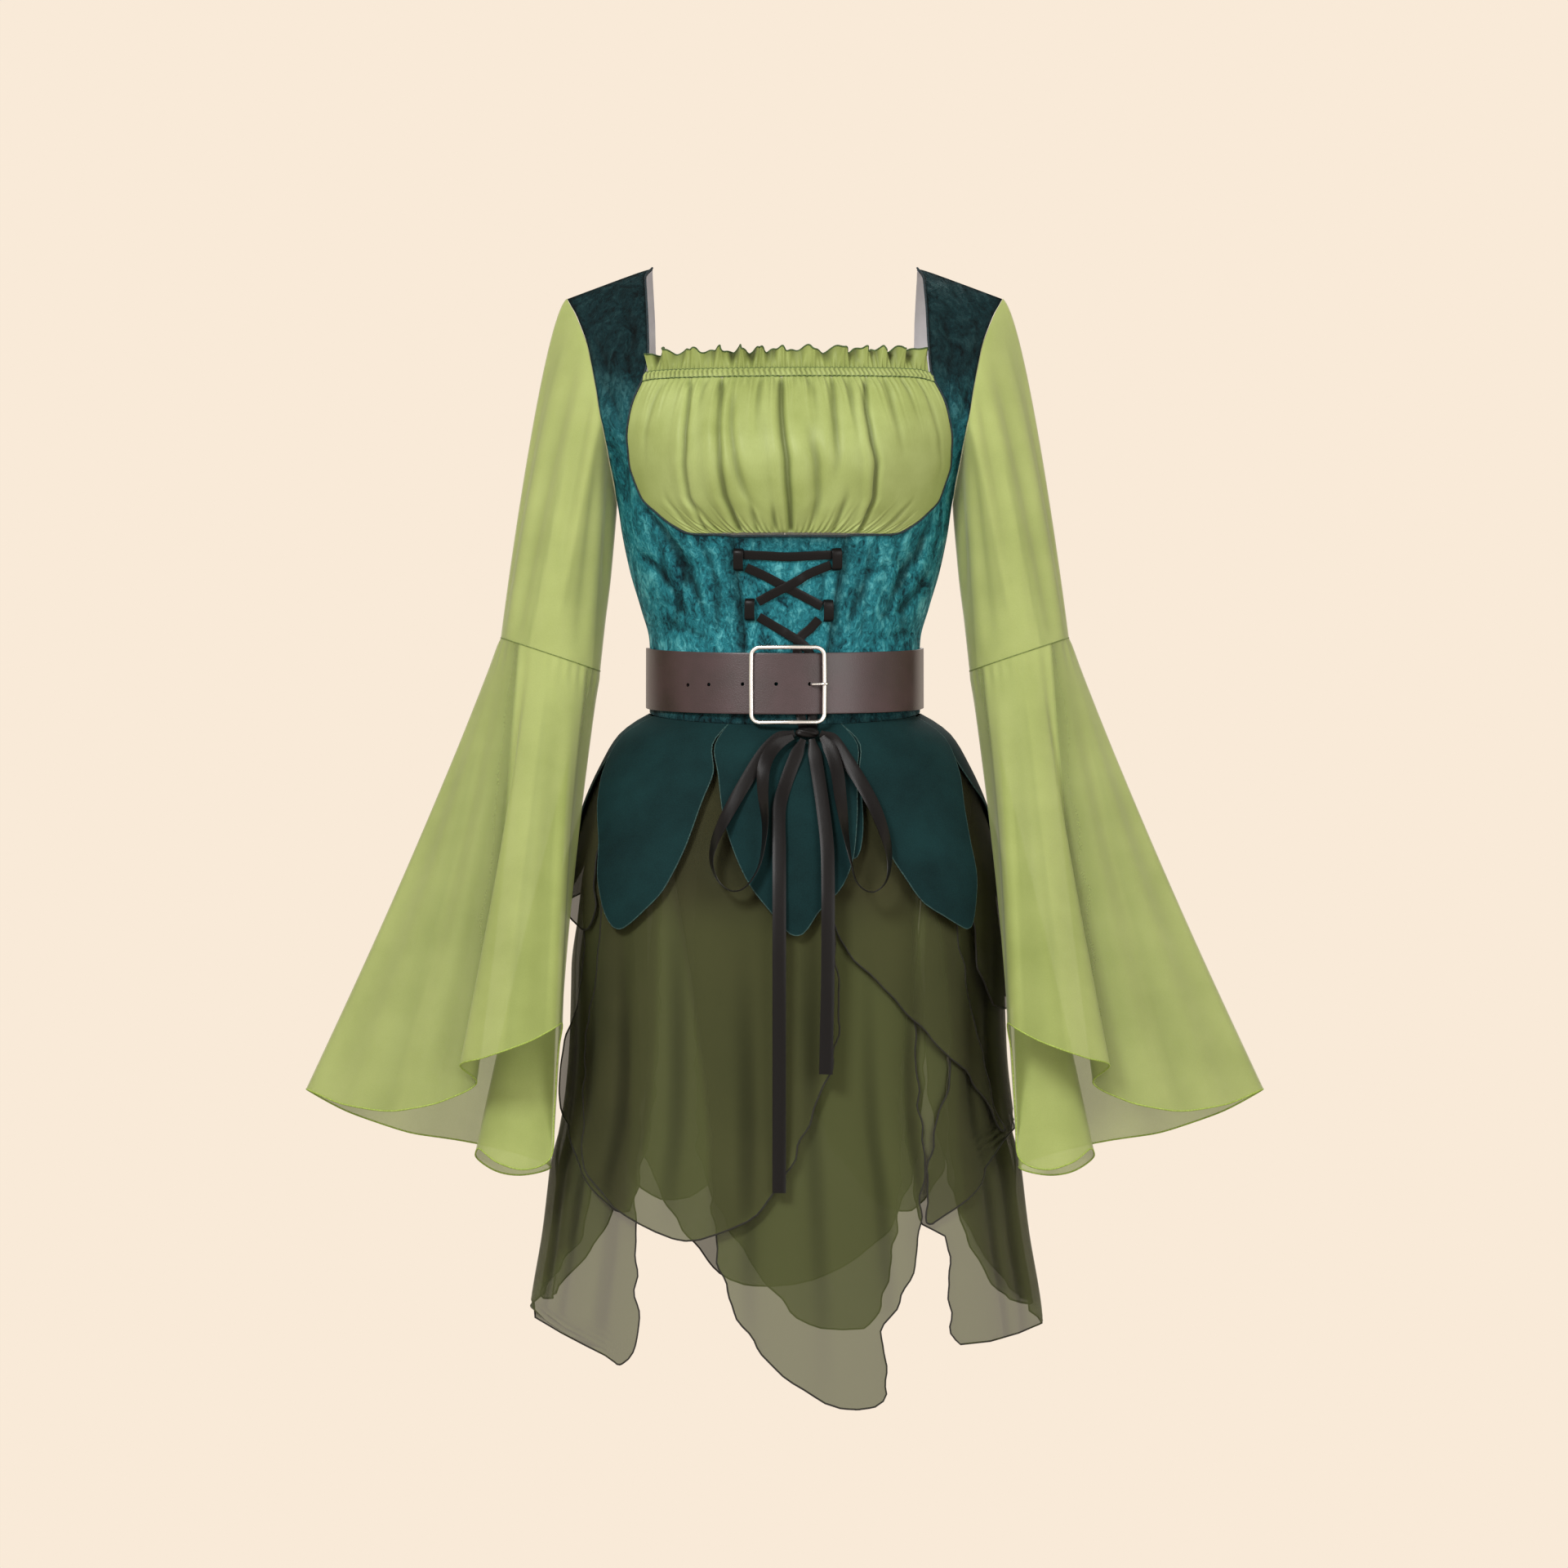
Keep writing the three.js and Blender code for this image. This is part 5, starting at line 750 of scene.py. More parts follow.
def green_satin(name, dark, light):
    """Polyester satin, woven so that long threads float on its face: smooth, with a soft gloss
    that follows the folds and a faint thread line."""
    material, tree, shader, place = new_material(name, {
        "Roughness": 0.5, "Sheen Weight": 0.15, "Sheen Roughness": 0.4,
        "Specular IOR Level": 0.25,
    })
    threads = add_node(tree, "ShaderNodeMapping", {"Vector": place}, {"Scale": (1400, 1400, 140)})
    grain = add_node(tree, "ShaderNodeTexNoise", {"Vector": threads.outputs[0]},
                     {"Scale": 1, "Detail": 2})
    cloud = add_node(tree, "ShaderNodeTexNoise", {"Vector": place}, {"Scale": 22, "Detail": 3})
    mixed = add_node(tree, "ShaderNodeMath", {0: grain.outputs[0], 2: cloud.outputs[0]}, {1: 0.25},
                     operation="MULTIPLY_ADD")
    shade = add_node(tree, "ShaderNodeValToRGB", {"Fac": mixed.outputs[0]})
    shade.color_ramp.elements[0].position = 0.35
    shade.color_ramp.elements[0].color = linear(dark)
    shade.color_ramp.elements[1].position = 0.85
    shade.color_ramp.elements[1].color = linear(light)
    # Painted shade: the colour is darkened in the folds by the cloth's shade attribute.
    fold = add_node(tree, "ShaderNodeAttribute", attribute_name="painted_shade")
    shaded = add_node(tree, "ShaderNodeVectorMath", {0: shade.outputs["Color"]}, operation="SCALE")
    tree.links.new(fold.outputs["Fac"], shaded.inputs["Scale"])
    tree.links.new(shaded.outputs[0], shader.inputs["Base Color"])
    bump = add_node(tree, "ShaderNodeBump", {"Height": grain.outputs[0]},
                    {"Strength": 0.2, "Distance": 0.0003})
    tree.links.new(bump.outputs[0], shader.inputs["Normal"])
    return material


BUST_SATIN = green_satin("leaf_green_satin", "929F58", "A9B771")


def gathers(across, down, count, turn):
    """Fine gathers beside a seam: a cosine per gather whose crests wander, drawn out further
    from the seam in some places than in others by a slower sine."""
    wave = np.cos(2 * np.pi * count * across + 2.2 * np.sin(9 * across + turn))
    reach = 0.13 + 0.07 * np.sin(2 * np.pi * 0.37 * count * across + turn)
    return wave * bell(down, reach)


bust_angle, bust_level = between_edges(
    bust_edge(-1), bust_edge(1), CASING_FOOT, UNDERBUST, BUST_COLUMNS)
down = np.linspace(0, 1, len(bust_angle))[:, None]
across = np.linspace(0, 1, BUST_COLUMNS)[None, :]
edge_fade = np.sqrt(np.clip(np.sin(np.pi * across), 0, 1))
bust_relief = GATHER_DEPTH * gathers(across, down, TOP_GATHERS, 0.4)
bust_relief = bust_relief + GATHER_DEPTH * gathers(across, 1 - down, FOOT_GATHERS, 1.9)
for top, middle, foot, start, end, width, depth in BUST_FOLDS:
    slope, bend = 4 * middle - 3 * top - foot, 2 * top + 2 * foot - 4 * middle
    beside = (across - (top + slope * down + bend * down ** 2)) * BUST_WIDTH
    fade = rise_and_fall(down, start, start + 0.2, end - 0.3, end)
    bust_relief = bust_relief - depth * fade * bell(beside, width)
    bust_relief = bust_relief + 0.4 * depth * fade * bell(beside + 2.3 * width, 1.5 * width)
seam_fade = np.minimum(1, 0.35 + 0.65 * np.minimum(down, 1 - down) / 0.06)
bust_relief = bust_relief * edge_fade * seam_fade
bust_lift = BUST_FULLNESS * np.sin(np.pi * down) * edge_fade + bust_relief
bust_sheets = torso_sheets(bust_angle, bust_level, bust_lift, SATIN_WALL)
# Painted shade in the bust's folds and gathers.
bust = wall_object("satin_bust", *bust_sheets, (BUST_SATIN,),
                   painted_shade=trough_shade(bust_relief, 9, 3.0, 0.55))
declare_piece(bust, "bust_panel")
declare_cloth(bust_sheets[0])


# Casing: a band of the same satin, 9 mm deep, shirred over elastic above the bust panel into
# about 60 small puckers, with a row of darker stitches along either edge.
CASING_COLUMNS = 560
CASING_PUCKERS = 62
casing_angle, casing_level = between_edges(
    bust_edge(-1), bust_edge(1), CASING_TOP, CASING_FOOT, CASING_COLUMNS)
down = np.linspace(0, 1, len(casing_angle))[:, None]
across = np.linspace(0, 1, CASING_COLUMNS)[None, :]
pucker = 0.5 - 0.5 * np.cos(2 * np.pi * CASING_PUCKERS * across + 2.2 * np.sin(9 * across)
                            + 0.9 * np.sin(6 * down))
casing_relief = (1.35 + 0.3 * np.sin(61 * across)) * pucker * (0.7 + 0.3 * np.sin(np.pi * down))
casing_lift = 0.35 + casing_relief + 0.9 * np.sin(np.pi * down)
casing_sheets = torso_sheets(casing_angle, casing_level, casing_lift, SATIN_WALL,
                             under=np.zeros_like(casing_lift))
# Painted shade between the casing's puckers.
casing = wall_object("satin_casing", *casing_sheets, (BUST_SATIN,),
                     painted_shade=trough_shade(casing_relief, 5, 0.8, 0.5))
declare_piece(casing, "neck_casing")


# Ruffle: a strip of the same satin that stands above the casing in a dozen loose waves, wider and
# narrower, and is closed along the top with an overlocked edge in dark green thread.
RUFFLE_COLUMNS = 560
RUFFLE_ROWS = 16
RUFFLE_WALL = 0.7
RUFFLE_WAVES, RUFFLE_REACH, RUFFLE_HEIGHT = 12.5, 8.0, 17.2
RUFFLE_THREAD = stitching_thread("green_overlock_thread", "2E4520", "4A6630")
# A darker copy of the bust satin: painted shade over the whole ruffle.
SHADED_RUFFLE_SATIN = green_satin("ruffle_satin_painted_shade", "7E8B46", "99A65E")
edge_left, edge_right = bust_edge(-1), bust_edge(1)
across = 0.012 + 0.976 * np.linspace(0, 1, RUFFLE_COLUMNS)[None, :]
rise = np.linspace(1, 0, RUFFLE_ROWS)[:, None]
phase = 2 * np.pi * RUFFLE_WAVES * across + 1.5 * np.sin(2 * np.pi * 2.3 * across + 0.8)
uneven = 0.78 + 0.22 * np.sin(2 * np.pi * 3.4 * across + 0.6)
swing = (0.7 * np.sin(phase + 1.2) + 0.12 * np.sin(2.3 * phase)) * uneven * rise ** 1.6 / 100
angle = (edge_left[0][CASING_TOP] * (1 - across - swing)
         + edge_right[0][CASING_TOP] * (across + swing))
level = edge_left[1][CASING_TOP] * (1 - across) + edge_right[1][CASING_TOP] * across
wave = (RUFFLE_REACH * np.sin(phase) * uneven * rise ** 1.25
        + 1.1 * np.sin(3.7 * phase + 0.5) * rise * (1.2 - 0.6 * rise)
        + 0.8 * np.cos(2 * np.pi * CASING_PUCKERS * across) * (1 - rise) ** 2)
height = (RUFFLE_HEIGHT + 3.0 * np.sin(phase + 0.9) * uneven + 1.2 * np.sin(2.3 * phase)) * rise
outward = np.stack([np.sin(np.radians(angle)), -np.cos(np.radians(angle)), 0 * angle], -1)
foot = torso_point(angle, level)
ruffle_outer = foot + outward * (wave - 2 * rise - 0.2)[..., None]
ruffle_outer[..., 2] += 0.34 + height
ruffle_inner = ruffle_outer - outward * RUFFLE_WALL
# Painted shade in the hollows of the ruffle's waves.
ruffle = wall_object("satin_ruffle", ruffle_outer, ruffle_inner, (SHADED_RUFFLE_SATIN,),
                     painted_shade=trough_shade(wave, 16, 4.0, 0.72))
declare_piece(ruffle, "neck_ruffle")
ruffle_edge = edge_thread("ruffle_overlock", (ruffle_outer[0] + ruffle_inner[0]) / 2,
                          outward[0], 0.8, RUFFLE_THREAD)
declare_cloth(ruffle_outer)
for shirring_name, row in (("upper", 0), ("lower", -1)):
    out = unit(np.cross((0.0, 0.0, -1.0), unit(np.gradient(casing_sheets[0][row], axis=0))))
    edge_thread(f"shirring_{shirring_name}", casing_sheets[0][row] - out * 0.25,
                                out, 0.45, RUFFLE_THREAD)
declare_cloth(casing_sheets[0])


# Sleeves: light chiffon, nearly opaque where it lies double. The upper sleeve is set into the
# armhole and hangs smooth to a tilted seam at the elbow, with a few long soft folds.
SLEEVE_WALL = 0.8
ARMHOLE_CENTER = np.array((180.0, 0, -110))
ELBOW = {"center": (214.0, -25.0, -343.0), "half_width": 45.4, "half_depth": 40.0, "tilt": 15.2}
SLEEVE_COLUMNS = 24
FINER_COLUMNS = 5
SLEEVE_ROWS = 70
ARMHOLE_GAP, ELBOW_HALF_GAP = 0.34, 0.17
PULL_UNDER, PULL_OVER, PULL_ELBOW = 60, 78, 95
# Folds of the upper sleeve: angle round the arm at the top and foot, start, end, width, depth
UPPER_FOLDS = (
    (62, 48, 0.15, 1.1, 9, 3.4), (95, 84, 0.05, 0.8, 10, 2.8), (128, 122, 0.2, 1.0, 9, 2.6),
    (22, 14, 0.3, 1.1, 10, 2.2), (150, 168, 0.1, 0.7, 8, 2.4), (215, 205, 0.1, 0.9, 10, 2.8),
    (258, 268, 0.2, 1.1, 11, 3.0), (310, 300, 0.1, 0.9, 10, 2.4), (78, 66, 0.6, 1.1, 7, 2.2),
)
# Shade beside folds: angle at the top and foot, start, end, width with its side, strength
UPPER_SHADOWS = ((122, 92, -0.2, 0.85, 26, 0.34), (84, 66, 0.35, 1.4, -16, 0.3),
                 (38, 30, 0.1, 1.4, -22, 0.2), (138, 150, 0.3, 1.4, 20, 0.42))


def sleeve_chiffon():
    """Georgette chiffon in polyester: crimped threads make it matt, and it lets some light
    through, so a single layer is paler than a double one; painted shade makes folds a deeper
    green."""
    material, tree, shader, place = new_material("leaf_green_chiffon", {
        "Roughness": 0.65, "Sheen Weight": 0.3, "Sheen Roughness": 0.5,
        "Specular IOR Level": 0.25, "Alpha": 0.55,
    })
    weave = add_node(tree, "ShaderNodeTexNoise", {"Vector": place}, {"Scale": 1100, "Detail": 2})
    cloud = add_node(tree, "ShaderNodeTexNoise", {"Vector": place}, {"Scale": 16, "Detail": 3})
    mixed = add_node(tree, "ShaderNodeMath", {0: weave.outputs[0], 2: cloud.outputs[0]}, {1: 0.3},
                     operation="MULTIPLY_ADD")
    shade = add_node(tree, "ShaderNodeValToRGB", {"Fac": mixed.outputs[0]})
    shade.color_ramp.elements[0].position = 0.4
    shade.color_ramp.elements[0].color = linear("ACBB68")
    shade.color_ramp.elements[1].position = 0.9
    shade.color_ramp.elements[1].color = linear("C1CF7C")
    # Painted shade: in folds and beside overlapping fold edges the colour is blended towards the
    # deep green 5F7029.
    fold = add_node(tree, "ShaderNodeAttribute", attribute_name="painted_shade")
    shaded = add_node(tree, "ShaderNodeMix", {"Factor": fold.outputs["Fac"],
                                              7: shade.outputs["Color"]}, data_type="RGBA")
    shaded.inputs[6].default_value = linear("5F7029")
    tree.links.new(shaded.outputs[2], shader.inputs["Base Color"])
    bump = add_node(tree, "ShaderNodeBump", {"Height": weave.outputs[0]},
                    {"Strength": 0.25, "Distance": 0.0003})
    tree.links.new(bump.outputs[0], shader.inputs["Normal"])
    return material


CHIFFON_GREEN = sleeve_chiffon()
SLEEVE_THREAD = stitching_thread("yellow_green_hem_thread", "8DA53F", "ACC45A")
SEAM_THREAD = stitching_thread("sleeve_seam_thread", "5F6F36", "7C8C48")


def elbow_point(angle):
    """Tilted ellipse of the elbow seam, round the arm from its outer side (angle 0)."""
    turn = np.radians(angle)
    center = ELBOW["center"]
    return np.stack([center[0] + ELBOW["half_width"] * np.cos(turn),
                     center[1] - ELBOW["half_depth"] * np.sin(turn),
                     center[2] + ELBOW["tilt"] * np.cos(turn)], -1)


def sleeve_heads():
    """Start points and ways out of the sleeve at the armhole's 24 stations, from the underarm
    up the front and down the back."""
    column = np.arange(SLEEVE_COLUMNS)
    station = np.abs(column - UNDERARM)
    front = column <= UNDERARM
    angle = np.where(front, seam_angle[station], 180 - seam_angle[station])
    level = seam_level[station]
    point, normal = torso_point(angle, level), torso_normal(angle, level)
    around = column / SLEEVE_COLUMNS * 2 * np.pi
    over = 1 - ((1 + np.cos(around)) / 2) ** 1.5
    outward = unit(np.stack([0.04 + 0.76 * over, -0.35 * np.sin(around), -1 + 0.42 * over], -1))
    border = unit(np.roll(point, -1, axis=0) - np.roll(point, 1, axis=0))
    away = unit(np.cross(normal, border))
    away = away * np.sign(np.sum(away * (ARMHOLE_CENTER - point), -1, keepdims=True))
    leaving = unit(outward - border * np.sum(outward * border, -1, keepdims=True))
    bend = np.maximum(0, np.arctan2(np.sum(leaving * normal, -1), np.sum(leaving * away, -1)))
    start = (point + away * (ARMHOLE_GAP * np.cos(bend / 2))[:, None]
             + normal * (1.4 * ARMHOLE_GAP * np.sin(bend / 2))[:, None])
    return start, outward


def cubic_between(start, leaving, arriving, end, t):
    """Cubic from start to end that leaves and arrives along two tangents, at shares t."""
    return (start * (1 - 3 * t ** 2 + 2 * t ** 3) + leaving * (t - 2 * t ** 2 + t ** 3)
            + arriving * (t ** 3 - t ** 2) + end * (3 * t ** 2 - 2 * t ** 3))


def finer_ring(rings, per_column):
    """Closed rings of points with more columns: a Catmull-Rom cubic through each four."""
    before, here, after, beyond = (np.roll(rings, shift, axis=-2)[..., None, :]
                                   for shift in (1, 0, -1, -2))
    t = (np.arange(per_column) / per_column)[:, None]
    curve = cubic_between(here, (after - before) / 2, (beyond - here) / 2, after, t)
    return curve.reshape(*rings.shape[:-2], -1, 3)


def ring_normals(sheet):
    """Outward normals of rings of points: the cross product of the ways round and up."""
    around = np.roll(sheet, -1, axis=1) - np.roll(sheet, 1, axis=1)
    upward = -np.gradient(sheet, axis=0)
    return unit(np.cross(around, upward))


def ring_folds(angle, share, folds):
    """Soft troughs down a sleeve: each is a bell curve in degrees round the arm, with a lower
    ridge beside it."""
    relief = np.zeros(np.broadcast(angle, share).shape)
    for top, foot, start, end, width, depth in folds:
        gap = signed_angle(angle - (top + (foot - top) * share))
        fade = rise_and_fall(share, start - 0.15, start + 0.2, end - 0.25, end)
        relief -= depth * fade * bell(gap, width)
        relief += 0.5 * depth * fade * bell(gap - 1.9 * width, width)
    return relief


def fold_shadow(angle, share, lines):
    """Shade beside the edge of an overlapping fold: sharp at the edge and fading away from it by
    a falling exponential, on the side that its width's sign tells. 1 is open cloth."""
    kept = np.ones(np.broadcast(angle, share).shape)
    for top, foot, start, end, width, strength in lines:
        beside = signed_angle(angle - (top + (foot - top) * share)) / width
        fade = rise_and_fall(share, start, start + 0.15, end - 0.2, end)
        falling = smooth_step(beside, -0.12, 0.12) * np.exp(-np.maximum(beside, 0))
        kept = kept * (1 - strength * fade * falling)
    return kept


def sew_sleeve(name, node, outer, inner, side, painted_shade):
    """Makes a sleeve piece on its side; the left one is the right one's mirror image."""
    if side < 0:
        outer, inner = (sheet[:, ::-1] * (-1, 1, 1) for sheet in (outer, inner))
        painted_shade = painted_shade[:, ::-1]
    piece = wall_object(name, outer, inner, (CHIFFON_GREEN,), ring=True, painted_shade=painted_shade)
    declare_piece(piece, node)
    closed = np.concatenate([outer, outer[:, :1]], 1)
    declare_cloth(closed)


head_start, head_way = sleeve_heads()
elbow_angle = 180 - np.arange(SLEEVE_COLUMNS) * 360 / SLEEVE_COLUMNS
share = np.linspace(0, 1, SLEEVE_ROWS)[:, None, None]
elbow_end = elbow_point(elbow_angle)
elbow_end[:, 2] += ELBOW_HALF_GAP
shoulder = (1 + np.cos(np.radians(elbow_angle))) / 2
pull = (PULL_UNDER * (1 - shoulder) + PULL_OVER * shoulder)[None, :, None]
down_way = unit(np.array((0.1, -0.08, -1.0)))
blend = share ** 2 * (3 - 2 * share)
sleeve_rings = (head_start * (1 - blend) + elbow_end * blend
                + head_way * pull * share * (1 - share) ** 2
                - down_way * PULL_ELBOW * share ** 2 * (1 - share))
sleeve_rings = finer_ring(sleeve_rings, FINER_COLUMNS)
fine_count = SLEEVE_COLUMNS * FINER_COLUMNS
fine_angle = 180 - np.arange(fine_count) * 360 / fine_count
upper_normals = ring_normals(sleeve_rings)
fold_fade = np.sin(np.pi * share[..., 0]) ** 0.5
upper_lift = ring_folds(fine_angle[None, :], share[..., 0], UPPER_FOLDS) * fold_fade
upper_outer = sleeve_rings + upper_normals * upper_lift[..., None]
upper_inner = upper_outer - upper_normals * SLEEVE_WALL
# Painted shade in the upper sleeve's folds and beside its overlapping folds.
upper_painted_shade = (trough_shade(upper_lift, 9, 3.0, 0.12, ring=True)
                * fold_shadow(fine_angle[None, :], share[..., 0], UPPER_SHADOWS))
for side, side_name in ((-1, "left"), (1, "right")):
    sew_sleeve(f"chiffon_upper_{side_name}", f"sleeve_upper_{side_name}",
               upper_outer, upper_inner, side, upper_painted_shade)


# Bell flounces: a circle of the same chiffon from the elbow seam, so it hangs in deep folds that
# start at nothing and end in a waved, narrowly hemmed edge that dips towards the body.
BELL_HEM = (
    # angle round the arm, x, y, z of the hem
    (0, 434, -45, -739), (16, 398, -80, -750), (34, 346, -102, -754), (50, 301, -108, -743),
    (62, 277, -101, -730), (74, 290, -130, -712), (86, 268, -156, -704), (100, 240, -168, -694),
    (118, 210, -158, -681), (134, 199, -132, -675), (148, 203, -112, -705), (162, 207, -100, -760),
    (176, 211, -98, -798), (187, 233, -106, -807), (196, 256, -99, -802), (205, 276, -81, -790),
    (213, 280, -67, -798), (222, 262, -57, -812), (232, 240, -54, -816), (242, 214, -47, -811),
    (252, 218, -31, -807), (265, 240, -8, -801), (285, 278, 2, -792), (315, 346, 8, -781),
    (340, 398, -12, -762),
)
BELL_ROWS = 64
BELL_PER_SPAN = 8
# Soft folds between the deep ones: angle at the top and foot, start, end, width, depth
BELL_FOLDS = (
    (8, 10, 0.1, 1.5, 7, 4.0), (30, 27, 0.05, 1.5, 7, 5.0), (48, 45, 0.0, 1.5, 5, 3.6),
    (108, 112, 0.05, 1.5, 8, 3.6), (-18, -14, 0.15, 1.5, 7, 4.0), (-42, -46, 0.1, 1.5, 8, 4.4),
    (-72, -74, 0.1, 1.5, 8, 3.6), (200, 198, 0.2, 1.5, 6, 2.4), (232, 236, 0.2, 1.5, 6, 2.4),
)
BELL_SHADOWS = (
    (54, 66, -0.15, 1.5, -22, 0.72), (140, 128, -0.2, 1.5, 22, 0.8), (92, 96, 0.05, 1.3, 14, 0.2),
    (24, 32, 0.15, 1.5, -16, 0.2), (112, 118, 0.3, 1.5, -12, 0.2),
)
ELBOW_PUCKERS = 26
BELL_HOLLOW = 5


def centripetal_ring(points, per_span):
    """Closed curve through points: cubics whose tangents are weighed by the square roots of the
    spans, so that tight folds don't loop."""
    before, here, after, beyond = (np.roll(points, shift, axis=0) for shift in (1, 0, -1, -2))
    last, span, following = (np.linalg.norm(way, axis=1, keepdims=True) ** 0.5
                             for way in (here - before, after - here, beyond - after))
    leaving = ((here - before) / last - (after - before) / (last + span)
               + (after - here) / span) * span
    arriving = ((after - here) / span - (beyond - here) / (span + following)
                + (beyond - after) / following) * span
    t = (np.arange(per_span) / per_span)[None, :, None]
    curve = cubic_between(here[:, None], leaving[:, None], arriving[:, None], after[:, None], t)
    return curve.reshape(-1, 3)


hem_table = np.array(BELL_HEM, float)
hem_line = centripetal_ring(hem_table[:, 1:], BELL_PER_SPAN)
hem_steps = np.append(hem_table[:, 0], 360)
hem_place = np.arange(len(hem_line)) / BELL_PER_SPAN
bell_angle = np.interp(hem_place, np.arange(len(hem_steps)), hem_steps)
hem_line, bell_angle = hem_line[::-1], bell_angle[::-1]
share = np.linspace(0, 1, BELL_ROWS)[:, None, None]
bell_start = elbow_point(bell_angle)
bell_start[:, 2] -= ELBOW_HALF_GAP
bell_way = np.stack([np.cos(np.radians(bell_angle)), -np.sin(np.radians(bell_angle)),
                     0 * bell_angle], -1)
bell_outer = (bell_start * (1 - share) + hem_line * share
              - bell_way * BELL_HOLLOW * np.sin(np.pi * share))
bell_normals = ring_normals(bell_outer)
bell_run = share[..., 0]
round_arm = bell_angle[None, :]
bell_lift = ring_folds(round_arm, bell_run, BELL_FOLDS) * smooth_step(bell_run, 0.0, 0.55)
pucker = np.cos(np.radians(round_arm) * ELBOW_PUCKERS + 2 * np.sin(np.radians(3 * round_arm)))
bell_lift = bell_lift + 0.7 * pucker * bell(bell_run, 0.05) * np.minimum(bell_run * 60, 1)
# Painted shade in the bell's folds and beside its overlapping folds.
bell_painted_shade = (trough_shade(bell_lift, 14, 5.0, 0.12, ring=True)
               * fold_shadow(round_arm, bell_run, BELL_SHADOWS))
bell_outer = bell_outer + bell_normals * bell_lift[..., None]
bell_normals = ring_normals(bell_outer)
bell_inner = bell_outer - bell_normals * SLEEVE_WALL
hem_path = (bell_outer[-1] + bell_inner[-1]) / 2
for side, side_name in ((-1, "left"), (1, "right")):
    turned_over = (side, 1, 1)
    hem = edge_thread(f"bell_hem_{side_name}", hem_path * turned_over,
                      bell_normals[-1] * turned_over, 0.75, SLEEVE_THREAD,
                      ring=True)
    seam = edge_thread(f"elbow_seam_{side_name}", elbow_point(bell_angle) * turned_over,
                       bell_way * turned_over, 0.5, SEAM_THREAD, ring=True)
    sew_sleeve(f"chiffon_bell_{side_name}", f"sleeve_bell_{side_name}",
               bell_outer, bell_inner, side, bell_painted_shade)


# Belt: one strap of dark brown leather, 55 mm wide and 2.6 mm thick, with five punched holes. It
# is folded round the buckle's right bar, goes round the back, passes under the buckle from the
# left and ends under its own right part. It rides over the lacing in front.
LEATHER = 2.6
BELT_HEIGHT = 55.5
BELT_START = 15.5
BELT_TURN = 392.7
BELT_HOLES = (-85, -66, -36.5, -7.5, 21.5)
BELT_HOLE_Z = -372
BELT_HOLE_RADIUS, BELT_HOLE_SIDES, PUNCH_LENGTH = 1.7, 24, 16
BELT_BEVEL = 0.55
BELT_CLEARANCE, OVER_LACING = 0.65, 3.4


def belt_leather():
    """Corrected-grain cowhide, drum dyed dark brown and glazed: fine pebbled grain, an even soft
    gloss, slightly paler where it has been handled."""
    material, tree, shader, place = new_material("brown_glazed_leather", {
        "Coat Weight": 0.15, "Coat Roughness": 0.3,
    })
    pebble = add_node(tree, "ShaderNodeTexVoronoi", {"Vector": place}, {"Scale": 900})
    cloud = add_node(tree, "ShaderNodeTexNoise", {"Vector": place}, {"Scale": 26, "Detail": 4})
    shade = add_node(tree, "ShaderNodeValToRGB", {"Fac": cloud.outputs[0]})
    shade.color_ramp.elements[0].position = 0.3
    shade.color_ramp.elements[0].color = linear("2C1C1F")
    shade.color_ramp.elements[1].position = 0.75
    shade.color_ramp.elements[1].color = linear("412A30")
    tree.links.new(shade.outputs["Color"], shader.inputs["Base Color"])
    bump = add_node(tree, "ShaderNodeBump", {"Height": pebble.outputs[0]},
                    {"Strength": 0.2, "Distance": 0.0004})
    tree.links.new(bump.outputs[0], shader.inputs["Normal"])
    rough = add_node(tree, "ShaderNodeMapRange", {"Value": cloud.outputs[0]},
                     {"To Min": 0.36, "To Max": 0.5})
    tree.links.new(rough.outputs[0], shader.inputs["Roughness"])
    return material


def belt_lift(angle):
    """Lift of the strap off the velvet: the clearance, more over the lacing in front, and one
    leather thickness and clearance more where it lies over its own tip."""
    angle = np.asarray(angle, float)
    flat = smooth_step(np.abs(signed_angle(angle)), 18, 54)
    lap = np.where(angle < 180, 1 - smooth_step(angle, 62, 82), 0)
    return BELT_CLEARANCE + OVER_LACING * (1 - flat) + (LEATHER + BELT_CLEARANCE) * lap


def belt_top(angle):
    """Level of the strap's upper edge: 7.5 mm lower in front, by the cosine of the angle."""
    return -336 - 7.5 * np.maximum(0, np.cos(np.radians(angle)))


def belt_face(angle, share, lift):
    """Point over the belt: straight from its upper to its lower edge, as stiff leather lies."""
    top = belt_top(angle)
    lift, share = np.asarray(lift)[..., None], np.asarray(share, float)[..., None]
    high, low = (torso_point(angle, level) + torso_normal(angle, level) * lift
                 for level in (top, top - BELT_HEIGHT))
    return high * (1 - share) + low * share


strap_angle = (BELT_START + np.linspace(0, BELT_TURN, 420))[None, :]
edge_in = BELT_BEVEL / BELT_HEIGHT
strap_share = np.concatenate([[0, edge_in / 3, edge_in, 0.03], np.linspace(0.08, 0.92, 13),
                              [0.97, 1 - edge_in, 1 - edge_in / 3, 1]])[:, None]
short_of_flat = np.maximum(BELT_BEVEL - np.minimum(strap_share, 1 - strap_share) * BELT_HEIGHT, 0)
rounding = BELT_BEVEL - np.sqrt(np.maximum(BELT_BEVEL ** 2 - short_of_flat ** 2, 0))
wrapped = signed_angle(strap_angle)
lifted = belt_lift(strap_angle)
belt_outer = belt_face(wrapped, strap_share, lifted + LEATHER - rounding)
belt_inner = belt_face(wrapped, strap_share, lifted + rounding)
strap = wall_object("leather_strap", belt_outer, belt_inner, (belt_leather(),))
hole_angle, hole_level = torso_spot(np.array(BELT_HOLES), float(BELT_HOLE_Z))
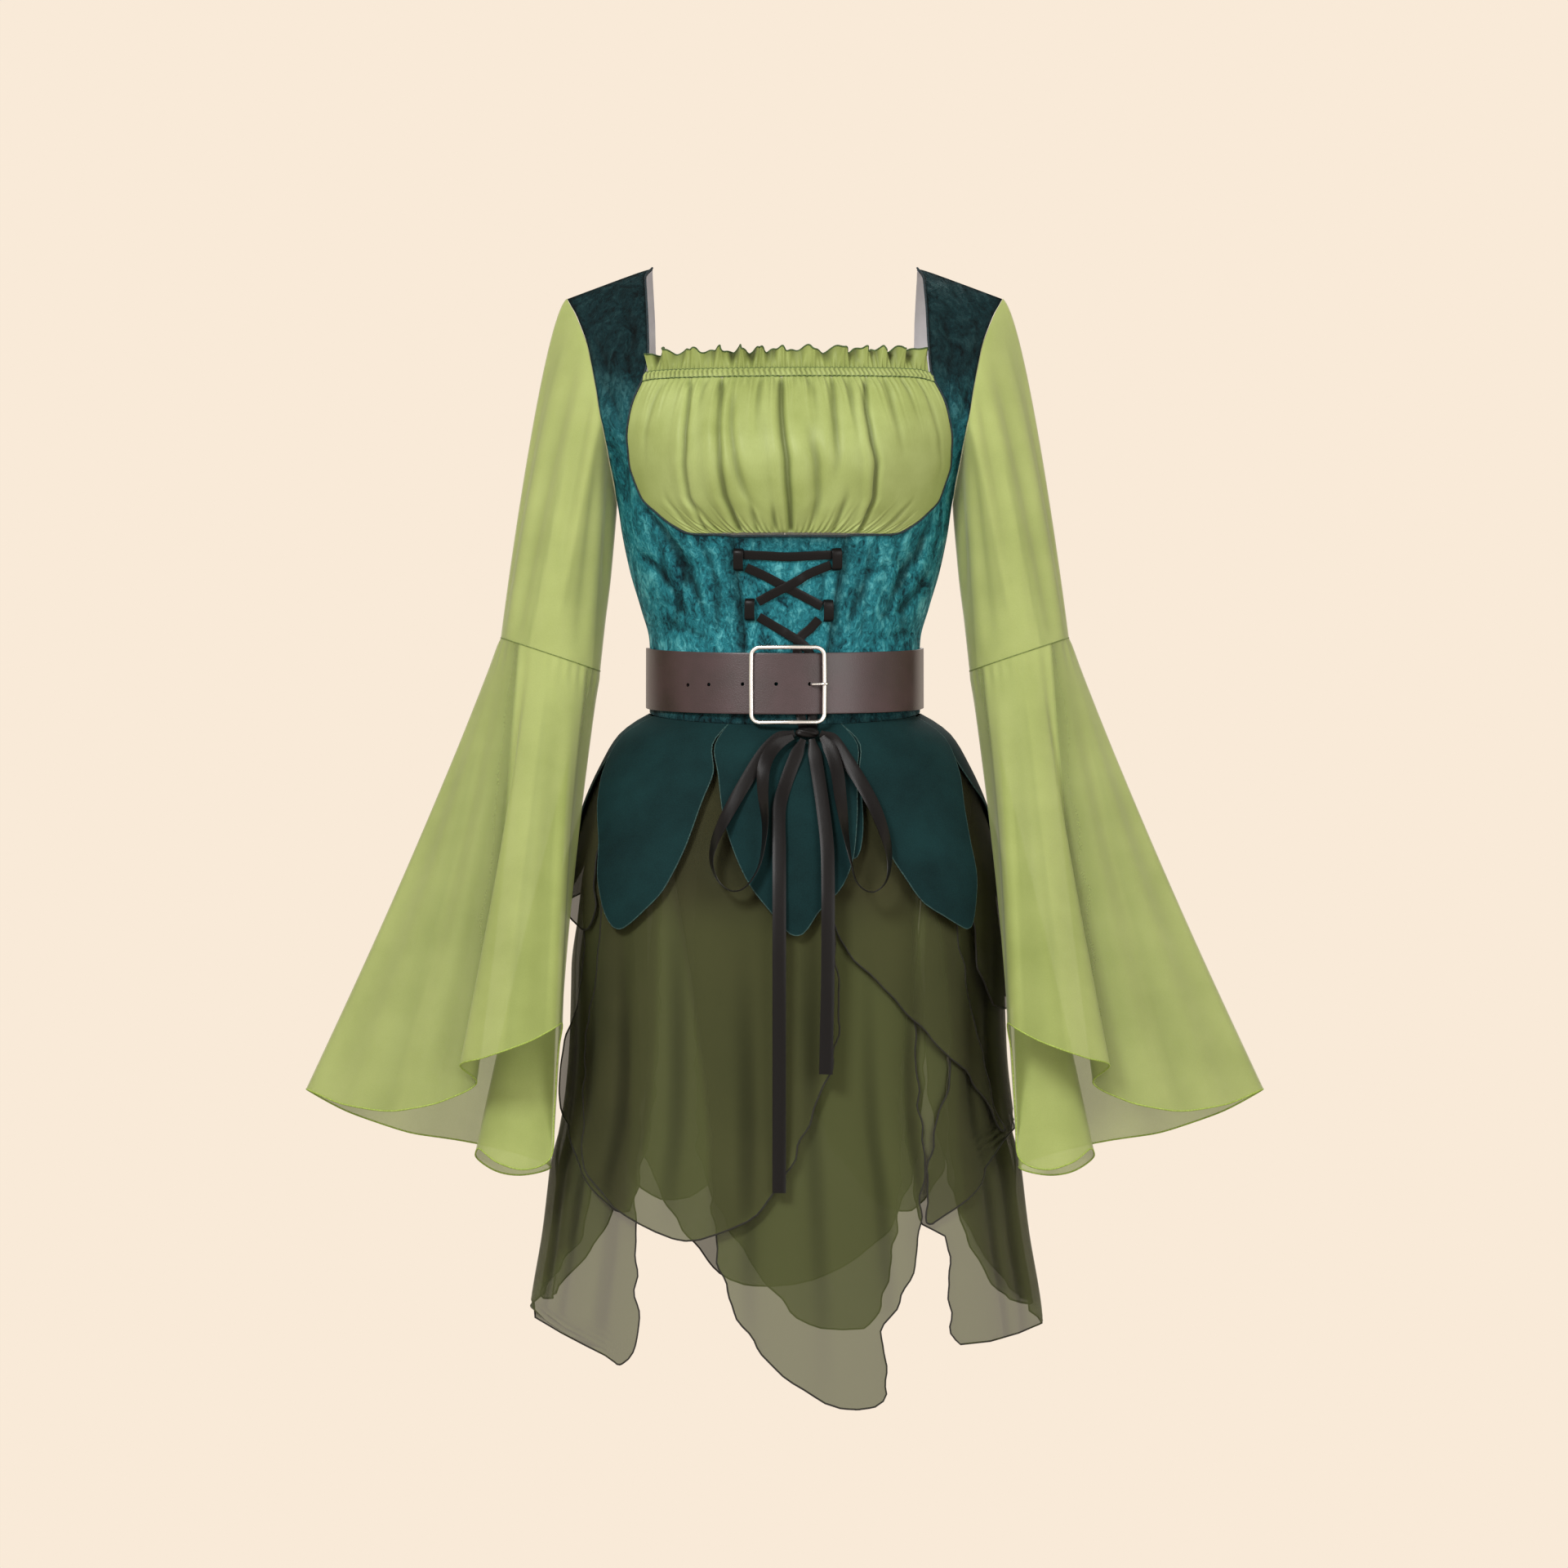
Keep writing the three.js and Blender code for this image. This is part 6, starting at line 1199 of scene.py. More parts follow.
hole_middle, hole_way = torso_point(hole_angle, hole_level), torso_normal(hole_angle, hole_level)
punch_points, punch_faces = [], []
ring = np.arange(BELT_HOLE_SIDES)
following = (ring + 1) % BELT_HOLE_SIDES
turn = 2 * np.pi * ring / BELT_HOLE_SIDES
for place, way in zip(hole_middle, hole_way):
    aside = unit(np.cross(way, (0, 0, 1)))
    above = np.cross(aside, way)
    circle = BELT_HOLE_RADIUS * (np.cos(turn)[:, None] * aside + np.sin(turn)[:, None] * above)
    near = ring + len(punch_points) * BELT_HOLE_SIDES
    far = near + BELT_HOLE_SIDES
    punch_points += [place + circle, place + circle + way * PUNCH_LENGTH]
    punch_faces += [(a, b, far[d], near[d]) for a, b, d in zip(near, far, following)]
    punch_faces += [tuple(near), tuple(far[::-1])]
punch_mesh = bpy.data.meshes.new("hole_punch")
punch_mesh.from_pydata((np.concatenate(punch_points) * MM).tolist(), [], punch_faces)
punch = bpy.data.objects.new("hole_punch", punch_mesh)
bpy.context.scene.collection.objects.link(punch)
punching = strap.modifiers.new("punched_holes", "BOOLEAN")
punching.object = punch
punching.operation = "DIFFERENCE"
punching.solver = "EXACT"
bpy.context.view_layer.update()
worked_out = strap.evaluated_get(bpy.context.evaluated_depsgraph_get())
punched = bpy.data.meshes.new_from_object(worked_out)
strap.modifiers.clear()
strap.data = punched
bpy.data.objects.remove(punch)
punched.shade_smooth()
punched.set_sharp_from_angle(angle=math.radians(40))
declare_piece(strap, "belt_strap")


# Buckle and prong: cast zinc alloy, nickel plated and polished, a square frame of round wire with
# rounded corners. The prong hooks over the right bar and lies across to the hole beside it.
BUCKLE = {"left": -28.6, "right": 33.0, "top": -338.5, "foot": -406.6, "corner": 7.5, "wire": 2.0}
BUCKLE_GAP = 0.34
PRONG_RADIUS = 1.25


def nickel_plate():
    """Polished nickel plate: warm silver, with fine wear that softens its reflections."""
    material, tree, shader, place = new_material("polished_nickel_plate", {
        "Base Color": linear("E8E8EA"), "Metallic": 1.0,
    })
    wear = add_node(tree, "ShaderNodeTexNoise", {"Vector": place}, {"Scale": 420, "Detail": 4})
    rough = add_node(tree, "ShaderNodeMapRange", {"Value": wear.outputs[0]},
                     {"To Min": 0.16, "To Max": 0.34})
    tree.links.new(rough.outputs[0], shader.inputs["Roughness"])
    return material


NICKEL = nickel_plate()


def over_belt(x, z, lift):
    """Point over the belt's face at a width and a height, with lift counted from the leather."""
    angle, _ = torso_spot(x, z)
    lap = smooth_step(x, BUCKLE["left"], BUCKLE["right"] - 22)
    leather = BELT_CLEARANCE + OVER_LACING + LEATHER + (LEATHER + BELT_CLEARANCE) * lap
    return belt_face(angle, (belt_top(angle) - z) / BELT_HEIGHT, leather + lift)


corner = BUCKLE["corner"]
quarter = np.radians(np.linspace(0, 90, 14))
corners = ((BUCKLE["right"] - corner, BUCKLE["top"] - corner, 0),
           (BUCKLE["left"] + corner, BUCKLE["top"] - corner, 90),
           (BUCKLE["left"] + corner, BUCKLE["foot"] + corner, 180),
           (BUCKLE["right"] - corner, BUCKLE["foot"] + corner, 270))
arcs = []
for middle_x, middle_z, start in corners:
    turned = quarter + math.radians(start)
    arcs.append(np.stack([middle_x + corner * np.cos(turned),
                          middle_z + corner * np.sin(turned)], 1))
outline = []
for index, arc in enumerate(arcs):
    ahead = arcs[(index + 1) % 4][0]
    outline += [arc, arc[-1] + (ahead - arc[-1]) * (np.arange(1, 12) / 12)[:, None]]
outline = np.concatenate(outline)
frame_path = over_belt(outline[:, 0], outline[:, 1], BUCKLE_GAP + BUCKLE["wire"])
frame_angle, frame_level = torso_spot(outline[:, 0], outline[:, 1])
buckle = edge_thread("nickel_buckle", frame_path, torso_normal(frame_angle, frame_level),
                     BUCKLE["wire"], NICKEL, ring=True, sides=16)
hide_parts("belt_buckle")
prong_x = np.array((34.9, 33.6, 32.2, 30.6, 28.6, 26.6, 24.4, 22.2))
prong_lift = np.array((5.9, 6.4, 6.3, 5.4, 3.8, 2.2, 0.4, -1.2))
prong_path = over_belt(prong_x, float(BELT_HOLE_Z), prong_lift)
prong = edge_thread("nickel_prong", prong_path, np.broadcast_to((0.0, 0.0, 1.0), (8, 3)),
                    PRONG_RADIUS, NICKEL, sides=12)
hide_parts("belt_prong")


# Lacing: near-black satin ribbon, 8 mm wide, crossed over the centre front through four loops of
# the same ribbon and on behind the belt to the bow. It lies flat on the velvet.
LACE_WIDTH = 8.2
LACE_WALL = 1.0
LACE_BAR = ((-37, -255, 1), (-18, -256, 1), (3, -257, 1), (24, -256, 1), (42, -255, 1))
LACE_UNDER = ((-34.4, -266.4, 1), (-18, -274, 1), (0.7, -284, 1), (18, -293, 1), (33, -301, 1))
LACE_OVER = ((41, -264, 1), (20, -273, 1), (11, -278.5, 2.4), (0.7, -284, 2.6), (-9, -289, 2.4),
             (-18, -294, 1), (-24, -297.4, 1))
LACE_TIE_LEFT = ((-23.4, -310.4, 1), (-6, -321, 1), (3, -326.5, 2.4), (12.5, -333, 2.6),
                 (20, -340, 2.4), (24.5, -352, 1), (25.5, -375, 1), (25, -398, 1),
                 (24.5, -408, 3.4), (24, -413, 10))
LACE_TIE_RIGHT = ((30.5, -312.5, 1), (23, -321, 1), (12.5, -332, 1), (10.5, -352, 1),
                  (12, -375, 1), (14, -398, 1), (15.5, -408, 3.4), (16, -413, 8.8))
LACE_LOOPS = (("upper_left", -41, -259.5), ("upper_right", 46, -259),
              ("lower_left", -31, -304), ("lower_right", 38.5, -305))
# A loop's arch over the laces: share of its half height, and lift off the velvet
LOOP_ARCH = ((-1, 1), (-0.8, 3.6), (-0.45, 4.6), (0, 4.8), (0.45, 4.6), (0.8, 3.6), (1, 1))
LOOP_HALF_HEIGHT, LOOP_WIDTH = 9.5, 9.0
RIBBON_COLUMNS = 9


def ribbon_satin():
    """Double-faced polyester satin ribbon, near black with a warm cast: fine cross ribs and a
    gloss that breaks along its folds."""
    material, tree, shader, place = new_material("black_brown_ribbon", {
        "Roughness": 0.36, "Sheen Weight": 0.03, "Sheen Roughness": 0.3,
        "Specular IOR Level": 0.15,
    })
    ribs = add_node(tree, "ShaderNodeTexNoise", {"Vector": place}, {"Scale": 1300, "Detail": 2})
    shade = add_node(tree, "ShaderNodeValToRGB", {"Fac": ribs.outputs[0]})
    shade.color_ramp.elements[0].color = linear("0A090A")
    shade.color_ramp.elements[1].color = linear("161415")
    tree.links.new(shade.outputs["Color"], shader.inputs["Base Color"])
    bump = add_node(tree, "ShaderNodeBump", {"Height": ribs.outputs[0]},
                    {"Strength": 0.25, "Distance": 0.0003})
    tree.links.new(bump.outputs[0], shader.inputs["Normal"])
    return material


RIBBON = ribbon_satin()


def finer_path(stops, per_span):
    """Open path through stops, read smoothly in each column at several places between them."""
    table = np.column_stack([np.arange(len(stops)), np.array(stops, float)])
    at = np.linspace(0, len(stops) - 1, (len(stops) - 1) * per_span + 1)
    return np.stack([along_rows(table, column, at) for column in range(1, table.shape[1])], 1)


def ribbon_object(name, path, across, width, wall, node):
    """Flat ribbon: its width laid across the path with a slight crown, its edges thinner."""
    reach = np.linspace(-1, 1, RIBBON_COLUMNS)
    out = unit(np.cross(unit(np.gradient(path, axis=0)), across))[:, None]
    crown = (0.25 * (1 - reach ** 2))[None, :, None]
    half = (wall / 2 * (1 - 0.6 * np.abs(reach) ** 6))[None, :, None]
    middle = path[:, None] + across[:, None] * (reach * width / 2)[None, :, None] + out * crown
    piece = wall_object(name, middle - out * half, middle + out * half, (RIBBON,))
    declare_piece(piece, node)
    return piece


def lay_lace(name, stops, width, per_span=8):
    """A lace on the bodice front, from stops of width, height and lift."""
    spots = finer_path(stops, per_span)
    angle, level = torso_spot(spots[:, 0], spots[:, 1])
    base, normal = torso_point(angle, level), torso_normal(angle, level)
    path = base + normal * (spots[:, 2] + LACE_WALL / 2)[:, None]
    along = unit(np.gradient(base, axis=0))
    across = unit(np.cross(normal, along))
    piece = ribbon_object(f"ribbon_{name}", path, across, width, LACE_WALL, name)
    return piece, path


for lace_name, stops in (("lace_bar", LACE_BAR), ("lace_cross_under", LACE_UNDER),
                         ("lace_cross_over", LACE_OVER), ("lace_tie_left", LACE_TIE_LEFT),
                         ("lace_tie_right", LACE_TIE_RIGHT)):
    lace, lace_path = lay_lace(lace_name, stops, LACE_WIDTH)
for loop_name, loop_x, loop_z in LACE_LOOPS:
    stops = [(loop_x, loop_z - LOOP_HALF_HEIGHT * place, arch) for place, arch in LOOP_ARCH]
    lay_lace(f"lace_loop_{loop_name}", stops, LOOP_WIDTH, per_span=4)


# Bow: the same satin, 12 mm wide, tied in a small flat knot below the buckle. Its two loops hang
# open and turn edge-on at their lowest points; its two tails hang in front of the skirt.
BOW_WIDTH = 12.0
BOW_WALL = 1.2
BOW_PINCH = 0.5
# Routes: x, y, z, and the turn of the ribbon's width out of the front plane
BOW_LOOP_LEFT = (
    (8.6, -106.4, -415.6, 0), (-6, -108.5, -421, 0), (-20.5, -114, -436, 5),
    (-39.5, -125, -467, 12),
    (-52.6, -134, -491, 30), (-62, -142, -512, 55), (-65, -148, -531, 75),
    (-58.4, -154, -548, 85), (-46, -158, -556, 90), (-33.6, -159, -551, 92),
    (-22, -155, -531, 98), (-17.5, -145.5, -499, 115), (-19.5, -134, -467, 145),
    (-18, -124.5, -444, 168), (-8.5, -116, -427, 178), (7.2, -109.6, -418.6, 180),
)
BOW_LOOP_RIGHT = (
    (31.8, -106.4, -415.6, 0), (43, -106.5, -422, 0), (53, -111, -436, 0), (67, -119, -458, -8),
    (80.5, -127, -483, -22), (90, -136, -510, -48), (93, -143, -531, -70), (89, -149, -549, -84),
    (77, -154, -557, -90), (64.5, -155, -549, -92), (59, -152, -531, -98), (54, -143, -505, -118),
    (50, -132, -476, -150), (46.5, -121.5, -449, -170), (40.5, -114, -430, -178),
    (33.4, -109.6, -418.8, -180),
)
BOW_TAIL_LEFT = (
    (16.5, -108, -421.2, 0), (10, -113.5, -436, 0), (1, -122, -460, 0), (-5, -133, -484, 0),
    (-5, -147.5, -520, 0), (-5, -157, -552, 0), (-5, -164, -594, 0), (-5, -168, -640, 3),
    (-5, -171, -690, 6), (-5, -174, -740, 6), (-5, -177, -785, 3), (-5, -180, -822, 0),
)
BOW_TAIL_RIGHT = (
    (24, -107, -421, 0), (27, -111.5, -436, 0), (30, -120, -455, 0), (34, -132, -483, 0),
    (37.5, -144.5, -515, -2), (38.3, -154, -546, -4), (38.3, -160.5, -577, -4),
    (38, -164.5, -633, -2), (37, -167, -680, 2), (36.2, -169, -718, 4),
)


def smooth_route(stops, per_span):
    """Open Catmull-Rom curve through the stops, with each end's step repeated beyond it."""
    table = np.array(stops, float)
    padded = np.concatenate([2 * table[:1] - table[1:2], table, 2 * table[-1:] - table[-2:-1]])
    t = (np.arange(per_span) / per_span)[None, :, None]
    before, here, after, beyond = (padded[k:len(padded) - 3 + k, None] for k in range(4))
    curve = cubic_between(here, (after - before) / 2, (beyond - here) / 2, after, t)
    return np.concatenate([curve.reshape(-1, table.shape[1]), table[-1:]])


for bow_name, stops, far_end in (("bow_loop_left", BOW_LOOP_LEFT, "object"),
                                 ("bow_loop_right", BOW_LOOP_RIGHT, "object"),
                                 ("bow_tail_left", BOW_TAIL_LEFT, "bare"),
                                 ("bow_tail_right", BOW_TAIL_RIGHT, "bare")):
    route = smooth_route(stops, 8)
    path = route[:, :3]
    along = unit(np.gradient(path, axis=0))
    flat = unit(np.cross((0.0, -1.0, 0.0), along))
    deep = unit(np.cross(along, flat))
    turned = np.radians(route[:, 3])[:, None]
    across = flat * np.cos(turned) + deep * np.sin(turned)
    run = np.linspace(0, len(stops) - 1, len(route))
    held = np.minimum(run, len(stops) - 1 - run) if far_end == "object" else run
    across = across * (BOW_PINCH + (1 - BOW_PINCH) * smooth_step(held, 0, 1))[:, None]
    piece = ribbon_object(f"ribbon_{bow_name}", path, across, BOW_WIDTH, BOW_WALL, bow_name)

KNOT_MIDDLE, KNOT_HALF_WIDTH, KNOT_RADIUS = (20, -106.6, -415.5), 10.9, 4.2
KNOT_ROWS, KNOT_SIDES = 30, 48
knot_turn = np.linspace(0, 2 * np.pi, KNOT_SIDES, endpoint=False)[None, :]
knot_run = np.linspace(-1, 1, KNOT_ROWS)[:, None]
knot_radius = KNOT_RADIUS * np.sqrt(np.clip(1 - np.abs(knot_run) ** 3.2, 0.02, 1))
knot_radius = knot_radius * (1 + 0.07 * np.sin(5 * knot_turn + 4 * knot_run))
knot_points = np.stack([KNOT_MIDDLE[0] + KNOT_HALF_WIDTH * knot_run + 0 * knot_turn,
                        KNOT_MIDDLE[1] - knot_radius * np.cos(knot_turn),
                        KNOT_MIDDLE[2] + knot_radius * np.sin(knot_turn)], -1)
knot_faces, _ = wall_faces(KNOT_ROWS, KNOT_SIDES, True)
ring = np.arange(0, KNOT_SIDES, 2)
low_end, high_end = KNOT_ROWS * KNOT_SIDES, KNOT_ROWS * KNOT_SIDES + 1
last = (KNOT_ROWS - 1) * KNOT_SIDES
following = (ring + 2) % KNOT_SIDES
knot_faces = np.concatenate([
    knot_faces[:last],
    np.stack([np.full(len(ring), low_end), ring, ring + 1, following], 1),
    np.stack([np.full(len(ring), high_end), last + following, last + ring + 1, last + ring], 1),
])
knot_ends = np.concatenate([knot_points[:1].mean(1), knot_points[-1:].mean(1)])
knot = mesh_object("ribbon_knot", np.concatenate([knot_points.reshape(-1, 3), knot_ends]),
                   knot_faces, (RIBBON,))
declare_piece(knot, "bow_knot")


# The skirt's form: every leaf and petal hangs on one set of sections below the waist seam, each
# layer a few millimetres inside the one over it. The folds run through all layers together.
SKIRT = (
    # drop, side, front, back, outermost layer
    (0, 125, 93, 90, 0), (9, 141, 99, 100, 0), (19, 154, 105, 110, 0), (36, 167, 113, 123, 0),
    (59, 179, 122, 136, 0.2), (86, 188.5, 130, 146, 0.5), (108, 193, 135, 152, 1),
    (150, 200, 143, 160, 2), (200, 203, 149, 166, 2), (300, 204, 156, 172, 2.4),
    (360, 207, 159, 175, 3), (420, 219, 165, 182, 4), (470, 226, 171, 187, 4),
    (550, 236, 180, 194, 4.5), (640, 240, 186, 198, 5),
)
FOLD_DEPTH = ((0, 0), (60, 0.3), (150, 1.2), (300, 2.6), (450, 3.3), (640, 4.2))
# Folds of the whole skirt: angle at the top and foot, start drop, width mm, depth mm
SKIRT_FOLDS = (
    (-58, -62, 60, 13, 5.0), (-44, -46, 120, 11, 4.2), (-30, -27, 50, 14, 5.4),
    (-12, -8, 140, 11, 4.4), (4, 8, 90, 12, 4.4), (21, 24, 160, 11, 4.8), (38, 34, 70, 13, 4.8),
    (55, 60, 110, 12, 5.0), (74, 72, 60, 14, 5.0), (92, 96, 100, 12, 4.6), (112, 108, 70, 13, 5.0),
    (130, 134, 120, 12, 5.2), (150, 147, 60, 14, 5.4), (171, 175, 100, 12, 4.8),
    (190, 187, 60, 14, 5.2), (208, 212, 120, 12, 5.0), (228, 225, 70, 13, 5.2),
    (247, 252, 100, 12, 4.8), (266, 262, 60, 14, 5.0), (284, 288, 90, 12, 4.8),
)
FOLD_RUN, FOLD_ONSET, MM_PER_DEGREE = 500, 260, 3.4
# The petals, cut from chiffon: name, layer, and rows of drop, left and right edge angle
PETALS = (
    ("hip_left", 2, ((0, -120, -72), (32, -121, -70), (105, -122, -62.5), (146, -119, -60.5),
                     (168, -113, -59), (174, -100, -59.2), (180, -87, -59.5), (191, -67, -62))),
    ("front_left", 2, ((0, -72, 12), (32, -67, 12), (105, -58, 12), (170, -55.5, 12.4),
                       (206, -56.4, 12.8), (247, -59.5, 13.8), (288, -62.9, 12.8),
                       (343, -62.5, 7.1),
                       (402, -55, -0.2), (428, -45, -4.9), (443, -37, -9.5), (458, -26, -19))),
    ("hip_right", 2, ((0, 60, 120), (105, 55, 122), (150, 54, 125), (190, 58, 127), (226, 60, 126),
                      (240, 62.8, 122), (258, 69.7, 112), (268, 77, 100))),
    ("back_right", 2, ((0, 120, 180), (105, 124, 179.2), (190, 129.5, 178), (300, 131, 176),
                       (400, 136, 170), (450, 142, 162), (472, 148, 155))),
    ("back_left", 2, ((0, 180, 240), (105, 180.8, 236), (190, 182, 232), (300, 184, 230),
                      (400, 189, 225), (440, 196, 219), (462, 203, 211))),
    ("under_left", 3, ((0, -96, -36), (100, -74, -34), (217, -66.4, -34), (268, -74, -34),
                       (321, -85, -34.5), (358, -79.6, -35), (385, -66, -35.5), (411, -56, -36),
                       (437, -43.5, -37.5))),
    ("front_right", 3, ((0, 12, 84), (60, 12, 84), (100, 11, 66), (150, 11, 52), (187, 13.6, 51),
                        (223, 22, 54), (245, 29, 56.3), (270, 36.7, 59.5), (297, 45, 63),
                        (322, 55.5, 66.5), (350, 65.5, 70.5), (376, 73, 75))),
    ("back_center", 3, ((0, 144, 216), (150, 142, 218), (300, 139, 221), (400, 143, 218),
                        (470, 151, 209), (505, 158, 201.5), (518, 162.5, 199), (532, 168, 196),
                        (546, 178, 189))),
    ("center_long", 4, ((0, -48, 36), (100, -34, 36), (250, -24, 37), (377, -18.5, 37.6),
                        (428, -17, 34.2), (456, -16.1, 33), (480, -14.9, 31), (513, -11.8, 26.5),
                        (540, -8, 21.5), (575, -0.2, 22.3), (590, 4.5, 22.5), (604, 12, 19))),
    ("under_right", 4, ((0, 36, 108), (60, 36, 108), (200, 46, 110), (311, 48.5, 112),
                        (338, 45.2, 111), (369, 40.7, 106), (377, 39.8, 91), (385, 39, 76),
                        (399, 37.5, 63), (412, 36.5, 56), (428, 35.8, 48.5), (446, 35.4, 37.6))),
    ("back_long", 4, ((0, 132, 204), (250, 142, 206), (400, 148, 203), (470, 151, 196.5),
                      (505, 153, 191), (518, 154, 189), (532, 155, 186.5), (560, 157, 181),
                      (588, 162, 172))),
    ("side_left", 5, ((0, -120, -48), (200, -118, -46), (330, -116, -42), (451, -114, -37),
                      (510, -109, -35), (538, -100, -33.6), (545, -84, -33.6), (552, -68, -33.6),
                      (558, -54, -34), (571, -40, -37.5))),
    ("side_right", 5, ((0, 48, 120), (200, 39, 118), (330, 33.5, 116), (430, 33.5, 114),
                       (446, 34.5, 113), (463, 41.3, 112), (508, 40.1, 109), (540, 39.4, 102),
                       (556, 42, 92))),
    ("rear_left", 6.5, ((0, -132, -72), (200, -134, -66), (330, -134, -60), (424, -132, -58),
                        (466, -130, -61), (485, -127, -66), (505, -123, -73), (523, -117, -81),
                        (538, -107, -92))),
    ("rear_right", 6.5, ((0, 72, 132), (200, 62, 134), (330, 51, 134), (436, 46.6, 132),
                         (463, 49, 130), (483, 52, 127), (503, 58, 123), (521, 66, 116),
                         (538, 80, 103))),
)
# The sides billow out behind the sleeves: angle, width in degrees, start, full, end drop, mm
BILLOW = (105, 15, 130, 240, 470, 15)
PITCH_AT_SEAM, PITCH_GROWTH = 1.45, 3.4
LIGHT_THROUGH = 0.56
TIP_LENGTH, ROW_PITCH, COLUMNS_PER_DEGREE, LEAST_COLUMNS, MOST_COLUMNS = 1.6, 6.0, 0.85, 30, 68


def skirt_section(angle, drop):
    """Ellipse below the waist seam: side times sine across, front or back times cosine."""
    turn = np.radians(angle)
    depth = np.where(np.cos(turn) > 0, along_rows(SKIRT, 2, drop), along_rows(SKIRT, 3, drop))
    return np.stack([along_rows(SKIRT, 1, drop) * np.sin(turn), -depth * np.cos(turn),
                     waist_seam(angle) - drop], -1)


def skirt_normal(angle, drop):
    """Cross product of the sections' slopes round and up."""
    around = skirt_section(angle + 1, drop) - skirt_section(angle - 1, drop)
    upward = skirt_section(angle, np.maximum(drop - 2, 0)) - skirt_section(angle, drop + 2)
    return unit(np.cross(around, upward))


def skirt_lift(layer, angle, drop):
    """Place of a layer: its number times the pitch, which grows down from the seam, and the folds
    and the billow that all layers share."""
    pitch = PITCH_AT_SEAM + PITCH_GROWTH * smooth_step(drop, 0, 60)
    wave = (0.6 * np.sin(9 * np.radians(angle) + 0.7) + 0.4 * np.sin(13 * np.radians(angle) + 2.1))
    lift = (along_rows(SKIRT, 4, drop) - layer) * pitch + along_rows(FOLD_DEPTH, 1, drop) * wave
    for top, foot, start, width, depth in SKIRT_FOLDS:
        gap = signed_angle(angle - (top + (foot - top) * drop / FOLD_RUN)) * MM_PER_DEGREE
        lift = lift - depth * smooth_step(drop, start, start + FOLD_ONSET) * bell(gap, width)
    middle, spread, start, full, end, reach = BILLOW
    beside = np.abs(signed_angle(angle)) - middle
    return lift + reach * rise_and_fall(drop, start, full, full + 120, end) * bell(beside, spread)


def single_share(angle, drop):
    """How much light comes through from behind: 1 where a petal lies alone, and less by the same
    factor for each further petal over the same place, counted from the petals' tables."""
    count = 3 * (1 - smooth_step(drop, 120, 190))
    for _, _, rows in PETALS:
        left, right = along_rows(rows, 1, drop), along_rows(rows, 2, drop)
        hangs = 1 - smooth_step(drop, rows[-1][0] - 3, rows[-1][0] + 3)
        for turn in (-360, 0, 360):
            count = count + hangs * (smooth_step(angle + turn - left, -1, 1)
                                     * smooth_step(right - angle - turn, -1, 1))
    return LIGHT_THROUGH ** np.clip(count - 1, 0, 9)


def hang_piece(name, node, layer, rows, material, wall, thread, thread_radius,
               ripple=0.0):
    """Leaf or petal: a grid between its two edges, closed as a thin wall, with a thread along
    its edges. The last row is brought nearly to a point. The edges ripple by two sines."""
    last_drop, last_left, last_right = rows[-1]
    middle = (last_left + last_right) / 2
    table = (*rows, (last_drop + TIP_LENGTH, middle - 0.5, middle + 0.5))
    foot = table[-1][0]
    drop = np.linspace(0, foot, max(LEAST_COLUMNS, int(foot / ROW_PITCH)))
    drop = np.unique(np.concatenate([drop, [foot - TIP_LENGTH / 2, last_drop]]))
    left, right = along_rows(table, 1, drop), along_rows(table, 2, drop)
    loose = smooth_step(drop, 0.3 * last_drop, 0.6 * last_drop)
    loose = loose * np.minimum(1, (right - left) / 12)
    start = 1.7 * layer + 0.13 * rows[0][1]
    left = left + ripple * loose * (np.sin(drop / 7.1 + start)
                                    + 0.6 * np.sin(drop / 3.9 + 2 * start))
    right = right + ripple * loose * (np.sin(drop / 6.4 + 2.6 * start) + 0.6 * np.sin(drop / 4.3))
    widest = (right - left).max()
    columns = int(np.clip(widest * COLUMNS_PER_DEGREE, LEAST_COLUMNS, MOST_COLUMNS))
    share = np.linspace(0, 1, columns)[None, :]
    angle = left[:, None] * (1 - share) + right[:, None] * share
    drop = np.broadcast_to(drop[:, None], angle.shape)
    base, normal = skirt_section(angle, drop), skirt_normal(angle, drop)
    lift = skirt_lift(layer, angle, drop)
    swing = np.sin(drop / 8.3 + start + 5 * share) * (2 * share - 1) ** 6
    height = (lift + 1.4 * ripple * loose[:, None] * swing)[..., None]
    outer, inner = draw_back([base + normal * height, base + normal * (height - wall)], SEAM_HALF)
    # Painted shade in the folds of every leaf and petal, for the materials that read it.
    piece = wall_object(name, outer, inner, (material,), painted_shade=trough_shade(lift, 6, 2.2, 0.4))
    # Painted light: a paler colour where a petal lies alone, standing for light through it from
    # behind.
    alone = piece.data.attributes.new("alone", "FLOAT", "POINT")
    painted_backlight = single_share(angle, drop).astype(np.float32).ravel()
    alone.data.foreach_set("value", np.tile(painted_backlight, 2))
    declare_piece(piece, node)
    sheet = (outer + inner) / 2
    path, facing = (np.concatenate([grid[:, 0], grid[-1, 1:-1], grid[::-1, -1]])
                    for grid in (sheet, normal))
    hem = edge_thread(f"{name}_edge", path, facing, thread_radius, thread)
    declare_cloth(sheet)


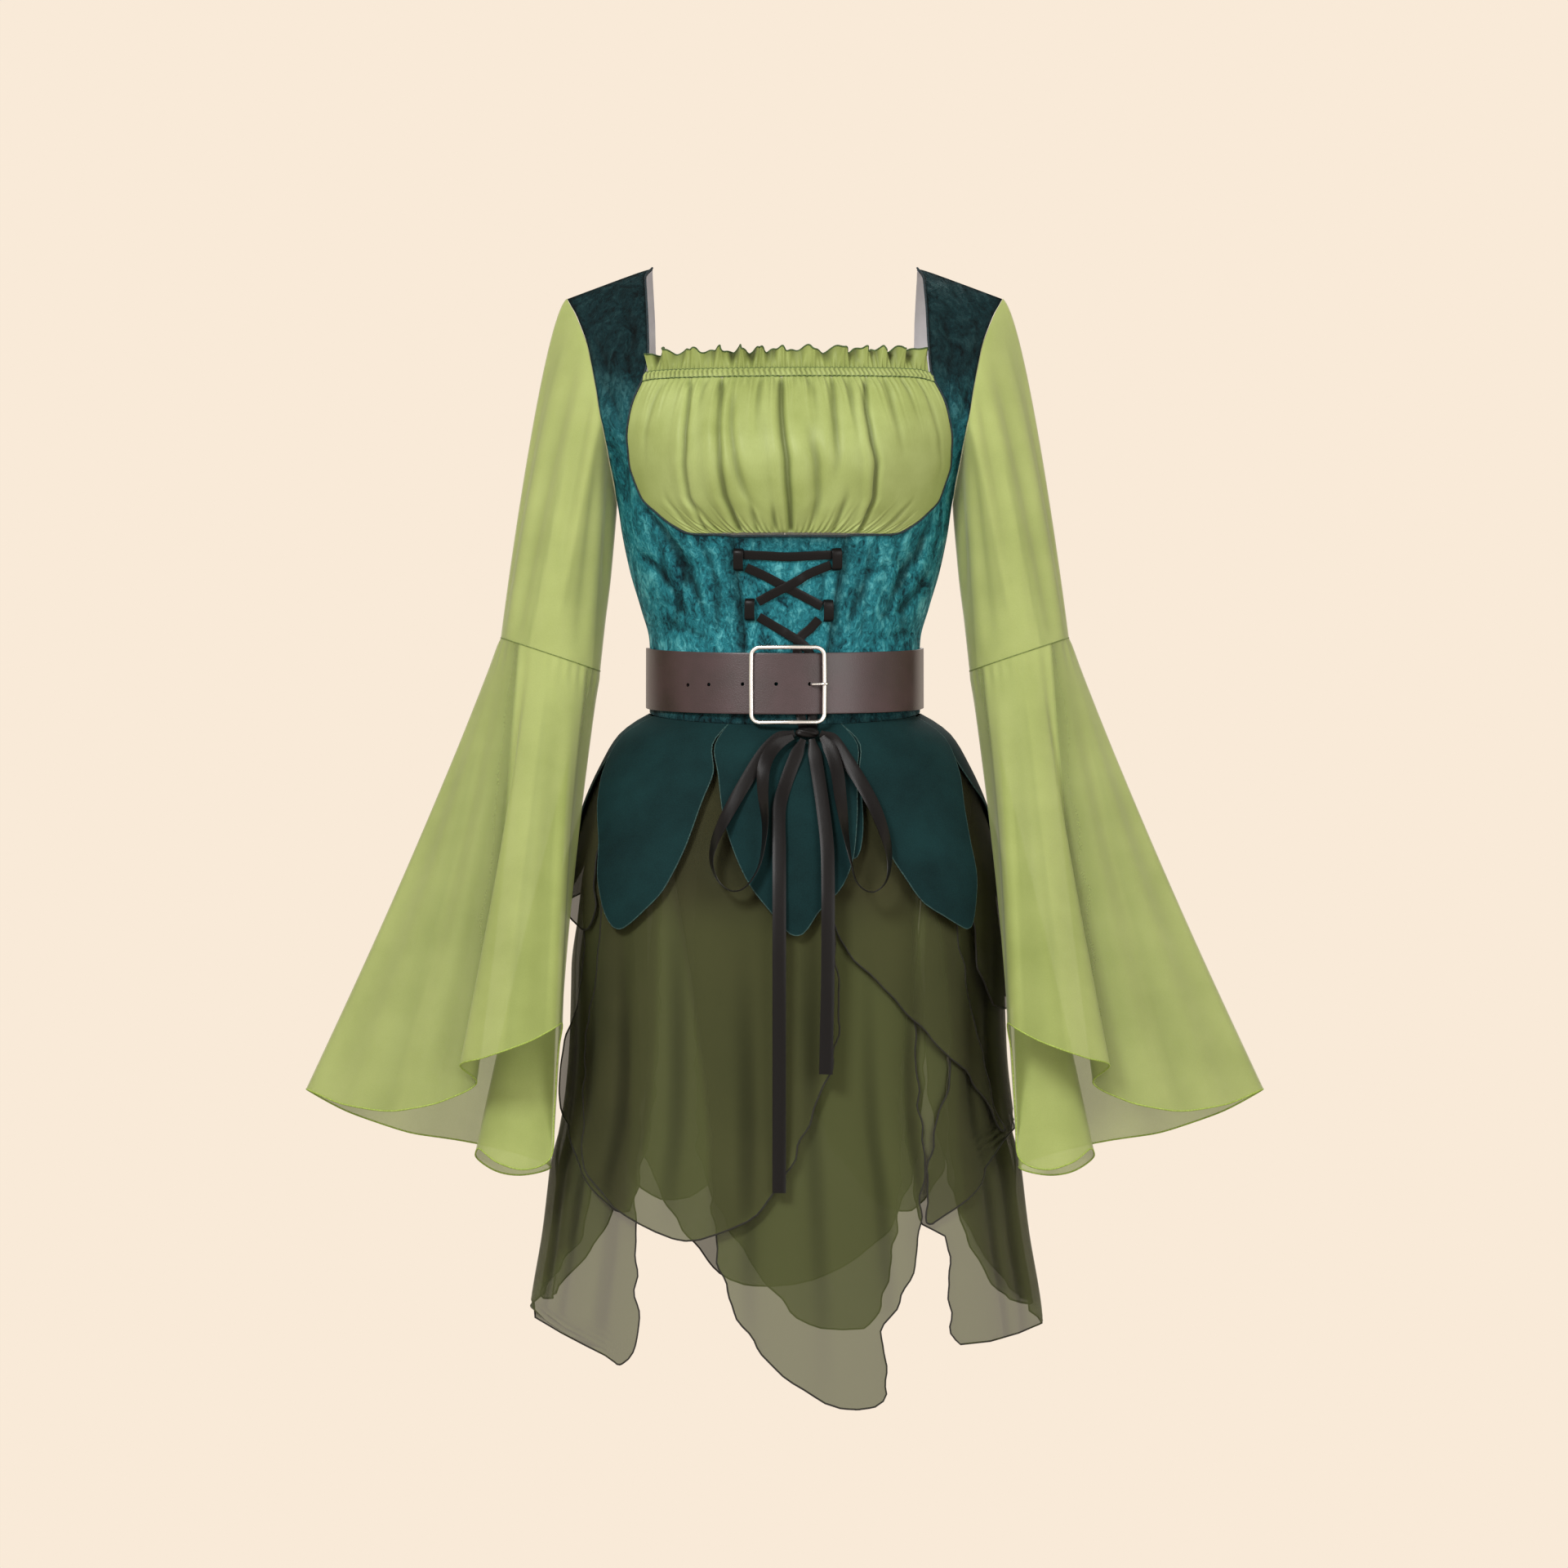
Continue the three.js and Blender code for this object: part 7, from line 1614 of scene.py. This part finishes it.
# Peplum: nine leaves of dark green crepe in two layers, sewn into the waist seam under the belt
# and overlocked all round with a slightly lighter thread. They hang stiff and nearly flat.
LEAVES = (
    ("front_left", 0, ((0, -72, -24), (16, -75, -25.2), (44, -72, -22), (68, -67, -23.6),
                       (114, -58, -27), (150, -54, -31.5), (173, -51, -38), (186, -47.5, -43.5))),
    ("front_center", 0, ((0, -24, 24), (16, -24.2, 25.2), (45, -20.3, 22), (89, -16.3, 19.7),
                         (118, -12.8, 18), (145, -8.6, 14.5), (168, -3.4, 8.3), (187, 1.2, 4.4))),
    ("front_right", 0, ((0, 24, 72), (16, 26.2, 71), (45, 23, 66), (83, 26, 59.4), (116, 28, 57.6),
                        (142, 32, 56.7), (162, 36.6, 55.5), (178, 44, 54), (187, 49, 52.5))),
    ("hip_left", 1, ((0, -120, -72), (27, -122, -76), (50, -122, -82), (102, -119, -83.5),
                     (140, -114, -87), (165, -108, -92), (182, -102, -97.5))),
    ("hip_right", 1, ((0, 72, 120), (31, 71, 122), (59, 75, 122), (86, 84, 121), (110, 90, 119),
                      (140, 95, 115), (165, 99.5, 110.5), (180, 103, 107))),
    ("front_under", 1, ((0, 12, 36), (16, 12.5, 31.5), (41, 12, 23.4), (70, 13, 22.5),
                        (92, 14, 21.8), (111, 15, 20.5), (119, 16.6, 19.2))),
    ("back_right", 0, ((0, 108, 156), (16, 107, 155.6), (45, 107, 155), (83, 111, 154),
                       (116, 115, 152), (142, 119, 149), (165, 124, 144), (186, 131, 135.5))),
    ("back_center", 0, ((0, 156, 204), (16, 156.6, 203.4), (45, 157.5, 202.5), (89, 160, 200),
                        (118, 163, 197), (145, 168, 193), (168, 173, 188), (188, 178.5, 182))),
    ("back_left", 0, ((0, 204, 252), (16, 204.4, 253), (45, 205, 253), (83, 206, 249),
                      (116, 208, 245), (142, 211, 241), (165, 216, 236), (184, 224, 228.5))),
)


def leaf_crepe():
    """Heavy polyester crepe: a fine pebbled matt surface, dark blue-green, slightly uneven."""
    material, tree, shader, place = new_material("dark_green_crepe", {
        "Roughness": 0.75, "Sheen Weight": 0.02, "Sheen Roughness": 0.6,
        "Specular IOR Level": 0.05,
    })
    pebble = add_node(tree, "ShaderNodeTexNoise", {"Vector": place}, {"Scale": 950, "Detail": 3})
    cloud = add_node(tree, "ShaderNodeTexNoise", {"Vector": place}, {"Scale": 20, "Detail": 3})
    mixed = add_node(tree, "ShaderNodeMath", {0: pebble.outputs[0], 2: cloud.outputs[0]}, {1: 0.5},
                     operation="MULTIPLY_ADD")
    shade = add_node(tree, "ShaderNodeValToRGB", {"Fac": mixed.outputs[0]})
    shade.color_ramp.elements[0].position = 0.45
    shade.color_ramp.elements[0].color = linear("0A2022")
    shade.color_ramp.elements[1].position = 1.0
    shade.color_ramp.elements[1].color = linear("133335")
    tree.links.new(shade.outputs["Color"], shader.inputs["Base Color"])
    bump = add_node(tree, "ShaderNodeBump", {"Height": pebble.outputs[0]},
                    {"Strength": 0.4, "Distance": 0.0004})
    tree.links.new(bump.outputs[0], shader.inputs["Normal"])
    return material


CREPE = leaf_crepe()
LEAF_THREAD = stitching_thread("leaf_overlock_thread", "0E2A2B", "2A524F")
for leaf_name, layer, rows in LEAVES:
    hang_piece(f"crepe_leaf_{leaf_name}", f"leaf_{leaf_name}", layer, rows, CREPE, 1.0,
               LEAF_THREAD, 0.6)


# Skirt: fifteen petals of dark olive chiffon in five layers under the peplum, each with a narrow
# rolled hem in dark thread. One layer is sheer, and where two or three lie together it darkens.


def skirt_chiffon():
    """Polyester chiffon: fine open plain weave, dark olive. A single layer hides about four
    fifths of what is behind it; where a petal lies alone its colour is painted paler, as lit from
    behind, and its folds get painted shade."""
    material, tree, shader, place = new_material("dark_olive_chiffon", {
        "Roughness": 0.8, "Sheen Weight": 0.05, "Sheen Roughness": 0.5,
        "Specular IOR Level": 0.1, "Alpha": 0.57,
    })
    weave = add_node(tree, "ShaderNodeTexNoise", {"Vector": place}, {"Scale": 1200, "Detail": 2})
    cloud = add_node(tree, "ShaderNodeTexNoise", {"Vector": place}, {"Scale": 14, "Detail": 3})
    mixed = add_node(tree, "ShaderNodeMath", {0: weave.outputs[0], 2: cloud.outputs[0]}, {1: 0.4},
                     operation="MULTIPLY_ADD")
    shade = add_node(tree, "ShaderNodeValToRGB", {"Fac": mixed.outputs[0]})
    shade.color_ramp.elements[0].position = 0.4
    shade.color_ramp.elements[0].color = linear("333321")
    shade.color_ramp.elements[1].position = 0.95
    shade.color_ramp.elements[1].color = linear("48462E")
    # Painted light: where a petal lies alone the colour is blended towards the paler olive 5A6039.
    painted_backlight = add_node(tree, "ShaderNodeAttribute", attribute_name="alone")
    through = add_node(tree, "ShaderNodeMix", {"Factor": painted_backlight.outputs["Fac"]}, data_type="RGBA")
    tree.links.new(shade.outputs["Color"], through.inputs[6])
    through.inputs[7].default_value = linear("5A6039")
    # Painted shade in the petals' folds.
    fold = add_node(tree, "ShaderNodeAttribute", attribute_name="painted_shade")
    shaded = add_node(tree, "ShaderNodeVectorMath", {0: through.outputs[2]}, operation="SCALE")
    tree.links.new(fold.outputs["Fac"], shaded.inputs["Scale"])
    tree.links.new(shaded.outputs[0], shader.inputs["Base Color"])
    return material


CHIFFON_OLIVE = skirt_chiffon()
HEM_THREAD = stitching_thread("dark_hem_thread", "0C0B08", "1A1813")
for petal_name, layer, rows in PETALS:
    hang_piece(f"chiffon_petal_{petal_name}", f"petal_{petal_name}", layer, rows, CHIFFON_OLIVE,
               0.5, HEM_THREAD, 0.8, ripple=0.4)
